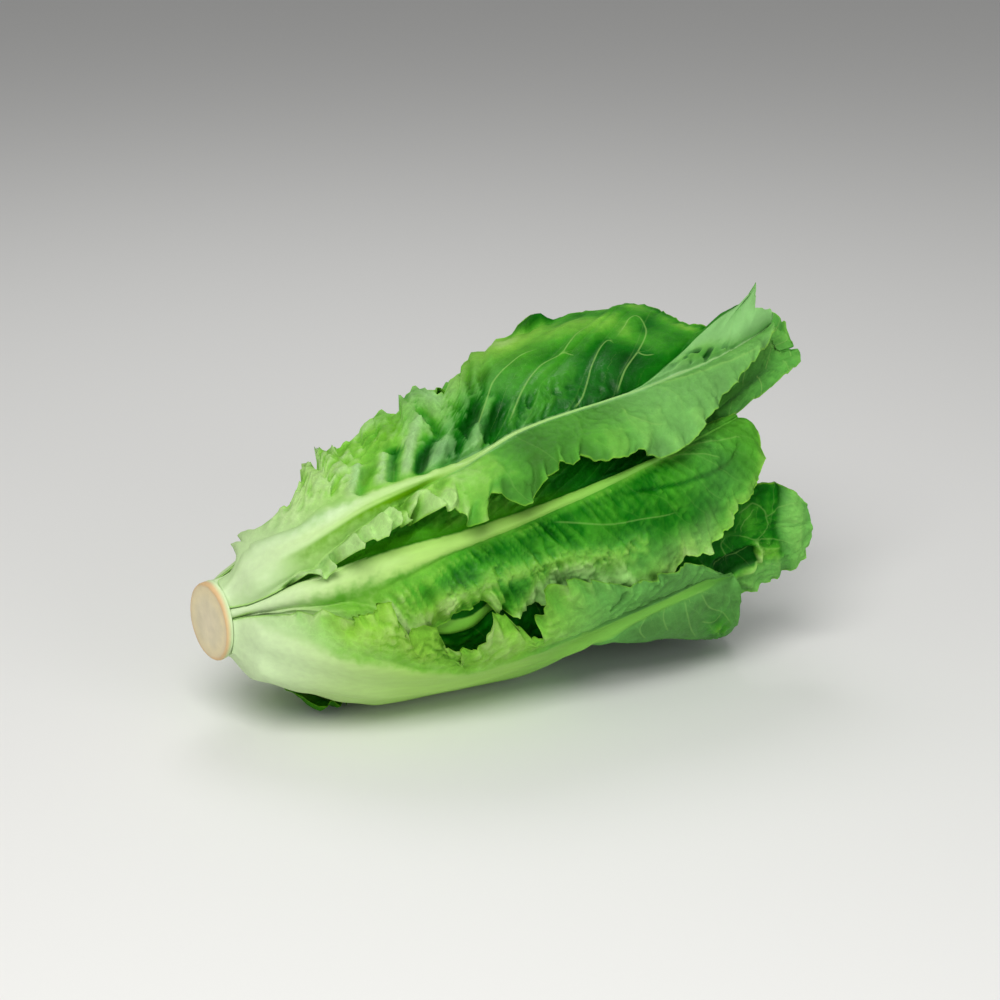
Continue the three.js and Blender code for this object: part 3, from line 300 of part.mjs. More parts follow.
    net: [
    [[34,38,9.4],[34,48.9,9.7],[34,55.1,9.2],[34,64,8.1],[34,72.9,10.2],[34,79.1,10.8],[34,90,10.4]],
    [[50.6,48.8,23.8],[50.8,55.1,23.2],[50.9,58.7,22.7],[51,63.8,21.6],[50.9,68.9,25.6],[50.8,72.5,26.8],[50.6,78.8,26.8]],
    [[67.2,43.5,35.6],[67.5,52,35.2],[67.7,56.8,34.5],[68,63.7,33.4],[67.7,70.5,38],[67.5,75.3,39.8],[67.2,83.8,39.5]],
    [[83.8,38.9,40.2],[84.3,50.5,41.1],[84.7,57,40.3],[85,63.5,39.3],[84.7,70,43.4],[84.3,76.5,45.9],[83.8,88.1,46.3]],
    [[100.3,32.3,42.3],[101.4,51.4,44],[101.7,57.4,43.9],[102,63.3,43.1],[101.7,69.3,45.7],[101.4,75.2,48.6],[100.3,94.4,49.5]],
    [[116.9,28,46.7],[118.4,52.4,48],[118.7,57.8,48.2],[119,63.2,47.8],[118.7,68.6,49],[118.4,73.9,51.3],[116.9,98.3,52.2]],
    [[133.5,25.3,51.1],[135.4,53.9,51.5],[135.7,58.5,51.6],[136,63,51.3],[135.7,67.5,52.1],[135.4,72.1,53.5],[133.5,100.7,54.1]],
    [[150.1,23,53.9],[152.3,53.3,54.1],[152.7,58.8,53.9],[153,62.8,53.6],[152.7,66.8,54.2],[152.3,72.4,55.1],[150.1,102.7,55.3]],
    [[166.7,22.1,55.6],[169.2,52.9,55.8],[169.7,58.6,55.4],[170,62.7,55.1],[169.7,66.7,55.5],[169.2,72.4,56.1],[166.7,103.2,56.1]],
    [[183.2,23.7,56.8],[186.1,53.2,57],[186.6,58.6,56.6],[187,62.5,56.2],[186.6,66.4,56.6],[186.1,71.8,57.1],[183.2,101.3,56.9]],
    [[200.3,26.4,57.4],[203.1,53.7,57.7],[203.6,58.7,57.2],[204,62.3,56.8],[203.6,65.9,57.2],[203.1,71,57.7],[200.3,98.3,57.4]],
    [[218.2,35.2,57.6],[220.3,55.7,58.1],[220.7,59.5,57.6],[221,62.2,57.2],[220.7,64.9,57.6],[220.3,68.6,58.1],[218.2,89.1,57.6]],
    [[236,55.7,57.9],[237.3,59.7,58.7],[237.6,60.9,58.3],[238,62,57.7],[237.6,63.1,58.3],[237.3,64.3,58.7],[236,68.3,57.9]]] },
  // third-ring leaf
  { name: 'inner_2_leaf', colour: '#a5d873', ribColumn: 3,
    rib: [[4.0,1.20,1.20],[4.6,1.41,1.41],[5.2,1.62,1.62],[5.4,1.65,1.65],[5.2,1.57,1.57],[4.9,1.46,1.46],[4.2,1.25,1.25],[3.6,1.04,1.04],[3.1,0.88,0.88],[2.6,0.72,0.72],[2.2,0.56,0.56],[1.7,0.41,0.41],[1.2,0.25,0.25]],
    net: [
    [[36,98,10.9],[36,108.9,11.4],[36,115.1,10.9],[36,124,8.9],[36,132.9,9.8],[36,139.1,10.2],[36,150,9.8]],
    [[52.4,108.9,27.9],[52.6,115.3,28.2],[52.7,118.9,27],[52.8,124.1,23.7],[52.7,129.3,24.1],[52.6,132.9,24.5],[52.4,139.3,24.3]],
    [[68.8,103.7,40.7],[69.2,112.3,41],[69.4,117.2,39.2],[69.7,124.2,34.7],[69.4,131.1,34.5],[69.2,136,35],[68.8,144.6,34.9]],
    [[85.3,99.2,45],[85.8,111,45.9],[86.2,117.6,44.3],[86.5,124.3,40.3],[86.2,130.9,39.9],[85.8,137.5,40.6],[85.3,149.3,40.6]],
    [[101.7,92.7,46.5],[102.7,112.2,47.6],[103,118.3,46.9],[103.3,124.3,45.3],[103,130.4,45.8],[102.7,136.5,46.3],[101.7,156,46.4]],
    [[118.1,88.5,48.3],[119.5,113.4,49.6],[119.8,118.9,49.8],[120.2,124.4,49.2],[119.8,129.9,49.8],[119.5,135.4,50.4],[118.1,160.4,50.5]],
    [[134.5,85.9,49.9],[136.4,115.2,51.2],[136.7,119.9,51.8],[137,124.5,51.5],[136.7,129.1,52.1],[136.4,133.8,52.6],[134.5,163.1,52.8]],
    [[150.9,83.8,51],[153.1,114.8,52.5],[153.5,120.5,53.1],[153.8,124.6,52.9],[153.5,128.7,53.4],[153.1,134.4,53.9],[150.9,165.4,54]],
    [[167.3,83.2,52.1],[169.9,114.7,53.6],[170.3,120.5,54],[170.7,124.7,53.9],[170.3,128.8,54.4],[169.9,134.6,54.9],[167.3,166.2,54.8]],
    [[183.7,85,52.9],[186.6,115.2,54.5],[187.1,120.8,55],[187.5,124.8,54.8],[187.1,128.7,55.3],[186.6,134.3,55.8],[183.7,164.5,55.6]],
    [[200.6,88,53.7],[203.4,116,55.3],[204,121.1,55.6],[204.3,124.8,55.4],[204,128.5,55.9],[203.4,133.7,56.3],[200.6,161.7,56]],
    [[218.3,97.3,54.7],[220.5,118.3,56.1],[220.9,122.2,56.1],[221.2,124.9,55.8],[220.9,127.7,56.3],[220.5,131.5,56.7],[218.3,152.5,56.3]],
    [[236,118.5,56.1],[237.3,122.7,57.1],[237.6,123.8,56.9],[238,125,56.3],[237.6,126.2,56.9],[237.3,127.3,57.3],[236,131.5,56.5]]] },
  // third-ring leaf
  { name: 'inner_3_leaf', colour: '#a9da78', ribColumn: 3,
    rib: [[4.0,1.20,1.20],[4.6,1.41,1.41],[5.2,1.62,1.62],[5.4,1.65,1.65],[5.2,1.57,1.57],[4.9,1.46,1.46],[4.2,1.25,1.25],[3.6,1.04,1.04],[3.1,0.88,0.88],[2.6,0.72,0.72],[2.2,0.56,0.56],[1.7,0.41,0.41],[1.2,0.25,0.25]],
    net: [
    [[38,160,11],[38,170.9,11.5],[38,177.1,11.1],[38,186,9.8],[38,194.9,11.1],[38,201.1,11.5],[38,212,11]],
    [[54.4,171,27.8],[54.6,177.4,28.4],[54.7,181.1,28],[54.8,186.3,26.6],[54.7,191.6,28],[54.6,195.2,28.4],[54.4,201.7,28]],
    [[70.8,165.9,39.8],[71.2,174.6,41],[71.4,179.6,40.9],[71.7,186.7,39.5],[71.4,193.7,40.9],[71.2,198.7,41.4],[70.8,207.4,41.1]],
    [[87.3,161.5,41.3],[87.8,173.5,45],[88.2,180.3,45.7],[88.5,187,44.9],[88.2,193.7,46.1],[87.8,200.5,46.7],[87.3,212.5,46.5]],
    [[103.7,155.1,43.3],[104.7,174.9,45.8],[105,181.1,47.1],[105.3,187.3,46.8],[105,193.5,47.8],[104.7,199.7,48.3],[103.7,219.6,48]],
    [[120.1,151,46.7],[121.5,176.4,47.8],[121.9,182,48.9],[122.2,187.7,48.7],[121.9,193.3,49.5],[121.5,198.9,49.7],[120.1,224.4,48.5]],
    [[136.5,148.6,48.8],[138.4,178.5,49.9],[138.7,183.3,50.7],[139,188,50.5],[138.7,192.7,51],[138.4,197.5,51.1],[136.5,227.4,50]],
    [[152.9,146.6,50],[155.1,178.3,51.4],[155.5,184.2,51.9],[155.8,188.3,51.7],[155.5,192.5,52.2],[155.1,198.4,52.6],[152.9,230.1,52.3]],
    [[169.3,146.2,50.8],[171.9,178.5,52.4],[172.3,184.4,52.8],[172.7,188.7,52.7],[172.3,192.9,53.2],[171.9,198.9,53.6],[169.3,231.1,53.5]],
    [[185.7,148.3,51.6],[188.6,179.2,53.3],[189.1,184.9,53.7],[189.5,189,53.6],[189.1,193.1,54],[188.6,198.8,54.5],[185.7,229.7,54.3]],
    [[202.6,151.6,52.4],[205.4,180.3,54],[206,185.6,54.3],[206.3,189.3,54.1],[206,193.1,54.5],[205.4,198.4,55],[202.6,227.1,54.7]],
    [[220.3,161.4,53.7],[222.5,182.9,54.8],[222.9,186.8,54.8],[223.2,189.7,54.5],[222.9,192.5,54.9],[222.5,196.5,55.4],[220.3,218,54.9]],
    [[238,183.4,54.8],[239.3,187.6,55.8],[239.6,188.8,55.6],[240,190,55],[239.6,191.2,55.6],[239.3,192.4,56],[238,196.6,55.2]]] },
  // third-ring leaf
  { name: 'inner_4_leaf', colour: '#a9da78', ribColumn: 3,
    rib: [[4.0,1.20,1.20],[4.6,1.41,1.41],[5.2,1.62,1.62],[5.4,1.65,1.65],[5.2,1.57,1.57],[4.9,1.46,1.46],[4.2,1.25,1.25],[3.6,1.04,1.04],[3.1,0.88,0.88],[2.6,0.72,0.72],[2.2,0.56,0.56],[1.7,0.41,0.41],[1.2,0.25,0.25]],
    net: [
    [[40,216,10.7],[40,226.9,11],[40,233.1,10.2],[40,242,8.8],[40,250.9,9.9],[40,257.1,9.9],[40,268,9.2]],
    [[57.1,227.5,27.9],[57.3,233.7,27.4],[57.4,237.2,26],[57.5,242.3,24.4],[57.4,247.3,25.5],[57.3,250.8,25.2],[57.1,257,24.4]],
    [[74.2,222.3,39.6],[74.5,230.8,37.9],[74.7,235.6,35.9],[75,242.5,34.4],[74.7,249.4,35.9],[74.5,254.2,34],[74.2,262.7,33.7]],
    [[91.3,217.6,43.3],[91.8,229.5,41.1],[92.2,236.1,40.1],[92.5,242.8,39],[92.2,249.4,39.9],[91.8,256,38.8],[91.3,267.9,38.4]],
    [[108.3,211.1,44.6],[109.4,230.7,43],[109.7,236.9,42.1],[110,243,41.2],[109.7,249.1,42.2],[109.4,255.3,41.7],[108.3,274.9,39.9]],
    [[125.4,206.9,46.1],[126.9,232.1,46.1],[127.2,237.7,45.9],[127.5,243.3,45.1],[127.2,248.8,45.7],[126.9,254.4,44.8],[125.4,279.6,42.5]],
    [[142.5,204.4,47.5],[144.4,234.1,48.5],[144.7,238.8,49.2],[145,243.5,49.1],[144.7,248.2,49.6],[144.4,252.9,49.1],[142.5,282.6,47.8]],
    [[159.6,202.2,49.4],[161.8,233.8,50.2],[162.2,239.6,51.3],[162.5,243.8,51.5],[162.2,247.9,52],[161.8,253.7,51.9],[159.6,285.3,50.4]],
    [[176.7,201.8,50.7],[179.2,233.9,51.5],[179.7,239.8,52.7],[180,244,52.9],[179.7,248.2,53.5],[179.2,254.1,53.8],[176.7,286.2,53.2]],
    [[193.7,203.8,51],[196.6,234.5,52.3],[197.1,240.2,53.6],[197.5,244.3,53.8],[197.1,248.3,54.3],[196.6,254,54.7],[193.7,284.7,54.4]],
    [[211.3,206.8,51.3],[214.1,235.5,53],[214.6,240.7,54.1],[215,244.5,54.2],[214.6,248.3,54.7],[214.1,253.5,55.1],[211.3,282.2,54.8]],
    [[229.7,216.5,52.4],[231.8,238,53.8],[232.2,241.9,54.6],[232.5,244.8,54.6],[232.2,247.6,55],[231.8,251.5,55.5],[229.7,273,55]],
    [[248,238.3,53.9],[249.3,242.6,55],[249.6,243.8,55],[250,245,54.5],[249.6,246.2,55.1],[249.3,247.4,55.5],[248,251.7,54.7]]] },
  // third-ring leaf
  { name: 'inner_5_leaf', colour: '#acdc7c', ribColumn: 3,
    rib: [[4.0,1.20,1.20],[4.6,1.41,1.41],[5.2,1.62,1.62],[5.4,1.65,1.65],[5.2,1.57,1.57],[4.9,1.46,1.46],[4.2,1.25,1.25],[3.6,1.04,1.04],[3.1,0.88,0.88],[2.6,0.72,0.72],[2.2,0.56,0.56],[1.7,0.41,0.41],[1.2,0.25,0.25]],
    net: [
    [[52,276,9.1],[52,286.9,9.4],[52,293.1,8.2],[52,302,6.3],[52,310.9,7.3],[52,317.1,7.2],[52,328,6.4]],
    [[68.5,288.2,24.4],[68.7,294.1,24.1],[68.8,297.5,22.7],[68.9,302.3,21.4],[68.8,307,22.8],[68.7,310.4,23],[68.5,316.3,22.5]],
    [[85,282.9,33.8],[85.4,291.1,31.6],[85.6,295.8,31.1],[85.8,302.5,30.1],[85.6,309.2,31.6],[85.4,313.9,31.6],[85,322.1,31.3]],
    [[101.5,278.3,37],[102.1,289.8,35],[102.4,296.3,34.1],[102.8,302.8,33.2],[102.4,309.2,34.7],[102.1,315.7,36],[101.5,327.2,36.2]],
    [[118,271.7,38.3],[119,291,36.6],[119.3,297,35.8],[119.7,303,34.9],[119.3,309,35.9],[119,315,37.7],[118,334.3,39.7]],
    [[134.5,267.5,41.4],[135.9,292.3,41.5],[136.3,297.8,41],[136.6,303.3,40.9],[136.3,308.7,41.3],[135.9,314.2,41.9],[134.5,339,45.1]],
    [[151,264.8,45.3],[152.9,294.2,46.1],[153.2,298.8,46.7],[153.5,303.5,46.8],[153.2,308.2,47.6],[152.9,312.8,48.6],[151,342.2,50.1]],
    [[167.5,262.5,48.1],[169.7,293.9,49.4],[170.1,299.6,50.4],[170.4,303.8,50.7],[170.1,307.9,51.4],[169.7,313.6,52.3],[167.5,345,52.9]],
    [[184,262.1,50],[186.5,293.9,51.3],[187,299.8,52.6],[187.3,304,52.9],[187,308.2,53.5],[186.5,314.1,54.1],[184,345.9,54.2]],
    [[200.5,263.8,50.7],[203.3,294.5,52.4],[203.9,300.2,53.6],[204.3,304.3,53.8],[203.9,308.3,54.3],[203.3,314,54.8],[200.5,344.7,54.6]],
    [[217.4,266.9,51.3],[220.3,295.5,53.3],[220.8,300.7,54.2],[221.2,304.5,54.3],[220.8,308.3,54.8],[220.3,313.5,55.2],[217.4,342.1,54.9]],
    [[235.3,276.6,52.4],[237.4,298,54.1],[237.8,301.9,54.7],[238.1,304.8,54.7],[237.8,307.6,55.1],[237.4,311.5,55.5],[235.3,332.9,55.1]],
    [[253,298.3,53.7],[254.3,302.6,54.8],[254.6,303.8,54.8],[255,305,54.2],[254.6,306.2,54.9],[254.3,307.4,55.2],[253,311.7,54.5]]] },
  // third-ring leaf
  { name: 'inner_6_leaf', colour: '#acdc7c', ribColumn: 3,
    rib: [[4.0,1.20,1.20],[4.6,1.41,1.41],[5.2,1.62,1.62],[5.4,1.65,1.65],[5.2,1.57,1.57],[4.9,1.46,1.46],[4.2,1.25,1.25],[3.6,1.04,1.04],[3.1,0.88,0.88],[2.6,0.72,0.72],[2.2,0.56,0.56],[1.7,0.41,0.41],[1.2,0.25,0.25]],
    net: [
    [[52,-24,9.8],[52,-13.1,10.7],[52,-6.9,10.6],[52,2,9.3],[52,10.9,10.6],[52,17.1,11],[52,28,10.5]],
    [[68.5,-11.4,26.3],[68.7,-5.6,27.6],[68.8,-2.4,28.2],[68.9,2.3,27.1],[68.8,6.9,28.5],[68.7,10.1,28.9],[68.5,15.9,28.5]],
    [[85,-16.1,35.4],[85.4,-8.3,36.7],[85.6,-3.8,38.9],[85.8,2.5,38.2],[85.6,8.8,39.4],[85.4,13.3,39.8],[85,21.1,39.3]],
    [[101.5,-20.5,36.5],[102.1,-10.2,38.9],[102.4,-3.7,42.4],[102.8,2.8,42.8],[102.4,9.2,43.7],[102.1,15.7,42],[101.5,26,41.3]],
    [[118,-26.8,36.6],[119,-9,39.6],[119.3,-3,44.1],[119.7,3,45.3],[119.3,9,45.8],[119,15,43.2],[118,32.8,42.7]],
    [[134.5,-30.7,38.3],[135.9,-7.7,41.2],[136.2,-2.2,46.9],[136.6,3.3,48.6],[136.2,8.7,49.2],[135.9,14.2,47.9],[134.5,37.2,47.1]],
    [[151,-33.3,43.7],[152.9,-5.8,44.9],[153.2,-1.2,49.5],[153.5,3.5,50.9],[153.2,8.2,51.3],[152.9,12.8,50.6],[151,40.3,49.8]],
    [[167.5,-35.4,47.7],[169.7,-5.6,49.3],[170.1,-0.2,51.6],[170.4,3.8,52.2],[170.1,7.7,52.6],[169.7,13.1,52.3],[167.5,42.9,51.6]],
    [[184,-35.9,49.8],[186.5,-5.6,51.5],[187,0,53],[187.3,4,53.2],[187,8,53.6],[186.5,13.6,53.6],[184,43.9,52.9]],
    [[200.5,-34.2,50.7],[203.3,-5,52.4],[203.9,0.4,53.7],[204.3,4.3,53.8],[203.9,8.1,54.3],[203.3,13.5,54.5],[200.5,42.7,53.8]],
    [[217.4,-31.2,51.2],[220.3,-4.1,53.1],[220.8,0.9,54.2],[221.2,4.5,54.3],[220.8,8.1,54.8],[220.3,13.1,55],[217.4,40.2,54.3]],
    [[235.3,-22,52.1],[237.4,-1.7,53.9],[237.8,2.1,54.7],[238.1,4.8,54.7],[237.8,7.4,55.1],[237.4,11.2,55.5],[235.3,31.5,55]],
    [[253,-1.4,53.6],[254.2,2.6,54.8],[254.6,3.8,54.8],[255,5,54.2],[254.6,6.2,54.9],[254.2,7.4,55.3],[253,11.4,54.5]]] },
  // heart leaf
  { name: 'heart_1_leaf', colour: '#c8e79a', ribColumn: 3,
    rib: [[3.5,1.00,1.00],[3.9,1.12,1.12],[4.3,1.24,1.24],[4.3,1.24,1.24],[3.9,1.12,1.12],[3.5,1.00,1.00],[3.0,0.85,0.85],[2.5,0.70,0.70],[2.0,0.55,0.55],[1.5,0.40,0.40],[1.0,0.25,0.25]],
    net: [
    [[52,61.4,8],[52,73.4,8.6],[52,80.3,8.2],[52,90,7],[52,99.7,8.2],[52,106.6,8.6],[52,118.6,8]],
    [[69.1,71.6,22.5],[69.3,79.1,23],[69.4,83.4,22.7],[69.6,89.5,21.4],[69.4,95.6,22.7],[69.3,99.9,23],[69.1,107.4,22.5]],
    [[86.2,64.2,32],[86.6,74.6,32.5],[86.9,81.2,32],[87.2,89,30.8],[86.9,96.8,32],[86.6,103.4,32.5],[86.2,113.8,32]],
    [[103.3,56.3,35.3],[104.1,74.3,35.6],[104.5,81.4,35],[104.8,88.5,34.1],[104.5,95.6,35],[104.1,102.7,35.6],[103.3,120.7,35.3]],
    [[120.4,48.3,36.4],[121.8,75.6,36.5],[122.1,81.8,36],[122.4,88,35.3],[122.1,94.2,36],[121.8,100.4,36.5],[120.4,127.7,36.4]],
    [[137.5,44.1,37.6],[139.4,76.7,37.6],[139.7,82.1,37.2],[140,87.5,36.6],[139.7,92.9,37.2],[139.4,98.3,37.6],[137.5,130.9,37.6]],
    [[154.6,40.7,38.3],[156.9,75.9,38.4],[157.3,82.4,37.9],[157.6,87,37.5],[157.3,91.6,37.9],[156.9,98.1,38.4],[154.6,133.3,38.3]],
    [[171.6,39.8,38.9],[174.3,75.3,39.1],[174.8,81.8,38.7],[175.2,86.5,38.2],[174.8,91.2,38.7],[174.3,97.7,39.1],[171.6,133.2,38.9]],
    [[189,42.2,39.5],[191.9,75.5,39.8],[192.4,81.6,39.4],[192.8,86,38.9],[192.4,90.4,39.4],[191.9,96.5,39.8],[189,129.8,39.5]],
    [[207.4,51.8,39.7],[209.7,77.4,40.1],[210.1,82.1,39.7],[210.4,85.5,39.3],[210.1,88.9,39.7],[209.7,93.6,40.1],[207.4,119.2,39.7]],
    [[226,77.6,39.9],[227.3,82.3,40.6],[227.6,83.7,40.3],[228,85,39.6],[227.6,86.3,40.3],[227.3,87.7,40.6],[226,92.4,39.9]]] },
  // heart leaf
  { name: 'heart_2_leaf', colour: '#c8e79a', ribColumn: 3,
    rib: [[3.5,1.00,1.00],[3.9,1.12,1.12],[4.3,1.24,1.24],[4.3,1.24,1.24],[3.9,1.12,1.12],[3.5,1.00,1.00],[3.0,0.85,0.85],[2.5,0.70,0.70],[2.0,0.55,0.55],[1.5,0.40,0.40],[1.0,0.25,0.25]],
    net: [
    [[54,161.4,8],[54,173.4,8.6],[54,180.3,8.2],[54,190,7],[54,199.7,8.2],[54,206.6,8.6],[54,218.6,8]],
    [[70.7,171.1,21.4],[70.9,179.1,21.9],[71,183.6,21.6],[71.2,190,20.3],[71,196.4,21.6],[70.9,200.9,21.9],[70.7,208.9,21.4]],
    [[87.4,163.8,30.3],[87.8,174.8,30.8],[88.1,181.7,30.4],[88.4,190,29.1],[88.1,198.3,30.4],[87.8,205.2,30.8],[87.4,216.2,30.3]],
    [[104.1,156.2,33.6],[104.9,175.1,33.9],[105.3,182.5,33.3],[105.6,190,32.3],[105.3,197.5,33.3],[104.9,204.9,33.9],[104.1,223.8,33.6]],
    [[120.8,148.1,34.5],[122.2,176.9,34.6],[122.5,183.4,34.1],[122.8,190,33.4],[122.5,196.6,34.1],[122.2,203.1,34.6],[120.8,231.9,34.5]],
    [[137.5,144.3,35.7],[139.4,178.6,35.7],[139.7,184.3,35.2],[140,190,34.7],[139.7,195.7,35.2],[139.4,201.4,35.7],[137.5,235.7,35.7]],
    [[154.2,141.2,36.3],[156.5,178.3,36.4],[156.9,185.1,35.9],[157.2,190,35.5],[156.9,194.9,35.9],[156.5,201.7,36.4],[154.2,238.8,36.3]],
    [[170.8,140.7,36.9],[173.5,178.2,37.1],[174,185.1,36.6],[174.4,190,36.2],[174,194.9,36.6],[173.5,201.8,37.1],[170.8,239.3,36.9]],
    [[187.8,143.8,37.4],[190.7,178.9,37.7],[191.2,185.4,37.3],[191.6,190,36.9],[191.2,194.6,37.3],[190.7,201.1,37.7],[187.8,236.2,37.4]],
    [[205.8,154.5,37.6],[208.1,181.5,38],[208.5,186.4,37.6],[208.8,190,37.2],[208.5,193.6,37.6],[208.1,198.5,38],[205.8,225.5,37.6]],
    [[224,182.2,37.8],[225.3,187.2,38.6],[225.6,188.6,38.2],[226,190,37.5],[225.6,191.4,38.2],[225.3,192.8,38.6],[224,197.8,37.8]]] },
  // heart leaf
  { name: 'heart_3_leaf', colour: '#cdeaa0', ribColumn: 3,
    rib: [[3.5,1.00,1.00],[3.9,1.12,1.12],[4.3,1.24,1.24],[4.3,1.24,1.24],[3.9,1.12,1.12],[3.5,1.00,1.00],[3.0,0.85,0.85],[2.5,0.70,0.70],[2.0,0.55,0.55],[1.5,0.40,0.40],[1.0,0.25,0.25]],
    net: [
    [[60,271.4,8],[60,283.4,8.6],[60,290.3,8.2],[60,300,7],[60,309.7,8.2],[60,316.6,8.6],[60,328.6,8]],
    [[76.1,279.5,19.9],[76.3,288.1,20.4],[76.4,293,19.9],[76.6,300,18.6],[76.4,307,19.8],[76.3,311.9,20.3],[76.1,320.5,19.9]],
    [[92.2,271.5,27.8],[92.6,283.5,28.2],[92.9,291,27.5],[93.2,300,25.8],[92.9,309,27.1],[92.6,316.5,28],[92.2,328.5,27.8]],
    [[108.3,263.1,30.8],[109.1,283.7,31],[109.5,291.9,30],[109.8,300,28.7],[109.5,308.1,29.6],[109.1,316.3,30.8],[108.3,336.9,30.8]],
    [[124.4,254.3,31.6],[125.8,285.7,31.6],[126.1,292.8,30.6],[126.4,300,29.7],[126.1,307.2,30.4],[125.8,314.3,31.5],[124.4,345.7,31.6]],
    [[140.5,250,32.6],[142.4,287.5,32.5],[142.7,293.8,32],[143,300,31.4],[142.7,306.2,31.9],[142.4,312.5,32.5],[140.5,350,32.6]],
    [[156.6,246.4,33.1],[158.9,287.1,33.2],[159.3,294.6,32.7],[159.6,300,32.2],[159.3,305.4,32.6],[158.9,312.9,33.2],[156.6,353.6,33.1]],
    [[172.6,245.9,33.6],[175.3,287,33.8],[175.8,294.6,33.3],[176.2,300,32.9],[175.8,305.4,33.3],[175.3,313,33.8],[172.6,354.1,33.6]],
    [[189,249.2,34],[191.9,287.8,34.4],[192.4,294.9,33.9],[192.8,300,33.5],[192.4,305.1,33.9],[191.9,312.2,34.4],[189,350.8,34]],
    [[206.4,260.9,34.2],[208.7,290.6,34.6],[209.1,296.1,34.2],[209.4,300,33.8],[209.1,303.9,34.2],[208.7,309.4,34.6],[206.4,339.1,34.2]],
    [[224,291.5,34.4],[225.3,296.9,35.1],[225.6,298.4,34.8],[226,300,34.1],[225.6,301.6,34.8],[225.3,303.1,35.1],[224,308.5,34.4]]] },
  // innermost heart leaf
  { name: 'heart_4_leaf', colour: '#d5eeae', ribColumn: 3,
    rib: [[3.5,1.00,1.00],[3.9,1.12,1.12],[4.3,1.24,1.24],[4.3,1.24,1.24],[3.9,1.12,1.12],[3.5,1.00,1.00],[3.0,0.85,0.85],[2.5,0.70,0.70],[2.0,0.55,0.55],[1.5,0.40,0.40],[1.0,0.25,0.25]],
    net: [
    [[66,1.4,7],[66,13.4,7.6],[66,20.3,7.2],[66,30,6],[66,39.7,7.2],[66,46.6,7.6],[66,58.6,7]],
    [[79.9,4.7,13.5],[80.1,15.5,14],[80.2,21.7,13.7],[80.4,30.5,12.4],[80.2,39.3,13.7],[80.1,45.5,14],[79.9,56.3,13.5]],
    [[93.8,-3.8,18.3],[94.2,10.8,18.8],[94.5,19.2,18.4],[94.8,31,17.1],[94.5,42.8,18.4],[94.2,51.2,18.8],[93.8,65.8,18.3]],
    [[107.7,-12.8,20.8],[108.4,7.2,21.2],[108.8,19.3,20.7],[109.2,31.5,19.6],[108.8,43.7,20.7],[108.4,55.8,21.2],[107.7,75.8,20.8]],
    [[121.6,-22.2,21.4],[122.8,10.7,21.7],[123.2,21.3,21.1],[123.6,32,20.3],[123.2,42.7,21.1],[122.8,53.3,21.7],[121.6,86.2,21.4]],
    [[135.5,-28,22],[137.2,14,22.2],[137.6,23.2,21.7],[138,32.5,21],[137.6,41.8,21.7],[137.2,51,22.2],[135.5,93,22]],
    [[149.4,-32,22.4],[151.7,17.4,22.5],[152,25.2,22.1],[152.4,33,21.5],[152,40.8,22.1],[151.7,48.6,22.5],[149.4,98,22.4]],
    [[163.2,-31.4,22.6],[165.9,17.9,22.8],[166.4,27,22.4],[166.8,33.5,21.9],[166.4,40,22.4],[165.9,49.1,22.8],[163.2,98.4,22.6]],
    [[177.5,-27,22.9],[180.3,19.4,23.3],[180.8,27.9,22.8],[181.2,34,22.4],[180.8,40.1,22.8],[180.3,48.6,23.3],[177.5,95,22.9]],
    [[192.6,-11,23.2],[194.9,23.6,23.6],[195.3,29.9,23.2],[195.6,34.5,22.8],[195.3,39.1,23.2],[194.9,45.4,23.6],[192.6,80,23.2]],
    [[208,24.8,23.3],[209.1,30.5,24.1],[209.6,32.8,23.7],[210,35,23],[209.6,37.2,23.7],[209.1,39.5,24.1],[208,45.2,23.3]]] }
];

function closedMesh(name, colour, positions, faces, roughness) {
  let volume = 0;
  for (const [a, b, c] of faces) {
    const [p, q, r] = [positions[a], positions[b], positions[c]];
    volume += (p[0] * (q[1] * r[2] - q[2] * r[1]) - p[1] * (q[0] * r[2] - q[2] * r[0]) + p[2] * (q[0] * r[1] - q[1] * r[0])) / 6;
  }
  const index = [];
  for (const [a, b, c] of faces) index.push(...(volume < 0 ? [a, c, b] : [a, b, c]));
  const geometry = new THREE.BufferGeometry();
  geometry.setAttribute('position', new THREE.Float32BufferAttribute(positions.flat(), 3));
  geometry.setIndex(index);
  geometry.computeVertexNormals();
  const mesh = new THREE.Mesh(geometry, new THREE.MeshStandardMaterial({ color: colour, roughness, metalness: 0 }));
  mesh.name = name;
  return mesh;
}

function ribProfile(x) {
  return x >= RIB_SKIRT ? 0 : (Math.cos((x / RIB_SKIRT) * Math.PI) + 1) / 2;
}

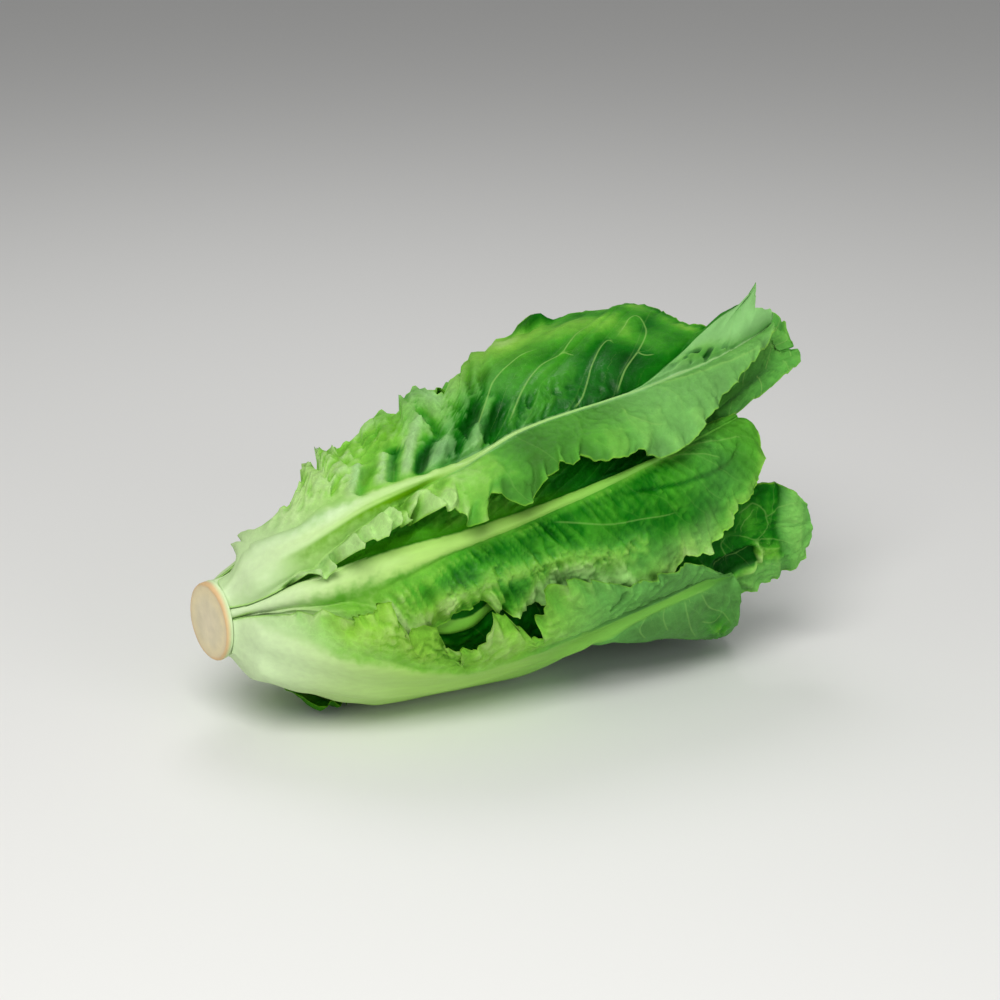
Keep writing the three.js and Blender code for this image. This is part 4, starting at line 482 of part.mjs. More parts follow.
function leafMesh(leaf) {
  const rows = leaf.net.length, cols = leaf.net[0].length;
  const outer = [], inner = [];
  for (let i = 0; i < rows; i++) {
    const [rs, ra, rr] = leaf.net[i][leaf.ribColumn];
    const [half, standOut, standIn] = leaf.rib[i];
    for (let j = 0; j < cols; j++) {
      const [s, around, out] = leaf.net[i][j];
      const across = (((around - ra) * Math.PI) / 180) * ((out + rr) / 2);
      const g = ribProfile(Math.hypot(s - rs, across) / half);
      outer.push(place(s, around, out + standOut * g));
      inner.push(place(s, around, out - BLADE - standIn * g));
    }
  }
  const positions = [...outer, ...inner], n = rows * cols, faces = [];
  const at = (i, j) => i * cols + j;
  for (let i = 0; i < rows - 1; i++) {
    for (let j = 0; j < cols - 1; j++) {
      const a = at(i, j), b = at(i + 1, j), c = at(i + 1, j + 1), d = at(i, j + 1);
      if ((i + j) % 2) faces.push([a, b, c], [a, c, d], [n + a, n + c, n + b], [n + a, n + d, n + c]);
      else faces.push([a, b, d], [b, c, d], [n + a, n + d, n + b], [n + b, n + d, n + c]);
    }
  }
  const border = [];
  for (let j = 0; j < cols - 1; j++) border.push(at(0, j));
  for (let i = 0; i < rows - 1; i++) border.push(at(i, cols - 1));
  for (let j = cols - 1; j > 0; j--) border.push(at(rows - 1, j));
  for (let i = rows - 1; i > 0; i--) border.push(at(i, 0));
  border.forEach((a, k) => {
    const b = border[(k + 1) % border.length];
    faces.push([a, b, n + b], [a, n + b, n + a]);
  });
  return closedMesh(leaf.name, leaf.colour, positions, faces, 0.55);
}

// ---- stem: the cut face with its collar, and the core that the leaves grow around ----
function stemMesh() {
  const rings = [
    [CUT_BACK, CUT_RADIUS - 0.8], [CUT_BACK + 0.8, CUT_RADIUS], [CUT_COLLAR - 0.5, CUT_RADIUS], [CUT_COLLAR, CUT_RADIUS - 0.5],
    [CUT_COLLAR + 0.01, CORE_RADIUS + 0.2], [18, CORE_RADIUS - 0.5], [26, CORE_RADIUS - 1.7], [36, CORE_RADIUS - 2], [48, CORE_RADIUS - 2.7], [CORE_LENGTH - 2, 1.2], [CORE_LENGTH, 0.7],
  ];
  const positions = [], faces = [];
  for (const [s, r] of rings)
    for (let k = 0; k < STEM_SIDES; k++) positions.push(place(s, (k * 360) / STEM_SIDES, r));
  const first = positions.push(place(CUT_BACK, 0, 0)) - 1, last = positions.push(place(CORE_LENGTH, 0, 0)) - 1;
  for (let k = 0; k < STEM_SIDES; k++) {
    const m = (k + 1) % STEM_SIDES;
    for (let i = 0; i < rings.length - 1; i++) {
      const a = i * STEM_SIDES + k, b = i * STEM_SIDES + m, c = a + STEM_SIDES, d = b + STEM_SIDES;
      faces.push([a, c, b], [b, c, d]);
    }
    const e = (rings.length - 1) * STEM_SIDES;
    faces.push([first, k, m], [last, e + m, e + k]);
  }
  return closedMesh('stem', '#e6d9b8', positions, faces, 0.6);
}

const head = new THREE.Group();
head.name = 'romaine_lettuce_head';
head.add(stemMesh());
for (const leaf of LEAVES) head.add(leafMesh(leaf));

// the origin is the middle of the head's box, on the surface it lies on
const box = new THREE.Box3().setFromObject(head);
const shift = [-(box.min.x + box.max.x) / 2, -(box.min.y + box.max.y) / 2, -box.min.z];
for (const mesh of head.children) mesh.geometry.translate(...shift);

export default head;
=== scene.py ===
import bpy
from mathutils import Matrix
import math
import numpy as np


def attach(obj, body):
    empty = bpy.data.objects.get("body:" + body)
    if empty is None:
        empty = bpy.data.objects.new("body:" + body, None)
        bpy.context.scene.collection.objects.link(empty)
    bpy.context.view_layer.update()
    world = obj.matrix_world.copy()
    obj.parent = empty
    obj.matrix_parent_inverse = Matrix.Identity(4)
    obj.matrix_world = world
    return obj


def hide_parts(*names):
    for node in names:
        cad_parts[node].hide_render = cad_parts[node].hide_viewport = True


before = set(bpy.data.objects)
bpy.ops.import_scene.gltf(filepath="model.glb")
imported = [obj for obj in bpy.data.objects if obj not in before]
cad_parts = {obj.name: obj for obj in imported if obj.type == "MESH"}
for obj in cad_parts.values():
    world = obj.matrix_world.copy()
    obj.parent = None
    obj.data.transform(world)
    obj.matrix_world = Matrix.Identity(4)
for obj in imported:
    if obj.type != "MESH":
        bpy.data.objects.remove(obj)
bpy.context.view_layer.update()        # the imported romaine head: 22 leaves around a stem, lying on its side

# ---- dimensions, in millimetres unless said; the same figures as the CAD leaves ----
SCALE = 1.06
AXIS_LOW, AXIS_RISE, AXIS_SPAN = 51.0, 21.0, 95.0
SHIFT = (-148.4, 1.6562, 0.0164)
SKIRT = 1.7                    # a rib has blended into the blade at this many half widths
CLEAR = 0.55                   # least gap that one leaf keeps to the next
START = 2.27                    # where the outer leaves' bases begin, just past the stem's collar
RIB_EDGE = {                   # where the ribs that show end: place along the rib, then the share of the way to the upper and to the lower margin
    "upper_front_leaf": ([0, 6, 13, 26, 39, 57, 74, 94, 120, 150, 282],
                         [0.42, 0.38, 0.34, 0.34, 0.28, 0.18, 0.12, 0.070, 0.024, 0.016, 0.014],
                         [0.84, 0.88, 0.90, 0.84, 0.68, 0.54, 0.37, 0.12, 0.036, 0.024, 0.020]),
    "centre_front_leaf": ([0, 8, 17, 31, 51, 74, 96, 118, 148, 178, 216, 248],
                          [0.5, 0.30, 0.16, 0.12, 0.13, 0.12, 0.09, 0.085, 0.070, 0.055, 0.040, 0.03],
                          [1.0, 1.0, 0.98, 0.80, 0.44, 0.20, 0.125, 0.075, 0.042, 0.032, 0.026, 0.022]),
    "lower_front_leaf": ([0, 7, 12, 24, 43, 70, 100, 127, 150, 170, 185, 214, 243],
                         [1.0, 0.95, 0.82, 0.62, 0.47, 0.37, 0.30, 0.23, 0.18, 0.13, 0.10, 0.06, 0.04],
                         [1.4, 1.4, 1.4, 1.4, 1.4, 1.4, 1.4, 1.2, 0.85, 0.45, 0.17, 0.08, 0.05]),
    "mid_front_low_leaf": ([0, 40, 90, 130, 180, 230, 270],
                           [0.30, 0.12, 0.075, 0.06, 0.045, 0.035, 0.02],
                           [0.30, 0.14, 0.085, 0.06, 0.045, 0.035, 0.02])}


def axis_height(s):
    return AXIS_LOW + AXIS_RISE * (1 - np.exp(-np.maximum(s, 0) / AXIS_SPAN))


def place(s, around, out):
    """head coordinates (along, around in degrees, out) to metres in the part's frame"""
    t = np.radians(around)
    return np.stack([SCALE * s + SHIFT[0] + 0 * out, -SCALE * out * np.sin(t) + SHIFT[1],
                     SCALE * (axis_height(s) + out * np.cos(t)) + SHIFT[2]], -1) / 1000


# ---- camera ----
AZ, EL = math.radians(-31.0), math.radians(20.0)
BACK = np.array([math.sin(AZ) * math.cos(EL), -math.cos(AZ) * math.cos(EL), math.sin(EL)])
RIGHT = np.cross(-BACK, [0, 0, 1.0])
RIGHT /= np.linalg.norm(RIGHT)
UP = np.cross(RIGHT, -BACK)
EYE = (SCALE * np.array([-406.6135, -914.788, 467.4432]) + np.array(SHIFT)) / 1000
FOCAL = 90.989


def frame_of(p):
    """where a point lands in the 1000 x 1000 frame"""
    d = p - EYE
    z = -(d @ BACK)
    k = FOCAL / 36 * 1000
    return 500 + k * (d @ RIGHT) / z, 500 - k * (d @ UP) / z


# ---- noise ----
def _hash(ix, iy, seed):
    n = (ix.astype(np.int64) * 374761393 + iy.astype(np.int64) * 668265263 + seed * 974634777) & 0xFFFFFFFF
    n = ((n ^ (n >> 13)) * 1274126177) & 0xFFFFFFFF
    n = ((n ^ (n >> 15)) * 2246822519) & 0xFFFFFFFF
    return ((n ^ (n >> 16)) & 0xFFFFFF) / float(0xFFFFFF)


def noise(x, y, seed=0):
    """gradient noise, about -1 to 1"""
    x, y = np.broadcast_arrays(np.asarray(x, float), np.asarray(y, float))
    ix, iy = np.floor(x), np.floor(y)
    fx, fy = x - ix, y - iy
    ix, iy = ix.astype(np.int64), iy.astype(np.int64)
    wx, wy = fx ** 3 * (fx * (fx * 6 - 15) + 10), fy ** 3 * (fy * (fy * 6 - 15) + 10)

    def corner(i, j):
        a = 2 * np.pi * _hash(ix + i, iy + j, seed)
        return np.cos(a) * (fx - i) + np.sin(a) * (fy - j)
    a, b, c, d = corner(0, 0), corner(1, 0), corner(0, 1), corner(1, 1)
    return 1.5 * (a * (1 - wx) * (1 - wy) + b * wx * (1 - wy) + c * (1 - wx) * wy + d * wx * wy)


def fbm(x, y, seed=0, octaves=3, gain=0.5):
    t, k, f, n = 0, 1.0, 1.0, 0
    for i in range(octaves):
        t = t + k * noise(x * f + 17.3 * i, y * f - 9.1 * i, seed + i)
        n += k
        k *= gain
        f *= 2.03
    return t / n


def cells(x, y, seed=0, jitter=0.85):
    """distance to the nearest and second nearest of scattered points, one to a unit cell, and the nearest one's number 0 to 1"""
    x, y = np.broadcast_arrays(np.asarray(x, float), np.asarray(y, float))
    ix, iy = np.floor(x).astype(np.int64), np.floor(y).astype(np.int64)
    f1, f2, own = np.full(x.shape, 9.0), np.full(x.shape, 9.0), np.zeros(x.shape)
    for a in (-1, 0, 1):
        for b in (-1, 0, 1):
            px = ix + a + 0.5 + jitter * (_hash(ix + a, iy + b, seed) - 0.5)
            py = iy + b + 0.5 + jitter * (_hash(ix + a, iy + b, seed + 7) - 0.5)
            d = np.hypot(x - px, y - py)
            near = d < f1
            f2 = np.where(near, f1, np.minimum(f2, d))
            own = np.where(near, _hash(ix + a, iy + b, seed + 13), own)
            f1 = np.where(near, d, f1)
    return f1, f2, own


def step(a, b, x):
    t = np.clip((x - a) / (b - a), 0, 1)
    return t * t * (3 - 2 * t)


def bump(x, centre, width):
    return np.exp(-((x - centre) / width) ** 2)


# ---- curves through tables ----
def along_rows(a, at):
    """Catmull-Rom through the rows of a, at fractional row numbers"""
    n = len(a)
    e = np.concatenate([2 * a[:1] - a[1:2], a, 2 * a[-1:] - a[-2:-1]], 0)
    i = np.minimum(at.astype(int), n - 2)
    f = (at - i).reshape([-1] + [1] * (a.ndim - 1))
    p0, p1, p2, p3 = e[i], e[i + 1], e[i + 2], e[i + 3]
    return p1 + 0.5 * f * (p2 - p0 + f * (2 * p0 - 5 * p1 + 4 * p2 - p3 + f * (3 * (p1 - p2) + p3 - p0)))


def metric(p, q):
    return np.hypot(p[..., 0] - q[..., 0], np.radians(p[..., 1] - q[..., 1]) * (p[..., 2] + q[..., 2]) / 2)


def across_rows(net, c, f_up, f_lo):
    """a smooth curve across each row, sampled at fractions of the way from the rib to each margin"""
    rib = net[:, c:c + 1]
    y = metric(net, rib)
    y[:, :c] *= -1
    for j in range(c + 1, net.shape[1]):
        y[:, j] = np.maximum(y[:, j], y[:, j - 1] + 1e-3)
    for j in range(c - 1, -1, -1):
        y[:, j] = np.minimum(y[:, j], y[:, j + 1] - 1e-3)
    h = np.diff(y, axis=1)[..., None]
    sl = np.diff(net, axis=1) / h
    m = np.empty_like(net)
    m[:, 1:-1] = (sl[:, :-1] * h[:, 1:] + sl[:, 1:] * h[:, :-1]) / (h[:, 1:] + h[:, :-1])
    m[:, 0], m[:, -1] = sl[:, 0], sl[:, -1]
    t = np.concatenate([y[:, :1] * f_up[::-1][None], y[:, -1:] * f_lo[None, 1:]], 1)
    k = np.clip((t[:, :, None] >= y[:, None, :]).sum(2) - 1, 0, net.shape[1] - 2)
    r = np.arange(len(net))[:, None]
    y0, hh = y[r, k], h[r, k, 0]
    f = ((t - y0) / hh)[..., None]
    p0, p1, m0, m1, hh = net[r, k], net[r, k + 1], m[r, k], m[r, k + 1], hh[..., None]
    p = (2 * f ** 3 - 3 * f ** 2 + 1) * p0 + (f ** 3 - 2 * f ** 2 + f) * hh * m0 + (3 * f ** 2 - 2 * f ** 3) * p1 + (f ** 3 - f ** 2) * hh * m1
    return p, t


class Leaf:
    """A leaf as a fine grid. p is (row, column, [along, around, out]) of its blade's outer face without its rib;
    x runs along the rib and y across it, in units of the tables; u and v are the same as fractions, v negative on the upper half."""

    def __init__(self, name, rows, cols, margin=2.0):
        t = TABLE[name]
        self.name, c = name, t["c"]
        net, rib, us = np.array(t["net"], float), np.array(t["rib"], float), np.array(t["u"], float)
        u = np.linspace(0, 1, rows)
        for key in ("up", "lo"):  # rows run through every corner of a traced margin
            if key in t:
                for q in np.array(t[key])[:, 0]:
                    i = int(np.argmin(abs(u - q)))
                    if 0 < i < rows - 1:
                        u[i] = q
        u = np.unique(u)
        at = np.interp(u, us, np.arange(len(us)))
        rough = along_rows(net, at)
        self.half, self.stand, self.inner = [np.interp(u, us, rib[:, k]) for k in range(3)]
        width = metric(rough[:, 0], rough[:, c]), metric(rough[:, -1], rough[:, c])
        share = np.mean(width[0]) / (np.mean(width[0]) + np.mean(width[1]))
        n_up = int(round(cols * min(max(share, 0.25), 0.75)))
        f = lambda n: np.linspace(0, 1, n) ** 1.0
        f_up, f_lo = f(n_up), f(cols - n_up + 1)
        self.p, _ = across_rows(rough, c, f_up, f_lo)
        self.c = n_up - 1
        start = self.p[:1, :, 0] - START       # the base comes up to the stem's collar
        self.p[..., 0] -= np.where(self.p[:1, :, 0] < 9, start, 0) * (1 - step(0, 0.05, u))[:, None]
        self.v = np.concatenate([-f_up[::-1], f_lo[1:]])[None] + 0 * self.p[..., 0]
        self.u = u[:, None] + 0 * self.v
        self.w = abs(self.v)
        for key, side in (("up", self.v < 0), ("lo", self.v > 0)):
            if key in t:
                m = np.array(t[key], float)
                d = np.stack([np.interp(u, m[:, 0], m[:, k]) for k in (1, 2, 3)], -1)
                d[0] = 0
                self.p += (self.w ** margin * side)[..., None] * d[:, None]
        self.p[..., 0] = np.maximum(self.p[..., 0], START)
        self.measure()
        self.shape0 = self.p.copy()
        self.h = np.zeros(self.u.shape)     # relief so far
        self.vein = np.zeros(self.u.shape)  # how much of a vein a point is, 0 to 1
        self.trace, self.tracew, self.tracek = self.vein + 90.0, self.vein + 0.4, self.vein + 0.0     # nearest drawn vein: signed distance, width, strength
        self.gloss = self.vein + 0.0
        self.tone = np.zeros(self.u.shape)  # darker above 0, lighter below
        self.pull = np.zeros(self.u.shape)  # moved straight towards the viewer's side, in units

    def measure(self):
        rib = self.p[:, self.c]
        self.d = metric(self.p, rib[:, None])
        self.y = self.d * np.sign(self.v)
        step_ = np.hypot(np.hypot(np.diff(rib[:, 0]), np.diff(rib[:, 2])), np.radians(np.diff(rib[:, 1])) * rib[1:, 2])
        self.x = np.concatenate([[0], np.cumsum(step_)])[:, None] + 0 * self.d
        self.near = self.d / self.half[:, None]
        self.g = rib_shape(self.near)
        if self.name in RIB_EDGE:
            at, up, lo = RIB_EDGE[self.name]
            self.near = self.w / np.where(self.v < 0, np.interp(self.x, at, up), np.interp(self.x, at, lo))
            if self.name != "lower_front_leaf":
                self.g = rib_shape(self.near)
        at = np.argsort(rib[:, 0])
        self.X = self.p[..., 0]       # along the head and around it, in units, square to each other
        self.Y = np.radians(self.p[..., 1] - np.interp(self.X, rib[at, 0], rib[at, 1])) * self.p[..., 2]
        dy = metric(self.p[:, 1:], self.p[:, :-1])
        self.to_edge = np.where(self.v < 0, np.cumsum(np.pad(dy, ((0, 0), (1, 0))), 1),
                                np.cumsum(np.pad(dy, ((0, 0), (0, 1)))[:, ::-1], 1)[:, ::-1])

    def join(self, reach=12.0, out_at=16.7):
        """bring the base's outer face to the collar's edge"""
        out, _ = self.faces()
        self.p[..., 2] += (out_at - out) * (1 - step(START + 0.5, reach, self.p[..., 0]))

    def side(self, upper):
        return np.where(self.v < 0, 1.0, 0.0) if upper else np.where(self.v > 0, 1.0, 0.0)

    def relief(self, h, vein=None):
        self.p[..., 2] += h
        self.h += h
        if vein is not None:
            self.vein = np.maximum(self.vein, vein)

    def faces(self):
        thick = 0.30 + 0.45 * (1 - self.w ** 3)
        out = self.p[..., 2] + self.stand[:, None] * self.g
        return out, self.p[..., 2] - thick - self.inner[:, None] * self.g


def rib_shape(x):
    """a round bar on a low skirt; x is 1 at the rib's edge"""
    bar = np.sqrt(np.clip(1 - (x / 1.15) ** 2, 0, 1))
    skirt = (np.cos(np.clip(x / SKIRT, 0, 1) * np.pi) + 1) / 2
    return np.clip(0.55 * bar + 0.45 * skirt, 0, 1)


# ---- what already lies outside: the least inner radius over along x around ----
NS, NT = 330, 720


class Room:
    def __init__(self):
        self.b = np.full((NS, NT), 1e3)

    def add(self, leaf):
        out, inn = leaf.faces()
        s, t, r = leaf.p[..., 0], leaf.p[..., 1], inn
        b = np.full((NS, NT), 1e3)
        half = 0.5 * np.minimum(np.maximum(np.pad(abs(np.diff(t, axis=1)), ((0, 0), (1, 0))), np.pad(abs(np.diff(t, axis=1)), ((0, 0), (0, 1)))), 6.0)
        for ds in (-0.5, 0, 0.5):
            for dt in (-1, -0.5, 0, 0.5, 1):
                i = np.clip(np.round(s + ds + 10).astype(int), 0, NS - 1)
                j = np.round(2 * (t + dt * half)).astype(int) % NT
                np.minimum.at(b, (i, j), r)
        e = np.concatenate([b[:, -1:], b, b[:, :1]], 1)
        e = np.pad(e, ((1, 1), (0, 0)), mode="edge")
        b = np.minimum.reduce([e[a:a + NS, k:k + NT] for a in range(3) for k in range(3)])
        self.b = np.minimum(self.b, b)

    def limit(self, s, t):
        i = np.clip(np.round(s + 10).astype(int), 0, NS - 1)
        return self.b[i, np.round(2 * t).astype(int) % NT]


def spread(a, n):
    """largest value within n cells, which stays at or above the first"""
    for axis in (0, 1):
        best = a
        for k in range(1, n + 1):
            for sgn in (-1, 1):
                best = np.maximum(best, shifted(a, sgn * k, axis))
        a = best
    return a


def shifted(a, k, axis):
    r = np.roll(a, k, axis)
    idx = [slice(None)] * 2
    if k > 0:
        idx[axis] = slice(0, k)
    else:
        idx[axis] = slice(k, None)
    r[tuple(idx)] = 0
    return r


def blur(a, n):
    for axis in (0, 1):
        k = np.hanning(2 * n + 3)[1:-1]
        k /= k.sum()
        pad = [(0, 0), (0, 0)]
        pad[axis] = (n, n)
        e = np.pad(a, pad, mode="edge")
        a = sum(w * np.take(e, np.arange(i, i + a.shape[axis]), axis) for i, w in enumerate(k))
    return a


def settle(leaf, room, clear=CLEAR, n=4):
    """press the leaf in until it clears what lies outside it, and the surface the head lies on"""
    worst = 0
    for it in range(10):
        out, inn = leaf.faces()
        lim = room.limit(leaf.p[..., 0], leaf.p[..., 1]) - clear
        cs = np.cos(np.radians(leaf.p[..., 1]))
        ground = np.where(cs < -0.05, (axis_height(leaf.p[..., 0]) - 0.05) / np.maximum(-cs, 0.05), 1e3)
        over = np.maximum(out - np.minimum(lim, ground), 0)
        worst = over.max()
        if worst < 0.03:
            break
        leaf.p[..., 2] -= np.maximum(blur(spread(over, n), n), over)
        leaf.p[..., 2] = np.maximum(leaf.p[..., 2], 2.0)
    return worst


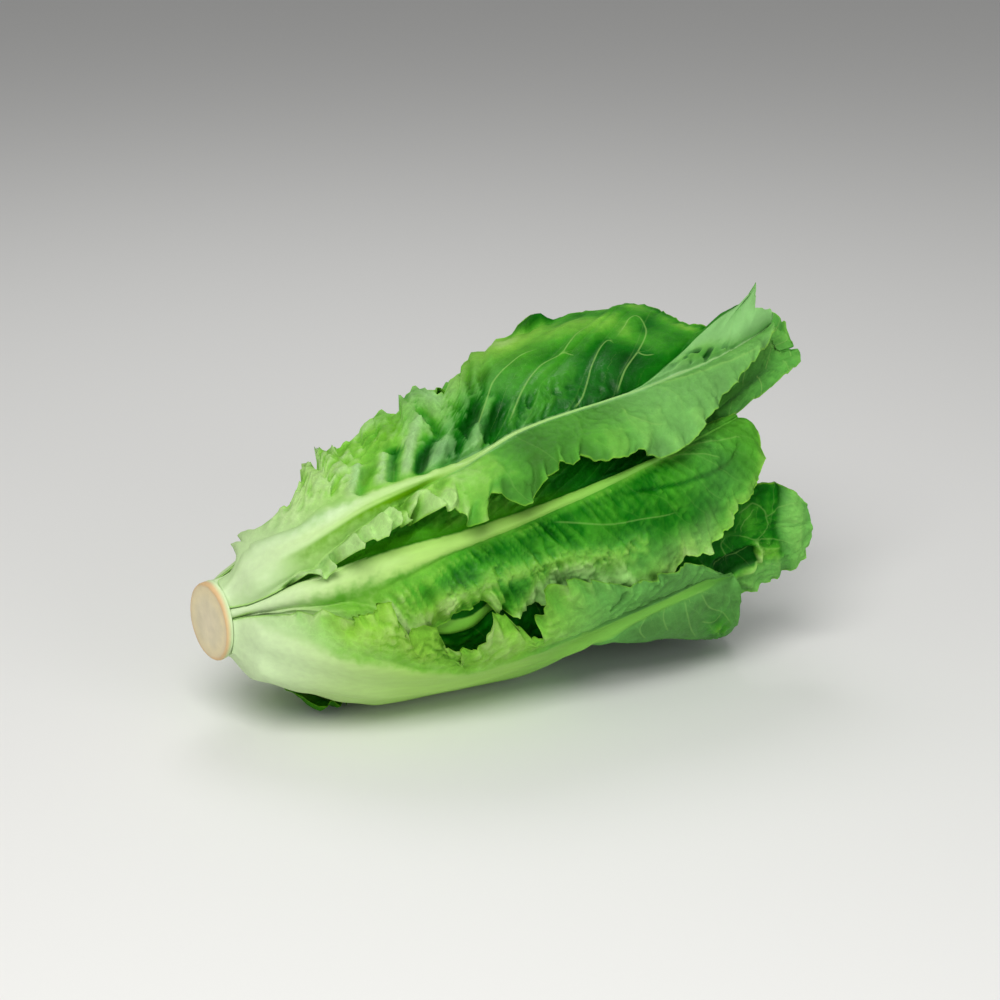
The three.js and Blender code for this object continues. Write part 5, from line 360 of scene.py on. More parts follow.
# ---- the leaves: the CAD nets before their margins were traced, and the margins ----
# net: rows from the base to the tip, each from one margin across the rib to the other, of [along, around, out]
# rib: half width, how far it stands out, how far it stands in; up, lo: [place along the leaf, shift along, around, out]
TABLE = {
 "outer_back_low_leaf": dict(c=3, u=[0,0.0625,0.125,0.1875,0.25,0.3125,0.375,0.4375,0.5,0.5625,0.625,0.6875,0.75,0.8125,0.875,0.9375,1],
  rib=[[8,2.1,2.1],[9,2.36,2.36],[10,2.6,2.6],[9.6,2.56,2.56],[9.3,2.53,2.53],[8.8,2.47,2.47],[7.9,2.31,2.31],[6.9,2.16,2.16],[6,2,2],[5.1,1.69,1.69],[4.1,1.38,1.38],[3.2,1.06,1.06],[2.8,0.88,0.88],[2.4,0.74,0.74],[2.1,0.59,0.59],[1.8,0.45,0.45],[1.5,0.3,0.3]],
  net=[[[3.2,184.6,16],[3.2,201.2,17.1],[3.2,210.6,16.4],[3.2,224,13.9],[3.2,237.4,16.4],[3.2,246.8,17.1],[3.2,263.4,16]],
   [[19.1,197.4,28],[19.2,208.7,28.9],[19.3,215.1,28.2],[19.4,224.3,25.6],[19.3,233.3,28.2],[19.2,239.7,28.9],[19.1,250.9,28]],
   [[34.9,171.8,47.4],[35.2,198.6,46],[35.4,211.5,43.8],[35.6,224.5,40.7],[35.3,232.6,43.4],[35.2,238.3,44.2],[34.9,248.3,43.3]],
   [[50.8,166.2,58.2],[51.4,204.5,55],[51.6,214.6,53.1],[51.7,224.8,50.6],[51.4,233.8,53.3],[51.2,240.2,54.1],[50.8,251.5,53.2]],
   [[66.7,182.3,60.8],[67.4,206.9,60.3],[67.6,216,58.9],[67.9,225,56.6],[67.5,234.2,59],[67.2,243.1,60],[66.7,256.3,59.1]],
   [[82.5,191.5,62.4],[83.3,209.1,63.9],[83.7,217.2,63.2],[84.1,225.3,61.4],[83.7,233.3,63.3],[83.4,241.4,64.5],[82.5,261.1,63.8]],
   [[98.4,185.9,64.5],[99.6,211.9,66.3],[99.9,218.7,66.2],[100.3,225.5,64.9],[99.9,232.3,66.5],[99.6,239.1,67.5],[98.4,265.1,67.2]],
   [[114.2,183.1,65.8],[115.8,214.2,67.8],[116.1,220,68.2],[116.4,225.8,67.4],[116.1,231.5,68.6],[115.8,237.3,69.6],[114.2,268.1,69.6]],
   [[130.1,182.1,66.3],[132,215.5,69.1],[132.3,221.1,70.1],[132.6,226,69.6],[132.3,230.9,70.7],[132,236.6,71.6],[130.1,270.1,71.7]],
   [[146,180.5,67.5],[148.1,215.3,70.7],[148.5,221.7,71.9],[148.8,226.3,71.7],[148.5,230.8,72.7],[148.1,237.2,73.6],[146,271.9,73.5]],
   [[161.8,179.4,68.1],[164.2,215.2,71.7],[164.6,221.8,73.1],[165,226.5,73],[164.6,231.2,74],[164.2,237.8,74.9],[161.8,273.6,74.5]],
   [[177.7,180.3,68.7],[180.3,215.6,72.8],[180.8,222.1,74.4],[181.1,226.8,74.5],[180.8,231.4,75.4],[180.3,237.9,76.3],[177.7,273.2,75.6]],
   [[193.5,182.2,69.3],[196.4,216.2,73.7],[196.9,222.5,75.3],[197.3,227,75.4],[196.9,231.5,76.3],[196.4,237.8,77.2],[193.5,271.8,76.4]],
   [[209.6,184.5,69.8],[212.6,217,74.2],[213.1,223,75.8],[213.5,227.3,75.8],[213.1,231.5,76.7],[212.6,237.5,77.6],[209.6,270,76.7]],
   [[226.3,189.4,71],[228.9,218.4,75.3],[229.3,223.7,76.6],[229.7,227.5,76.5],[229.3,231.3,77.4],[228.9,236.6,78.2],[226.3,265.6,77.2]],
   [[243.2,201.6,72.8],[245.2,221.5,76.2],[245.6,225.1,76.8],[245.8,227.8,76.5],[245.6,230.4,77.3],[245.2,234,78.1],[243.2,253.9,77]],
   [[260,220.5,74.5],[261.4,225.8,76.7],[261.7,226.9,76.4],[262,228,75.5],[261.7,229.1,76.6],[261.4,230.2,77.3],[260,235.5,75.8]]]),
 "lower_front_leaf": dict(c=4, u=[0,0.0357,0.0714,0.1071,0.1429,0.1786,0.2143,0.25,0.2857,0.3214,0.3571,0.3929,0.4286,0.4643,0.5,0.5357,0.5714,0.6071,0.6429,0.6786,0.7143,0.75,0.7857,0.8214,0.8571,0.8929,0.9286,0.9643,1],
  rib=[[9,2.53,2.07],[10.8,2.86,2.34],[12.4,3.17,2.6],[13.6,3.47,2.84],[14,3.58,2.92],[14,3.58,2.92],[14,3.58,2.92],[14,3.58,2.92],[13.3,3.51,2.87],[12.6,3.44,2.82],[11.9,3.38,2.76],[11.1,3.31,2.71],[10.4,3.22,2.64],[9.7,3.12,2.56],[9,3.03,2.47],[8.1,2.78,2.27],[7.2,2.53,2.07],[6.3,2.29,1.87],[5.6,2.06,1.69],[4.9,1.85,1.52],[4.2,1.64,1.34],[3.5,1.43,1.17],[3,1.27,1.04],[2.6,1.12,0.91],[2.1,0.96,0.78],[1.7,0.8,0.66],[1.4,0.63,0.51],[1.2,0.45,0.37],[1,0.28,0.22]],
  net=[[[4.7,72.4,17],[3.3,77.3,18],[2.8,82.2,18.3],[2.8,87.8,17.8],[2.8,95.7,15.5],[2.8,114.8,21.3],[2.8,128.4,22.3],[2.8,140.2,21.1],[3.2,152,18]],
   [[8.4,72,23.9],[7.8,78.7,24.9],[7.1,85.5,25.3],[6.3,93.2,24.9],[5.2,104.1,22.7],[6.5,120.5,28.8],[7.4,132.1,30],[8.2,142.3,28.7],[9,152.4,25.7]],
   [[15.4,74.6,31.2],[14.8,82,32.3],[14.3,89.4,32.7],[13.6,97.9,32.3],[12.7,109.9,30.2],[14.9,127.3,36.6],[16.4,139.6,37.6],[17.7,150.4,36],[19,161.2,33]],
   [[24.7,79.7,38.8],[23.8,86.6,39.8],[23,93.6,40.2],[22,101.6,39.7],[20.7,112.8,37.4],[24.4,131.3,43.3],[28,149.8,44.7],[30.7,163.6,41.9],[33.5,177.4,39.5]],
   [[31.2,82.8,45.4],[30.7,89.7,46.3],[30.2,96.5,46.5],[29.5,104.3,45.9],[28.7,115.4,43.4],[32.9,131.5,48.2],[37.1,147.6,49.6],[42.7,169,48.4],[48.3,190.5,46.8]],
   [[35.6,83.5,50.6],[35.8,90.8,51.4],[36,98.1,51.5],[36.2,106.4,50.8],[36.5,118.2,48.1],[41.1,132.5,52.2],[45.6,146.9,53.5],[53.7,172.6,53.1],[61.9,198.3,52.4]],
   [[40.4,82.7,54.5],[41.3,90.7,55.3],[42.1,98.8,55.3],[43,108,54.4],[44.3,121.1,51.5],[49.2,134.4,55.4],[54,147.7,56.7],[63.9,175.1,57.7],[73.9,202.6,56.4]],
   [[46.4,81.8,57.5],[47.6,90.6,58.2],[48.8,99.4,58.1],[50.2,109.6,57.1],[52.1,123.8,54.2],[57.2,136.5,58.1],[62.3,149.2,59.9],[73.4,177,61.6],[84.6,204.8,59.5]],
   [[52.8,82.6,59.9],[54.3,91.7,60.5],[55.8,100.9,60.4],[57.8,113.2,59.1],[60,126.1,56.3],[65,137.8,59.9],[70,149.4,61.5],[82.3,177.7,62.9],[94.5,205.9,60.9]],
   [[59,86.2,61.9],[61,95.3,62.5],[63,104.4,62.3],[65.5,116.1,61],[68,127.8,58.4],[72.9,138.5,61.5],[77.7,149.2,62.7],[90.9,178.1,64],[104.1,207.1,61.6]],
   [[65.4,91.5,63.6],[67.8,99.6,64.3],[70.1,107.8,64.2],[73.2,118.4,62.9],[76.2,129,60.3],[80.8,138.8,62.9],[85.4,148.6,63.6],[99.3,178.3,64.2],[113.2,207.9,61.7]],
   [[72.4,96.4,65.3],[75,103.5,65.9],[77.6,110.7,65.8],[81.1,120.2,64.6],[84.5,129.7,61.9],[88.8,138.8,64.2],[93.4,148.5,64.6],[107.5,178.2,64.8],[121.6,207.9,62]],
   [[80.3,99.8,66.9],[83,106.3,67.5],[85.7,112.9,67.3],[89.3,121.5,65.9],[92.9,130.1,63.2],[96.8,138.5,65.2],[101.6,148.6,65.6],[115.5,177.8,65.5],[129.4,207,62.2]],
   [[88.6,102,68.3],[91.3,108.1,68.8],[94.1,114.3,68.5],[97.6,122.1,67.1],[101.1,129.9,64.3],[104.9,137.6,66],[110,148.2,66.4],[124.1,177.1,65.8],[138.2,206.1,62.1]],
   [[96.6,103.8,69.3],[99.4,109.2,69.8],[102.2,114.7,69.5],[105.7,121.8,68],[109.3,128.8,65.2],[113.3,136.5,66.8],[118.9,147.4,67.3],[134.1,176.8,66.1],[149.4,206.2,62]],
   [[104,105.1,69.9],[106.9,109.9,70.5],[109.8,114.7,70.3],[113.5,120.8,68.9],[117.2,126.8,66.2],[121.6,134.7,67.8],[127.9,145.7,68.4],[144.8,175.5,67.2],[161.7,205.3,62.5]],
   [[110.1,104.6,70.7],[113.8,109.5,71.3],[117.4,114.4,71],[121.2,119.5,69.6],[125,124.6,67.2],[129.5,131.9,68.9],[135.7,142,69.6],[152.6,169.5,68.2],[169.4,197,63.3]],
   [[114.4,101.3,71.9],[120,107.8,72.5],[125.7,114.2,71.6],[129.3,118.4,70.2],[133,122.6,68.2],[136.5,127.9,70.1],[141.3,135.4,71.5],[154.5,155.5,71.6],[167.6,175.7,66.5]],
   [[118.4,96.6,73.5],[126.4,105.1,73.8],[134.3,113.7,72.2],[137.7,117.2,70.9],[141,120.8,69.2],[143.8,124.8,72],[146.6,128.7,73.8],[153.4,138.3,74.2],[160.2,147.9,69.4]],
   [[124.6,93.3,75.2],[133.8,102.9,75.2],[142.9,112.6,72.9],[145.9,115.6,71.7],[148.8,118.7,70.2],[151.4,121.8,75.5],[153.2,124,76.1],[154.8,125.9,74.5],[156.4,127.8,71]],
   [[134.4,93.2,76.5],[142.7,101.9,76.4],[151.1,110.6,74],[153.8,113.5,72.7],[156.3,116.1,71.3],[158.3,118.7,76.4],[159.7,120.5,76.9],[161,122.1,75.2],[162.2,123.7,71.7]],
   [[146.1,94.7,77.6],[152.8,101.7,77.4],[159.6,108.8,75],[161.8,111.1,73.7],[163.8,113.3,72.3],[165.3,115.8,75.3],[166.9,118.3,77],[169.9,123.3,76.9],[173,128.3,71.9]],
   [[157.7,95.5,78.5],[162.9,101.3,78.3],[168,107,75.9],[169.7,109,74.6],[171.5,110.9,73.1],[172.7,113.1,75.1],[174.2,115.8,76.8],[178.4,123.5,77.7],[182.7,131.3,72.1]],
   [[168.1,95.1,79.4],[172.4,100.4,79.1],[176.6,105.6,76.5],[178,107.2,75.2],[179.3,108.9,73.6],[180.5,111.2,75.5],[182.2,114.3,77.4],[186.8,123,78.1],[191.3,131.6,72.5]],
   [[177.5,94.1,80],[181.3,99.1,79.6],[185,104.1,76.9],[186.3,105.8,75.4],[187.3,107.2,74],[189,110.1,75.9],[191.4,114,77.8],[197.8,124.7,78.5],[204.2,135.5,72.9]],
   [[186,93.2,80.2],[189.6,98,79.8],[193.2,102.7,77.1],[194.5,104.5,75.6],[195.4,105.7,74.2],[198.3,109.8,76.2],[202.3,115.6,78.1],[213.3,131.1,79],[224.2,146.7,73.5]],
   [[194,93.5,80.1],[197.6,97.7,79.8],[201.3,101.9,77.2],[202.6,103.4,75.7],[203.6,104.5,74.4],[207.3,109.5,76.4],[212.5,116.3,78.4],[226.6,135,79.5],[240.7,153.7,74.3]],
   [[201.7,95.9,79.7],[205.5,98.9,79.6],[209.4,102,77.2],[210.8,103.1,75.8],[211.8,103.9,74.5],[214.6,107.6,76.6],[218.5,112.8,78.7],[229,126.8,80.1],[239.6,140.9,75.1]],
   [[209.3,99.8,79],[213.4,101.3,79.3],[217.5,102.7,77.2],[219,103.2,75.9],[220.1,103.6,74.7],[220.4,104.4,76.8],[220.9,105.5,79],[222.3,108.5,80.7],[223.7,111.5,76]]],
  up=[[0,0,0,0],[0.0525,-0.02,2.43,0],[0.0875,-0.13,1.09,0],[0.1017,0.33,-1.18,0],[0.1175,0.02,-0.22,0],[0.1325,0.82,-3.92,0],[0.17,0.03,-0.48,0],[0.2108,0.54,2.21,0],[0.2492,0.49,2.78,0],[0.275,-0.06,-0.77,0],[0.2942,0.58,-1.27,0],[0.31,-1.12,1.77,0],[0.3475,-5.04,5.47,0],[0.3583,-5.27,6.3,0],[0.3608,-2.62,3,0],[0.3733,-0.57,0.6,0],[0.4,0.11,-0.59,0],[0.4092,-0.36,2.13,0],[0.415,-0.71,6.15,0],[0.4417,2.62,8.25,0],[0.4425,-0.31,13.16,0],[0.445,1.91,14.44,0],[0.4492,0.88,8.53,0],[0.4767,1.4,7.14,0],[0.485,0.09,0.46,0],[0.4983,-0.6,-3.52,0],[0.5183,-1.58,-8.53,0],[0.5708,-3.38,-5.11,0],[0.5783,0.17,0.11,0],[0.5892,4.21,3.96,0],[0.59,6.45,7.38,0],[0.6033,11.84,10.9,0],[0.6108,6.73,5.92,0],[0.6242,4.66,3.86,0],[0.6442,2.53,2.18,0],[0.6617,0.5,0.57,0],[0.6733,-1.23,-1.81,0],[0.695,-0.54,-1.59,0],[0.715,-0.31,-1.57,0],[0.7508,0.06,-0.29,0],[0.7933,1.05,2.38,0],[0.8208,0.74,1.14,0],[0.8567,0.01,0.06,0],[0.8933,-0.13,-0.36,0],[0.9417,0.04,-0.33,0],[0.9808,0.13,-0.07,0],[0.9967,0.01,-0.13,0]]),
 "upper_front_leaf": dict(c=4, u=[0,0.0333,0.0667,0.1,0.1333,0.1667,0.2,0.2333,0.2667,0.3,0.3333,0.3667,0.4,0.4333,0.4667,0.5,0.5333,0.5667,0.6,0.6333,0.6667,0.7,0.7333,0.7667,0.8,0.8333,0.8667,0.9,0.9333,0.9667,1],
  rib=[[8,2.42,1.98],[9.1,2.73,2.23],[10.1,3,2.45],[10.5,3.14,2.56],[10.9,3.27,2.68],[10.5,3.22,2.63],[9.9,3.12,2.55],[9.3,3.02,2.47],[8.4,2.82,2.31],[7.2,2.52,2.06],[6,2.22,1.82],[4.9,1.93,1.58],[4.2,1.69,1.38],[3.5,1.44,1.18],[3.1,1.29,1.05],[3,1.22,1],[2.9,1.16,0.94],[2.7,1.09,0.89],[2.6,1.02,0.84],[2.5,0.96,0.78],[2.3,0.89,0.73],[2.2,0.83,0.67],[2.1,0.77,0.63],[2,0.72,0.58],[1.9,0.66,0.54],[1.8,0.6,0.49],[1.6,0.55,0.45],[1.5,0.49,0.4],[1.4,0.44,0.36],[1.3,0.39,0.31],[1.2,0.33,0.27]],
  net=[[[5.4,13.6,17],[5.4,16.4,17.9],[5.4,19.2,18.1],[5.4,22.4,17.5],[5.4,26.9,15.1],[5.9,36,17.7],[6.2,42.5,18.4],[6.6,48.2,18.3],[6.9,53.8,17.5]],
   [[18.8,-26.2,27.7],[17.8,-14.3,28.4],[16.8,-2.4,28.5],[15.6,11.2,27.6],[14,30.4,24.9],[14.4,40,27.2],[14.7,46.9,27.8],[15,52.8,27.6],[15.3,58.8,26.6]],
   [[27.1,-11,34.9],[26,-1.2,35.8],[25,8.5,35.9],[23.8,19.7,35.2],[22.1,35.5,32.7],[23.3,43,35.1],[24.1,48.3,35.7],[24.9,52.9,35.5],[25.6,57.6,34.6]],
   [[35.6,3.3,41.3],[34.5,10.7,42.1],[33.4,18.2,42.1],[32.2,26.7,41.3],[30.4,38.8,38.6],[31.7,44.4,41.2],[32.7,48.4,41.9],[33.5,51.9,41.7],[34.3,55.4,40.9]],
   [[47.1,-9.5,48.1],[45.3,1.4,48.4],[43.6,12.3,48],[41.4,25.7,46.3],[39.2,39.1,43.3],[39.6,44.7,45.9],[39.8,48.5,46.6],[40.1,52,46.5],[40.3,55.4,45.7]],
   [[58.6,-14.5,53.6],[55.6,0.5,53.6],[52.7,15.5,52.3],[50.4,27.1,50.5],[48.1,38.7,47.9],[47.4,44.3,50.4],[46.9,48.3,51],[46.5,51.7,50.8],[46.1,55.2,49.9]],
   [[70.8,-9.2,58.1],[66.7,4.8,58],[62.6,18.9,56.5],[59.7,28.7,54.7],[56.8,38.6,52.2],[55.2,44,54.6],[54,47.8,55.2],[53,51.1,55],[52,54.5,54.1]],
   [[85.4,-8.6,63.1],[79,6.8,62.4],[72.5,22.2,60],[69.1,30.6,58],[65.6,38.9,55.5],[62.8,44,58.4],[60.9,47.5,59.4],[59.2,50.6,59.4],[57.5,53.8,58.8]],
   [[97.5,-4.6,67.3],[89.5,10.6,66.2],[81.6,25.8,63.2],[77.9,32.6,61.2],[74.3,39.5,58.9],[71.8,44.2,62.4],[70.1,47.5,63.8],[68.6,50.4,64.3],[67,53.2,64]],
   [[109.2,3.2,70.7],[99.9,16.3,69.6],[90.5,29.5,66.4],[86.8,34.8,64.5],[83.1,40,62.3],[81.8,44.7,66.6],[80.9,48.1,68.5],[80.1,51,69.4],[79.3,53.9,69.7]],
   [[133,-3.9,75.8],[117.4,12.8,73.5],[101.7,29.5,68.8],[96,35.6,66.6],[91.9,40,64.7],[90,44.7,69],[88.1,49.3,72.2],[86.5,53.4,74],[84.8,57.5,75]],
   [[162.3,-17.8,81],[138.9,3.9,77.3],[115.4,25.6,71.3],[106.8,33.6,68.5],[100.6,39.3,66.3],[98.6,42.7,69.4],[96.5,46.2,72.1],[92,54,76.6],[87.4,61.8,79.3]],
   [[185.6,-23.7,84.2],[156.6,-0.3,79.8],[127.5,23,73.1],[116.8,31.6,70],[109.2,37.8,67.7],[107.5,40.7,70.1],[105.7,43.9,72.6],[100.1,53.7,78.5],[94.6,63.4,82.1]],
   [[201.7,-21.8,85.3],[169.7,0.2,80.9],[137.8,22.1,74.3],[126,30.2,71.2],[117.6,36,68.9],[116.5,38.6,71.1],[114.8,42.3,73.9],[110.3,52.3,79.9],[105.8,62.3,83.5]],
   [[213.9,-19,85.3],[180.5,1.3,81.4],[147.2,21.6,75.1],[135,29.1,72.2],[126.2,34.4,69.9],[125.3,37,72],[124,40.5,74.8],[120.5,50.2,80.6],[117.1,59.8,84.1]],
   [[224.2,-18.9,85],[190.3,1,81.5],[156.3,20.9,75.6],[143.8,28.2,72.9],[134.9,33.5,70.7],[134,35.8,72.8],[132.7,39.1,75.4],[129.3,48.1,80.9],[126,57,84.1]],
   [[231.7,-18.1,84.5],[198.2,1.3,81.4],[164.8,20.7,76],[152.4,27.8,73.5],[143.6,32.9,71.4],[142.6,35.1,73.4],[141.2,38.2,75.9],[137.5,46.5,81.1],[133.7,54.8,84]],
   [[235.1,-12.2,83.7],[203.7,4.8,81.2],[172.2,21.8,76.4],[160.7,28.1,74],[152.4,32.6,72.1],[151.4,34.7,74],[149.9,37.7,76.4],[145.9,45.7,81.4],[142,53.8,84.1]],
   [[234.9,-0.9,83.1],[206.9,11.7,81],[178.9,24.3,76.7],[168.5,29,74.5],[161.2,32.3,72.8],[160.2,34.5,74.7],[158.8,37.6,77],[155,45.9,81.9],[151.2,54.3,84.5]],
   [[234.7,9.8,83],[210.1,18.3,81.3],[185.5,26.7,77.3],[176.4,29.8,75.2],[169.9,32.1,73.5],[169,34.4,75.4],[167.6,37.7,77.7],[164,46.6,82.5],[160.4,55.6,85]],
   [[237.6,14.8,84],[215.2,21.3,82.3],[192.8,27.8,78.2],[184.6,30.2,76.1],[178.7,31.9,74.5],[177.7,34.4,76.3],[176.2,37.9,78.6],[172.4,47.4,83.2],[168.5,56.9,85.5]],
   [[243.1,15.2,85.7],[221.9,21.5,83.7],[200.8,27.7,79.4],[193,30,77.3],[187.4,31.7,75.5],[186.3,34.3,77.3],[184.8,37.9,79.5],[180.7,47.7,83.8],[176.5,57.5,85.9]],
   [[249.6,13.8,87.7],[229.3,20.4,85.4],[209,27.1,80.7],[201.5,29.6,78.4],[196.2,31.3,76.6],[195.1,33.8,78.3],[193.7,37.4,80.3],[189.7,46.9,84.3],[185.7,56.5,86]],
   [[255.9,12.4,89.6],[236.5,19.4,87],[217.2,26.4,82],[210,28.9,79.6],[204.9,30.8,77.7],[204.1,33.1,79.2],[202.9,36.3,81.1],[199.7,45,84.7],[196.5,53.7,86]],
   [[261,11.7,91.4],[243,18.7,88.5],[225,25.7,83.3],[218.4,28.3,80.8],[213.6,30.1,78.8],[213.1,32.1,80.3],[212.2,34.9,82],[210,42.4,85.2],[207.7,49.9,86]],
   [[263.9,12.1,92.8],[248.1,18.7,89.9],[232.3,25.3,84.6],[226.5,27.8,82.1],[222.4,29.5,80.1],[222,31.2,81.5],[221.4,33.5,83],[219.8,39.8,85.7],[218.2,46.2,86.1]],
   [[264.7,13.7,93.7],[252,19.4,91],[239.2,25.2,86],[234.5,27.3,83.5],[231.1,28.8,81.6],[230.8,30.2,82.8],[230.3,32.1,84.2],[228.9,37.4,86.4],[227.5,42.6,86.4]],
   [[264.7,15.7,94.1],[255.2,20.3,91.8],[245.7,25,87.2],[242.2,26.7,84.9],[239.8,27.9,83.1],[239.4,29,84.2],[239,30.6,85.4],[237.7,34.8,87.3],[236.4,39,86.8]],
   [[264.6,17.8,93.6],[258.4,21.1,92.1],[252.2,24.5,88.2],[249.9,25.7,86.2],[248.3,26.6,84.6],[247.9,27.5,85.7],[247.5,28.6,86.7],[246.4,31.9,88.3],[245.2,35.1,87.5]],
   [[264.9,19.6,92.4],[261.8,21.7,91.9],[258.7,23.7,89.1],[257.6,24.4,87.6],[256.7,25,86.1],[256.3,25.8,87.4],[256,26.6,88.3],[255,28.8,89.3],[254.1,30.9,88.2]],
   [[265.4,21.5,91],[265.3,21.8,91.6],[265.2,22.2,91.6],[265.2,22.6,90.6],[265.1,23.2,87.7],[264.6,23.9,89.3],[264.2,24.7,90.2],[263.6,25.6,90.2],[263,26.5,89]]],
  up=[[0,0,0,0],[0.0058,-0.82,-8.82,0],[0.01,-0.56,-8.61,0],[0.0108,0.55,6.32,0],[0.0158,1.26,13.43,0],[0.0225,0.03,14.4,0],[0.03,-0.87,-2.21,0.92],[0.0367,-2.45,20.09,0],[0.0392,-0.83,0.72,0.92],[0.055,-2.56,17.27,0],[0.07,-2.47,13.39,0],[0.0892,-0.45,3.63,0],[0.1067,0.25,3.59,0],[0.1225,0.54,3.85,0],[0.1425,0.68,-3.4,0],[0.1475,-0.38,2.17,0],[0.155,-3.31,14.73,0],[0.165,3.02,-7.49,0],[0.1775,-1.04,2.68,0],[0.185,-3.53,9.91,0],[0.1975,-2.94,7.91,0],[0.21,-3.35,9.58,0],[0.2142,-1.22,4.14,0],[0.2267,-2.08,6.41,0],[0.2325,0.18,-0.83,0],[0.24,-0.59,1.93,0],[0.2492,-3.96,9.94,0],[0.2583,-3.63,7.72,0],[0.2625,1.81,-3.71,0],[0.2808,11.05,-18,0],[0.2908,2.49,-4.25,0],[0.2975,-1.34,3.33,0],[0.3008,-1.45,3.71,0],[0.3117,0.1,-0.61,0],[0.32,-0.4,0.59,0],[0.325,2.44,-6.22,0],[0.3317,4.1,-8.47,0],[0.3375,7.72,-14.85,2.16],[0.345,3.42,-5.39,0],[0.3575,3.44,-5.85,2.21],[0.3667,1.32,-2.27,0.73],[0.3867,-2.42,2.83,0.1],[0.4125,-3.3,3.95,0.17],[0.4367,-1.99,2.04,0.81],[0.455,-0.19,0.29,0.25],[0.4767,-1.08,1.3,0],[0.52,0.43,-0.34,1.87],[0.56,-2.47,2.44,0],[0.5917,-2.39,2.04,0],[0.6208,-2.89,1.75,0],[0.6558,-0.72,0.67,0],[0.6933,-0.5,1.29,0],[0.74,-0.05,-0.16,0],[0.7825,-0.33,0.84,0],[0.8242,0.07,-0.06,0],[0.8525,8.19,-6.35,0],[0.925,-7.47,2.29,0],[0.9792,0.19,-0.07,0],[1,0,0,0]],
  lo=[[0,0,0,0],[0.0208,-0.08,3.31,0],[0.0492,0.09,1.3,0],[0.08,0.07,0.97,0],[0.0967,1.75,9.45,0],[0.1275,0.41,3.38,0],[0.1592,0.5,2.54,0],[0.1708,-0.19,-1.33,0],[0.2183,0.76,3.37,0],[0.2442,0.26,1.08,0],[0.27,0.26,0.59,0],[0.2892,0.08,1.28,0],[0.3092,-0.39,0.74,0],[0.3217,0.43,-0.56,0],[0.3375,0.7,-0.41,0],[0.3558,-0.73,0.42,0],[0.3742,-0.37,0.51,0],[0.3958,-0.08,-1.35,0],[0.4025,-0.4,-4.62,0],[0.4133,-1.73,-7.58,0],[0.4258,-2.32,-6.31,0],[0.4367,-1.1,-2.34,0],[0.4442,-0.13,-0.29,0],[0.4558,0.58,0.84,0],[0.4867,-1.26,-1.6,0],[0.5042,-1.71,-1.97,0],[0.5233,-0.83,-1.28,0],[0.5325,-1.69,-3.02,0],[0.5525,-0.07,-0.23,0],[0.5758,0.51,-2.34,0],[0.5942,0,-0.31,0],[0.6233,-0.28,0.57,0],[0.6592,1.04,-1.76,0],[0.6725,1.27,-2.91,0],[0.6967,0.1,-0.77,0],[0.72,0.11,0.51,0],[0.7575,1.28,1.51,0],[0.7675,1.51,1.75,0],[0.7975,0.11,0.32,0],[0.8292,0.36,0.46,0],[0.8483,-0.95,-1.24,0],[0.8792,0.12,-0.01,0],[0.8942,-0.47,-0.69,0],[0.9342,-0.23,-0.12,0],[0.9817,0.52,0.52,0],[1,0,0,0]]),
 "outer_back_leaf": dict(c=3, u=[0,0.0833,0.1667,0.25,0.3333,0.4167,0.5,0.5833,0.6667,0.75,0.8333,0.9167,1],
  rib=[[8,2.1,2.1],[9.4,2.45,2.45],[9.7,2.57,2.57],[9.3,2.53,2.53],[8.5,2.42,2.42],[7.2,2.21,2.21],[6,2,2],[4.8,1.58,1.58],[3.5,1.17,1.17],[2.8,0.88,0.88],[2.3,0.69,0.69],[1.9,0.49,0.49],[1.5,0.3,0.3]],
  net=[[[4,242.5,11.7],[4,259.1,12.1],[4,268.6,11.7],[4,282,11.5],[4,295.4,14.8],[4,304.9,15.6],[4,321.5,14.5]],
   [[25.9,247.4,20.6],[26.1,262,20.8],[26.2,270.3,20.2],[26.3,282.2,19.8],[26.2,294,23.1],[26.1,302.3,23.9],[25.9,316.9,23]],
   [[47.8,246.8,36.7],[48.2,261.7,37.4],[48.4,270.2,36.7],[48.7,282.3,34.6],[48.4,294.4,37.5],[48.2,303,38.2],[47.8,317.9,37.4]],
   [[69.8,239.1,43.9],[70.3,257.6,44.8],[70.6,270.1,43.7],[71,282.5,41.5],[70.6,294.9,43.8],[70.3,307.4,44.9],[69.8,325.9,44]],
   [[91.7,233.4,50.8],[92.7,263,51.2],[93,272.8,50.1],[93.3,282.7,48.4],[93,292.5,50.1],[92.7,302.3,51.2],[91.7,331.9,50.8]],
   [[113.6,232.9,59],[115.1,268.5,59.1],[115.4,275.7,58.2],[115.7,282.8,56.9],[115.4,290,58.2],[115.1,297.1,59.2],[113.6,332.7,59.1]],
   [[135.5,234.4,66.7],[137.4,271.3,66.5],[137.7,277.8,65.8],[138,283,65.1],[137.7,288.2,66.1],[137.4,294.7,67.1],[135.5,331.6,67.2]],
   [[157.4,234.3,71],[159.6,271.4,70.8],[160,278.3,70.3],[160.3,283.2,70.2],[160,288.1,71.3],[159.6,294.9,72.3],[157.4,332.1,72.1]],
   [[179.3,233.3,71.9],[181.9,271.3,72],[182.3,278.3,71.4],[182.7,283.3,71.3],[182.3,288.3,72.4],[181.9,295.3,73.3],[179.3,333.4,72.8]],
   [[201.2,235.7,73.4],[204.1,272,73.9],[204.6,278.7,73.4],[205,283.5,72.9],[204.6,288.3,73.8],[204.1,295,74.6],[201.2,331.3,73.9]],
   [[223.6,239.1,74],[226.4,273,74.9],[227,279.2,74.2],[227.3,283.7,73.5],[227,288.1,74.3],[226.4,294.4,75.1],[223.6,328.2,74.2]],
   [[246.8,250.3,73.6],[249,275.8,74.9],[249.4,280.5,74.2],[249.7,283.8,73.5],[249.4,287.2,74.2],[249,291.9,75],[246.8,317.4,74]],
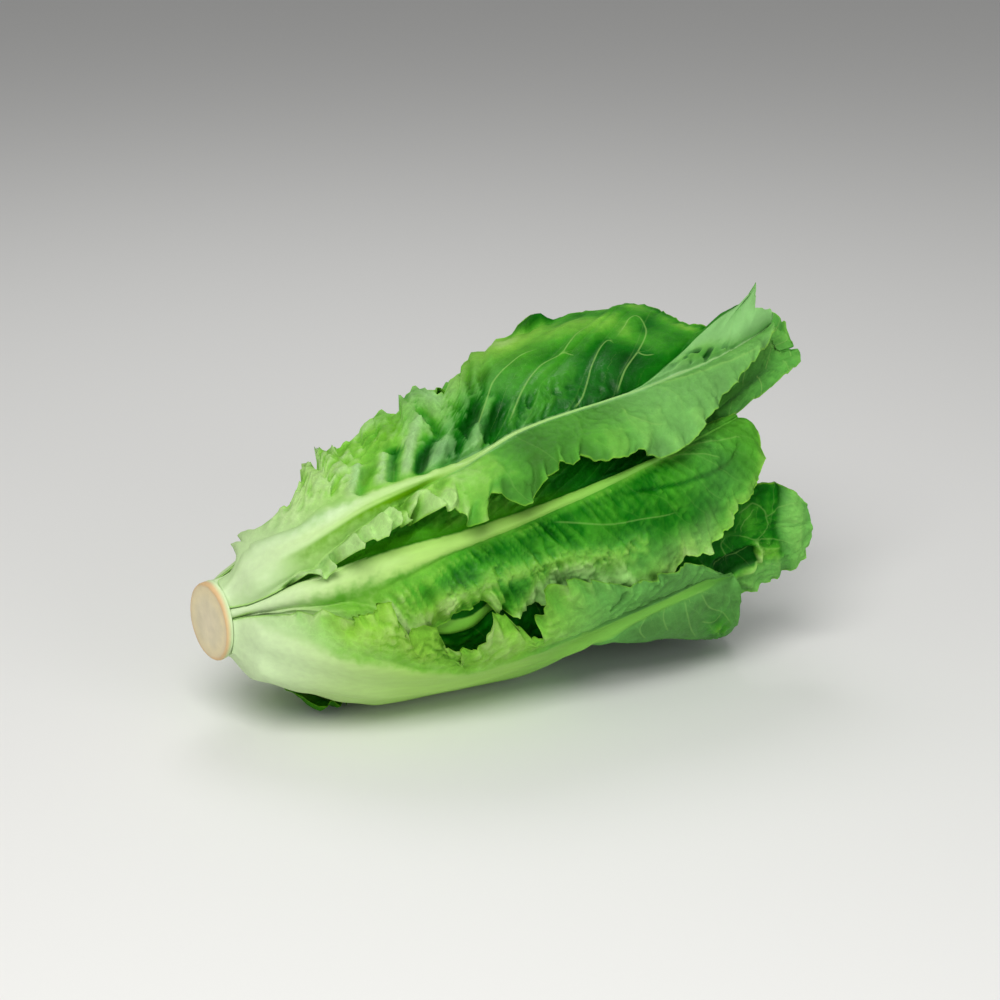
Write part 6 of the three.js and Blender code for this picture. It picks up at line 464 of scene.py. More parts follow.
   [[270,275.9,72.3],[271.4,281.7,73.9],[271.7,282.8,73.2],[272,284,72.1],[271.7,285.2,73.2],[271.4,286.3,73.9],[270,292.1,72.4]]]),
 "outer_top_leaf": dict(c=3, u=[0,0.0833,0.1667,0.25,0.3333,0.4167,0.5,0.5833,0.6667,0.75,0.8333,0.9167,1],
  rib=[[6,1.7,1.7],[6.8,2.03,2.03],[7,2.1,2.1],[7,2.1,2.1],[6.7,2.02,2.02],[5.8,1.81,1.81],[5,1.6,1.6],[4.2,1.35,1.35],[3.3,1.1,1.1],[2.8,0.88,0.88],[2.3,0.69,0.69],[1.9,0.49,0.49],[1.5,0.3,0.3]],
  net=[[[5,294.5,9.3],[5,310.3,10.6],[5,319.3,10.2],[5,332,8.9],[5,344.7,12.9],[5,353.7,14.1],[5,369.5,12.9]],
   [[25.2,297.6,16.3],[25.3,312.3,17.5],[25.4,320.6,17],[25.6,332.5,15.6],[25.4,344.4,19.8],[25.3,352.7,21],[25.2,367.4,19.9]],
   [[45.3,296.6,29.3],[45.7,311.9,30.9],[45.9,320.6,30.4],[46.2,333,29.5],[45.9,345.4,33.3],[45.7,354.1,34.4],[45.3,369.4,33.3]],
   [[65.5,291.8,36.1],[66.2,313.6,38.5],[66.5,323.6,38.5],[66.8,333.5,37.8],[66.5,343.4,40.7],[66.2,353.4,42.2],[65.5,375.2,41.4]],
   [[85.7,286.3,39.6],[86.8,317.6,43.2],[87.1,325.8,43.8],[87.4,334,43.5],[87.1,342.2,46],[86.8,350.4,47.8],[85.7,381.7,47.5]],
   [[105.9,286.5,47.8],[107.4,322.3,50.4],[107.7,328.4,50.8],[107.9,334.5,51.2],[107.7,340.6,53.7],[107.4,346.7,55.5],[105.9,382.5,55.7]],
   [[126,288.9,56.6],[127.9,323.9,58.4],[128.3,330.4,58.3],[128.5,335,59.6],[128.3,339.6,62.1],[127.9,346.1,64.1],[126,381.1,64.2]],
   [[146.2,290.5,64.4],[148.4,324.7,65],[148.8,331,65.3],[149.1,335.5,66.7],[148.8,340,69.5],[148.4,346.3,71.3],[146.2,380.5,70.9]],
   [[166.3,291.2,67.9],[168.9,325.3,67.4],[169.3,331.5,67],[169.7,336,69.5],[169.3,340.5,72.5],[168.9,346.7,74.2],[166.3,380.8,73.4]],
   [[186.5,293.5,69.2],[189.4,326.2,68.3],[189.9,332.2,68],[190.3,336.5,70.6],[189.9,340.8,73.6],[189.4,346.8,75.1],[186.5,379.5,74.2]],
   [[207.1,296.6,69.9],[209.9,327.3,70.4],[210.5,333,70.1],[210.8,337,71],[210.5,341,73.5],[209.9,346.7,74.9],[207.1,377.4,74]],
   [[228.6,306.7,69.7],[230.7,330.1,70.7],[231.1,334.4,71.3],[231.4,337.5,71.7],[231.1,340.6,73.2],[230.7,344.9,74.2],[228.6,368.3,73.1]],
   [[250,330.5,69.3],[251.4,335.6,71.2],[251.7,336.8,71.4],[252,338,70.8],[251.7,339.2,72.2],[251.4,340.4,72.9],[250,345.5,71.4]]]),
 "centre_front_leaf": dict(c=4, u=[0,0.0357,0.0714,0.1071,0.1429,0.1786,0.2143,0.25,0.2857,0.3214,0.3571,0.3929,0.4286,0.4643,0.5,0.5357,0.5714,0.6071,0.6429,0.6786,0.7143,0.75,0.7857,0.8214,0.8571,0.8929,0.9286,0.9643,1],
  rib=[[5,2.09,1.71],[6.5,2.48,2.03],[7.8,2.85,2.34],[8.7,3.18,2.6],[8.9,3.35,2.74],[8.8,3.42,2.8],[8.6,3.5,2.86],[8.5,3.58,2.92],[8,3.44,2.82],[7.5,3.31,2.71],[7.1,3.18,2.6],[6.6,3.05,2.5],[6.2,2.87,2.35],[5.8,2.67,2.19],[5.4,2.48,2.02],[5,2.28,1.86],[4.6,2.09,1.71],[4.3,1.91,1.56],[3.9,1.72,1.41],[3.6,1.54,1.26],[3.2,1.36,1.11],[2.9,1.19,0.97],[2.5,1.02,0.84],[2.1,0.85,0.7],[1.8,0.69,0.57],[1.6,0.59,0.48],[1.4,0.48,0.4],[1.2,0.38,0.31],[1,0.28,0.22]],
  net=[[[5,52,11.4],[5,52.7,11.5],[4.9,53.5,10.6],[4.9,54.3,9.5],[4.8,55.5,9.3],[5.2,59.3,14.5],[5.5,62.1,15.5],[5.8,64.5,11.8],[6,66.9,10.1]],
   [[23.8,45.1,19],[21.4,48.8,19.5],[19,52.4,18.7],[16.2,56.6,17.8],[12.3,62.6,17],[12.5,65.5,22.6],[12.6,67.5,23.6],[12.7,69.3,20.7],[12.8,71.2,19]],
   [[39.4,40.4,29.4],[35.4,45.4,29.7],[31.5,50.5,28.5],[26.9,56.4,25.3],[20.4,64.6,23.9],[20.3,68.6,28.5],[20.2,71.4,29.6],[20.2,73.8,27.6],[20.1,76.3,26.6]],
   [[52.8,36.6,37.2],[47.7,42.4,37.3],[42.7,48.3,36],[35.7,56.4,32.6],[28.7,64.5,30.1],[28.3,70.3,33.7],[28.1,74.5,35.3],[27.9,78.1,34.8],[27.6,81.7,33.7]],
   [[65.1,32.8,42.4],[57.8,41.1,42.6],[50.6,49.4,41.1],[43.8,57.2,36.9],[36.9,65.1,34.4],[36.4,72.5,37.7],[36,77.8,41.4],[35.7,82.4,42],[35.4,87,41.1]],
   [[76.7,29.6,46.6],[67.4,40.3,46.9],[58,51.1,45.4],[51.5,58.5,41.1],[45.1,65.9,38.9],[44.7,74.9,42.4],[44.4,81.2,47.4],[44.2,86.8,48.3],[44,92.4,47.3]],
   [[88,27.5,50.2],[76.9,40,50.6],[65.7,52.5,49.9],[59.5,59.5,48.3],[53.3,66.4,47],[53.4,76.3,50.5],[53.4,84.5,52.6],[53.5,91,52.5],[53.6,97.6,51]],
   [[99.3,26.2,53.1],[86.4,40,53.6],[73.6,53.7,53.1],[67.5,60.2,52.4],[61.5,66.7,51.6],[61.9,75.9,54.4],[62.3,85.2,55.7],[62.6,93,55.2],[62.9,100.8,53.5]],
   [[110.6,25.5,54.8],[95.9,40.3,56],[81.2,55.2,55.7],[75.4,61,55.2],[69.7,66.9,54.6],[70,75.2,57],[70.3,83.5,58.1],[70.6,92.1,57.6],[70.9,100.6,55.6]],
   [[121.7,25.1,57.3],[105.2,40.8,58.3],[88.8,56.5,58],[83.3,61.7,57.6],[77.9,66.9,57.1],[77.9,74.4,59.4],[78,82,60.3],[78,90.1,59.8],[78.1,98.3,57.6]],
   [[132.1,25,59.2],[114.6,40.9,60.2],[97.2,56.8,60],[91.3,62.1,59.6],[86.1,66.8,59.2],[86.1,73.7,61.3],[86.1,80.5,62.3],[86,88.7,61.7],[86,96.9,59.4]],
   [[141.7,25.3,60.5],[123.7,41,61.6],[105.7,56.7,61.6],[99.2,62.4,61.3],[94.3,66.6,61],[94.5,72.8,62.9],[94.8,79,63.8],[95.1,88.5,63.5],[95.5,98,60.9]],
   [[150.6,25.7,61.5],[132.3,41.1,62.9],[114,56.5,63],[107.3,62.2,62.8],[102.5,66.2,62.5],[103,71.9,64.1],[103.6,77.5,65.1],[104.6,88.8,65],[105.6,100.1,62.3]],
   [[158.9,26.3,62.4],[140.6,41.3,63.9],[122.3,56.2,64.2],[115.5,61.8,64.1],[110.7,65.7,63.9],[111.4,70.9,65.3],[112,76,66.3],[113.7,88.7,66.5],[115.3,101.4,63.6]],
   [[166.8,26.9,63.1],[148.6,41.4,64.8],[130.4,55.9,65.3],[123.7,61.2,65.2],[118.9,65,65.1],[119.6,69.7,66.4],[120.3,74.4,67.4],[122.3,87.9,67.8],[124.3,101.4,65]],
   [[174.6,27.7,63.7],[156.5,41.6,65.6],[138.4,55.5,66.4],[131.8,60.6,66.4],[127,64.3,66.3],[127.7,68.5,67.5],[128.4,73.1,68.5],[130.7,87.1,69.2],[132.9,101.1,66.4]],
   [[182.4,28.5,64.4],[164.5,41.7,66.5],[146.5,55,67.5],[139.9,59.9,67.6],[135.2,63.4,67.5],[135.8,67.3,68.6],[136.7,72.6,69.8],[139.2,87.2,70.5],[141.7,101.7,67.8]],
   [[190.3,29.4,65.1],[172.4,42,67.4],[154.6,54.6,68.6],[148,59.2,68.8],[143.3,62.5,68.8],[144,66.5,69.9],[145.1,72.2,71],[148,87.6,71.8],[150.8,102.9,69.1]],
   [[197.7,30.5,65.8],[180.1,42.3,68.3],[162.5,54.1,69.7],[156,58.4,69.9],[151.4,61.5,70],[152.3,65.7,71.1],[153.5,71.5,72.3],[156.9,87.4,73.1],[160.2,103.2,70.5]],
   [[204.4,32.1,66.5],[187.3,42.9,69.2],[170.3,53.7,70.7],[164,57.6,70.9],[159.5,60.5,71],[160.5,64.6,72.2],[162,70.3,73.5],[165.8,85.8,74.5],[169.7,101.4,72]],
   [[210.5,33.8,67.2],[194.2,43.5,69.9],[177.9,53.3,71.5],[171.9,56.8,71.8],[167.6,59.4,71.9],[168.7,63.2,73.2],[170.4,68.6,74.5],[174.8,83.2,75.7],[179.1,97.7,73.5]],
   [[217,35.7,67.9],[201.3,44.3,70.7],[185.6,52.8,72.3],[179.8,56,72.6],[175.7,58.2,72.7],[176.9,61.8,74],[178.7,66.8,75.4],[183.5,80.3,76.8],[188.3,93.8,74.8]],
   [[223.9,37.6,68.6],[208.7,45,71.4],[193.4,52.4,73],[187.7,55.1,73.3],[183.7,57.1,73.4],[185.1,60.4,74.7],[186.9,65.2,76.2],[192.1,78,77.8],[197.2,90.9,76]],
   [[228.7,39.7,69.3],[214.7,45.8,72],[200.6,52,73.6],[195.5,54.2,73.9],[191.8,55.8,74],[193.2,59.1,75.3],[195.1,63.6,76.9],[200.4,76,78.7],[205.6,88.3,77]],
   [[227.4,42.4,70.1],[216.9,47,72.6],[206.4,51.7,74],[202.6,53.4,74.3],[199.8,54.6,74.3],[201.2,57.6,75.8],[203.2,61.8,77.4],[208.6,73.3,79.5],[214,84.8,78.2]],
   [[219.4,45.7,70.9],[215,48.6,73.2],[210.6,51.4,74.3],[209.1,52.5,74.5],[207.8,53.3,74.5],[209.3,55.9,76],[211.2,59.5,77.8],[216.6,69.5,80.3],[222,79.4,79.4]],
   [[213.6,48.1,71.9],[214.2,49,73.3],[214.7,50,74.2],[215.3,50.9,74.6],[215.9,51.9,74.5],[217.1,54,76.1],[218.9,56.8,78],[223.8,64.6,80.7],[228.6,72.3,80]],
   [[218.3,48.3,72.9],[220,49,74.3],[221.8,49.7,74.9],[222.8,50.1,74.9],[223.9,50.6,74.6],[224.8,51.9,76.2],[226,53.8,77.9],[229.5,58.8,80.4],[232.9,63.8,79.4]],
   [[230.5,47.1,74],[230.8,47.5,74.8],[231.1,48,75.3],[231.4,48.5,75.4],[231.9,49.2,74.7],[232.4,49.9,76.4],[232.8,50.5,77.7],[234.3,52.6,79.6],[235.8,54.7,78]]],
  lo=[[0,0,0,0],[0.0267,-0.16,3.52,0],[0.0692,0.13,-0.17,0],[0.0942,-0.23,1.97,0],[0.1242,0.44,-2.04,0],[0.1475,0.17,-0.71,0],[0.1717,0.54,-1.83,0],[0.2008,0.64,-3.31,0],[0.2308,-0.01,-2.1,0],[0.2558,-0.42,-2.87,0],[0.2608,0.85,4.23,0],[0.2975,-0.54,-1.44,0],[0.3325,-0.63,-1.64,0],[0.3458,-0.56,-1.38,0],[0.3675,-0.05,-0.47,0],[0.38,-0.3,-1.56,0],[0.3958,-0.17,-2.66,0],[0.3983,-0.55,-5.4,0],[0.4108,-0.38,-4.44,0],[0.4225,-0.08,0.17,0],[0.45,0.62,2.57,0],[0.4783,0.5,1.25,0],[0.495,-1.1,-3.25,0],[0.5058,-0.1,-0.22,0],[0.5233,-1.8,-5.36,0],[0.5292,-1.84,-5.51,0],[0.5975,-0.82,-3.9,0],[0.6667,-0.02,-0.16,0],[0.7208,1.36,1.37,0],[0.7517,1.17,1.21,0],[0.7692,-1.29,-1.44,0],[0.7892,2.11,2.4,0],[0.8108,2.27,2.52,0],[0.8217,0.42,0.58,0],[0.845,0.34,0.32,0],[0.8617,-0.12,0.02,0],[0.8708,-1.74,-1.33,0],[0.8917,-3.12,-1.83,0],[0.9067,-0.31,-0.17,0],[0.9217,0.09,0.11,0],[0.9475,1.88,0.29,0],[0.96,2.87,0.39,0],[0.9792,2.16,0,0],[0.9942,1.1,0.03,0],[1,0,0,0]]),
 "mid_front_low_leaf": dict(c=4, u=[0,0.0625,0.125,0.1875,0.25,0.3125,0.375,0.4375,0.5,0.5625,0.625,0.6875,0.75,0.8125,0.875,0.9375,1],
  rib=[[5,1.65,1.35],[6.6,2.08,1.7],[7,2.32,1.9],[7,2.5,2.04],[6.7,2.46,2.01],[6.2,2.37,1.93],[5.8,2.24,1.83],[5.1,2.05,1.68],[4.5,1.87,1.53],[4,1.66,1.36],[3.6,1.46,1.19],[3.1,1.25,1.02],[2.7,1.07,0.88],[2.3,0.9,0.74],[1.9,0.73,0.6],[1.5,0.52,0.42],[1,0.28,0.22]],
  net=[[[19,78,14],[19,82,14.4],[19,86,14.5],[19,90.5,14.1],[19,97,12.8],[19,103.5,14.1],[19,108,14.5],[19,112,14.4],[19,116,14]],
   [[37.1,68.7,25.9],[36.6,74.4,26.4],[36.1,80.1,26.5],[35.5,86.7,26.2],[34.7,95.9,25],[35.5,106,26.2],[36.1,113.1,26.5],[36.6,119.3,26.4],[37.1,125.5,26]],
   [[54.8,63.1,35.4],[53.9,69.7,36],[53,76.3,36.3],[52,83.9,36.1],[50.6,94.5,35.2],[51.8,105.5,36.4],[53,116.6,36.9],[53.9,124.8,36.9],[54.7,133,36.5]],
   [[72.2,58,43.1],[70.7,67,44],[69.2,76,44.3],[67.7,85,44.2],[66.2,94.1,43.6],[67.4,103,44.5],[68.6,111.9,45.2],[70.4,125,45.5],[72.2,138,45.1]],
   [[89.3,55.4,48.7],[85.4,72.9,50.4],[81.6,90.4,51.1],[79.9,97.8,51.1],[78.3,105.3,50.8],[80.5,112.3,51.6],[82.8,119.3,52.1],[86,129.6,52.2],[89.3,139.9,51.5]],
   [[106.3,54.3,53.2],[100.9,73.8,55.1],[95.5,93.2,55.8],[93.7,99.6,55.7],[92,105.9,55.2],[94.4,111.7,56.2],[96.8,117.6,56.8],[101.5,128.8,57],[106.1,140,56.4]],
   [[122.5,53.9,56.9],[116.8,71,58.4],[111.2,88,58.8],[109.4,93.4,58.5],[107.6,98.8,58],[109.5,104.1,58.8],[111.4,109.3,59.5],[117.1,124.7,60.2],[122.7,140,59.8]],
   [[137.3,54,59.4],[131.9,70.2,60.8],[126.5,86.5,60.9],[124.6,92.1,60.7],[123.1,96.8,60.3],[124.7,101.4,60.9],[126.6,106.9,61.5],[132.3,123,62.2],[137.9,139.1,61.7]],
   [[152.3,54.1,60.9],[147.1,69.9,62.3],[141.9,85.7,62.5],[140,91.5,62.2],[138.6,95.7,61.9],[139.8,99.7,62.4],[141.3,105,62.8],[145.6,119.7,63.3],[149.9,134.4,62.6]],
   [[167.7,55,62],[162.6,69.8,63.4],[157.5,84.6,63.7],[155.7,90,63.5],[154.3,93.9,63.3],[155.3,97.9,63.8],[156.8,103.5,64.4],[160.7,118.7,65.3],[164.6,133.9,64.9]],
   [[183.3,56.9,63.2],[178.2,70.5,64.8],[173.2,84,65.2],[171.3,89,65.1],[170,92.6,64.9],[171.8,97.9,65.8],[174.4,105.3,66.9],[181.5,125.5,69.2],[188.5,145.7,70.3]],
   [[197.6,58.5,64.6],[193.1,71,66.1],[188.5,83.5,66.5],[186.8,88.1,66.3],[185.6,91.4,66.1],[188.2,97.4,67],[191.8,106,68.2],[201.4,129.1,70.6],[211.1,152.2,71.8]],
   [[209.5,60.9,65.8],[206.4,72.1,67.1],[203.3,83.3,67.3],[202.2,87.4,67.1],[201.3,90.3,66.8],[203.7,95.6,67.3],[207,103,67.9],[215.9,123.1,68.8],[224.8,143.1,68.5]],
   [[219.5,67.4,66.4],[218.6,76,67.8],[217.7,84.6,68],[217.3,87.7,67.8],[217.1,90,67.6],[218.6,93.7,68],[220.7,98.8,68.5],[226.5,112.7,69],[232.2,126.6,68.4]],
   [[231.7,72.5,67.3],[232.1,79.3,68.7],[232.5,86.1,68.9],[232.7,88.7,68.7],[232.8,90.5,68.5],[233.8,93,69],[235.2,96.7,69.7],[239,106.5,70.6],[242.7,116.3,70.4]],
   [[247.4,74.8,69.1],[247.8,81.1,70.2],[248.2,87.4,70.2],[248.4,89.7,69.9],[248.5,91.4,69.5],[249.4,93.6,70.1],[250.7,96.6,70.6],[254.3,104.9,71.4],[257.8,113.2,71]],
   [[261.1,84.5,71],[262.3,87.4,71.8],[263.5,90.4,71.5],[263.9,91.5,71.1],[264.2,92.3,70.7],[264.3,93.1,71.1],[264.4,94.1,71.5],[264.6,96.9,71.8],[264.9,99.7,71]]]),
 "mid_top_leaf": dict(c=4, u=[0,0.0714,0.1429,0.2143,0.2857,0.3571,0.4286,0.5,0.5714,0.6429,0.7143,0.7857,0.8571,0.9286,1],
  rib=[[5,1.65,1.35],[6.3,2.14,1.75],[6.5,2.32,1.89],[6.4,2.38,1.95],[5.6,2.17,1.77],[5,1.96,1.61],[4.5,1.81,1.48],[4,1.65,1.35],[3.6,1.49,1.22],[3.3,1.34,1.09],[2.9,1.17,0.96],[2.5,0.97,0.8],[2.1,0.78,0.64],[1.6,0.55,0.45],[1,0.28,0.22]],
  net=[[[24,10,13.1],[24,14.2,13.5],[24,18.4,13.9],[24,23.2,13.9],[24,30,12.4],[24,36.8,12.5],[24,41.6,12.8],[24,45.8,13.1],[24,50,13.9]],
   [[42.9,3,26.8],[42.9,8.6,27.2],[42.9,14.3,27.3],[42.9,20.8,27.2],[42.9,30,26.2],[42.9,39,26.9],[42.9,45.4,27.6],[42.9,51,27.8],[42.9,56.6,28]],
   [[61.7,-2.3,35.8],[61.7,4.7,36.2],[61.7,11.7,36.5],[61.7,20.8,36.4],[61.7,30,35.6],[61.7,39.2,36.6],[61.7,46.3,37.8],[61.7,52.2,36.6],[61.7,58.1,36]],
   [[80.6,-3.9,41.5],[80.6,5.4,41.8],[80.6,14.8,42],[80.6,22.4,42],[80.6,30,41.9],[80.6,37.7,44],[80.6,45.4,45],[80.6,52.6,43.4],[80.6,59.9,42.8]],
   [[99.4,-5.4,47.1],[99.4,6.2,47.2],[99.4,17.8,46.9],[99.5,23.9,47.1],[99.5,30,46.8],[99.4,36.2,49.5],[99.4,42.4,50.5],[99.4,52,48.8],[99.4,61.6,48.1]],
   [[118.4,-6.3,53.5],[118.3,6.9,53.6],[118.3,20,52.8],[118.3,25,52.5],[118.3,30,52.2],[118.3,35.1,53.8],[118.3,40.2,54.6],[118.4,51.2,53.4],[118.4,62.2,52.5]],
   [[137.1,-5.9,58.4],[137.2,7.7,58.4],[137.2,21.3,57.1],[137.2,25.7,56.1],[137.2,30,55.4],[137.2,34.4,56.8],[137.2,38.8,57.5],[137.1,50.4,56.4],[137.1,62,55.3]],
   [[155.8,-4.5,61.9],[155.9,8.6,61.6],[156,21.6,59.8],[156.1,26.1,58.7],[156.1,29.8,58.1],[155.9,33.7,58.9],[155.8,37.6,59.6],[155.2,49.8,59.1],[154.7,62,57.7]],
   [[176,-3.1,64.3],[175.5,9.7,63.9],[175,22.5,61.7],[174.8,27.2,60.7],[174.7,30.6,60],[174.3,34,60.5],[173.8,38.2,61.2],[172.5,50.1,60.6],[171.1,62,58.9]],
   [[195.8,-1.4,66],[195.2,10.1,65.7],[194.5,21.6,63.7],[194.3,25.9,62.6],[194.1,28.9,61.7],[193.4,32.2,62.2],[192.4,36.8,62.7],[189.6,49.4,62],[186.8,61.9,60.1]],
   [[215.5,0,66.7],[214.4,11,67.3],[213.4,21.9,65.7],[213,26,64.5],[212.7,28.8,63.7],[211.7,31.8,63.9],[210.3,35.9,64.2],[206.5,47,63.3],[202.7,58.2,60.9]],
   [[239.1,1.7,69.6],[234.2,16.2,69.9],[229.4,30.8,67.9],[227.6,36.1,66.4],[226.3,40,65.5],[224.7,41.7,65.5],[223.1,43.4,65.3],[220.9,45.9,64],[218.6,48.3,61.8]],
   [[259.9,12.4,74.8],[253.8,21.5,73.9],[247.8,30.5,71.3],[245.6,33.8,69.4],[244,36.2,68.4],[242.6,37.4,68.9],[241.2,38.7,69.6],[236.8,42.6,69.4],[232.3,46.5,67.9]],
   [[280.7,11.3,77.9],[273.7,18.9,76.7],[266.7,26.6,74.2],[264.1,29.4,72.8],[262.3,31.4,71.8],[261.4,32.5,72.4],[260.6,33.6,72.9],[257.9,37.1,73.4],[255.2,40.6,72.7]],
   [[278.2,25.8,76],[279,26.8,76.5],[279.8,27.8,76.2],[280.3,28.5,75.6],[280.8,29.1,74.7],[280.3,29.7,75.2],[279.7,30.4,75.5],[277.9,32.3,75.8],[276.2,34.2,75]]]),
 "mid_bottom_leaf": dict(c=3, u=[0,0.0833,0.1667,0.25,0.3333,0.4167,0.5,0.5833,0.6667,0.75,0.8333,0.9167,1],
  rib=[[6,1.7,1.7],[6.8,2.03,2.03],[7,2.1,2.1],[7,2.1,2.1],[6.7,2.02,2.02],[5.8,1.81,1.81],[5,1.6,1.6],[4.2,1.35,1.35],[3.3,1.1,1.1],[2.8,0.88,0.88],[2.3,0.69,0.69],[1.9,0.49,0.49],[1.5,0.3,0.3]],
  net=[[[15,133.6,12.6],[15,144.7,12.9],[15,151,12.8],[15,160,11.3],[15,169,12.8],[15,175.3,13.3],[15,186.4,13]],
   [[34.2,141.2,25.5],[34.3,149,26],[34.4,153.5,27.7],[34.6,159.8,26.9],[34.4,166.2,28.5],[34.3,170.6,29],[34.2,178.5,28.9]],
   [[53.3,136.3,33.5],[53.7,146.1,33.8],[53.9,151.7,42],[54.2,159.7,43],[53.9,167.6,45],[53.7,173.2,45.6],[53.3,183,45.5]],
   [[72.5,130.9,39.8],[73.1,143.7,40.1],[73.4,151.6,47.9],[73.8,159.5,49.4],[73.4,167.4,51.1],[73.1,175.3,51.9],[72.5,188.1,51.8]],
   [[91.7,124.3,48.9],[92.7,145.4,49.5],[93,152.4,53],[93.3,159.3,53.6],[93,166.3,54.8],[92.7,173.3,55.4],[91.7,194.4,55.6]],
   [[110.8,119.8,55],[112.3,147.6,55.4],[112.6,153.4,56.7],[112.9,159.2,56.7],[112.6,165,57.5],[112.3,170.7,57.8],[110.8,198.5,57.8]],
   [[130,117.1,58.8],[131.9,148.9,59.1],[132.2,154.2,59.5],[132.5,159,59.2],[132.2,163.8,59.6],[131.9,169.1,59.5],[130,200.9,58.6]],
   [[149.2,114.8,60.8],[151.4,148.3,61.6],[151.8,154.4,61.6],[152.1,158.8,61.1],[151.8,163.2,61.4],[151.4,169.4,61],[149.2,202.9,59.4]],
   [[168.3,113.9,62.6],[170.9,147.9,63.2],[171.3,154.2,62.9],[171.7,158.7,62.4],[171.3,163.1,62.7],[170.9,169.4,62.3],[168.3,203.4,60.5]],
   [[187.5,115.7,64.3],[190.3,148.2,64.6],[190.9,154.2,64.1],[191.3,158.5,63.7],[190.9,162.8,64],[190.3,168.8,64],[187.5,201.3,63.5]],
   [[207.1,118.7,65],[209.9,148.8,65.2],[210.5,154.4,64.8],[210.8,158.3,64.3],[210.5,162.3,64.7],[209.9,167.9,65.1],[207.1,198,64.8]],
   [[227.6,128.4,65.3],[229.7,151,65.7],[230.1,155.2,65.2],[230.4,158.2,64.8],[230.1,161.1,65.2],[229.7,165.3,65.7],[227.6,187.9,65.3]],
   [[248,150.9,65],[249.3,155.4,65.7],[249.6,156.7,65.3],[250,158,64.7],[249.6,159.3,65.3],[249.3,160.6,65.7],[248,165.1,65]]]),
 "mid_back_low_leaf": dict(c=3, u=[0,0.0833,0.1667,0.25,0.3333,0.4167,0.5,0.5833,0.6667,0.75,0.8333,0.9167,1],
  rib=[[6,1.7,1.7],[6.8,2.03,2.03],[7,2.1,2.1],[7,2.1,2.1],[6.7,2.02,2.02],[5.8,1.81,1.81],[5,1.6,1.6],[4.2,1.35,1.35],[3.3,1.1,1.1],[2.8,0.88,0.88],[2.3,0.69,0.69],[1.9,0.49,0.49],[1.5,0.3,0.3]],
  net=[[[20,185.6,12.8],[20,196.7,13.1],[20,203,12.7],[20,212,11.3],[20,221,12.8],[20,227.3,13],[20,238.4,12.7]],
   [[39.4,195,30.2],[39.6,202.3,30.5],[39.7,206.4,30.4],[39.8,212.3,28.9],[39.7,218.1,30],[39.6,222.2,28.9],[39.4,229.5,28.3]],
   [[58.8,190,44.9],[59.2,199.4,45.5],[59.4,204.8,46.3],[59.7,212.5,44.9],[59.4,220.2,44.6],[59.2,225.6,39],[58.8,235,38.2]],
   [[78.3,185,49.9],[78.8,197.4,50.5],[79.2,205.1,51.6],[79.5,212.8,50.8],[79.2,220.4,50.1],[78.8,228.1,44.1],[78.3,240.5,43.2]],
   [[97.7,178.5,52.8],[98.7,199.3,53.3],[99,206.1,53.9],[99.3,213,53.8],[99,219.9,53.4],[98.7,226.7,48.8],[97.7,247.5,47.1]],
   [[117.1,174.4,54.7],[118.6,201.8,55.2],[118.9,207.5,55.6],[119.2,213.3,56.5],[118.9,219,56.9],[118.6,224.7,54.6],[117.1,252.1,53.2]],
   [[136.5,172,56.5],[138.4,203.5,56.3],[138.7,208.8,56.3],[139,213.5,58.5],[138.7,218.2,59.7],[138.4,223.5,59.1],[136.5,255,58.6]],
   [[155.9,169.9,57.7],[158.1,203.2,57.4],[158.5,209.4,57.5],[158.8,213.8,60.2],[158.5,218.1,61.7],[158.1,224.3,62.1],[155.9,257.6,62]],
   [[175.3,169.6,58.8],[177.9,203.3,58.7],[178.3,209.6,58.9],[178.7,214,61.6],[178.3,218.4,63.2],[177.9,224.7,63.8],[175.3,258.4,63.8]],
   [[194.7,171.7,60.5],[197.6,204,61.3],[198.1,210,61.8],[198.5,214.3,63.2],[198.1,218.5,64.3],[197.6,224.5,64.9],[194.7,256.8,64.8]],
   [[214.6,174.9,61.2],[217.4,205,62.8],[218,210.5,63.7],[218.3,214.5,64.2],[218,218.5,64.9],[217.4,224,65.4],[214.6,254.1,65.2]],
   [[235.3,185.1,62.3],[237.5,207.6,63.9],[237.9,211.8,64.8],[238.2,214.8,64.9],[237.9,217.7,65.4],[237.5,221.9,65.8],[235.3,244.4,65.4]],
   [[256,207.9,63.6],[257.3,212.4,64.7],[257.6,213.7,64.8],[258,215,64.2],[257.6,216.3,64.9],[257.3,217.6,65.3],[256,222.1,64.5]]]),
 "mid_back_leaf": dict(c=3, u=[0,0.0833,0.1667,0.25,0.3333,0.4167,0.5,0.5833,0.6667,0.75,0.8333,0.9167,1],
  rib=[[6,1.7,1.7],[6.8,2.03,2.03],[7,2.1,2.1],[7,2.1,2.1],[6.7,2.02,2.02],[5.8,1.81,1.81],[5,1.6,1.6],[4.2,1.35,1.35],[3.3,1.1,1.1],[2.8,0.88,0.88],[2.3,0.69,0.69],[1.9,0.49,0.49],[1.5,0.3,0.3]],
  net=[[[28,242,10.2],[28,251.2,10.1],[28,256.5,9.5],[28,264,7.6],[28,271.5,8.1],[28,276.8,8.1],[28,286,7.8]],
   [[47.9,250.2,27.5],[48.1,256.1,27.2],[48.2,259.5,26.6],[48.3,264.3,24.9],[48.2,269.2,24.3],[48.1,272.6,24.4],[47.9,278.5,24.2]],
   [[67.8,243.1,37.2],[68.2,252.1,38.7],[68.4,257.3,39.8],[68.7,264.7,37.3],[68.4,272,36.2],[68.2,277.2,33.9],[67.8,286.3,32.3]],
   [[87.8,238.2,42.6],[88.3,250.2,43],[88.7,257.6,44.5],[89,265,43],[88.7,272.4,41.8],[88.3,279.8,37.8],[87.8,291.8,37.4]],
   [[107.7,231.7,46],[108.7,252,46.2],[109,258.7,48.4],[109.3,265.3,48.2],[109,272,47],[108.7,278.7,42],[107.7,299,41.7]],
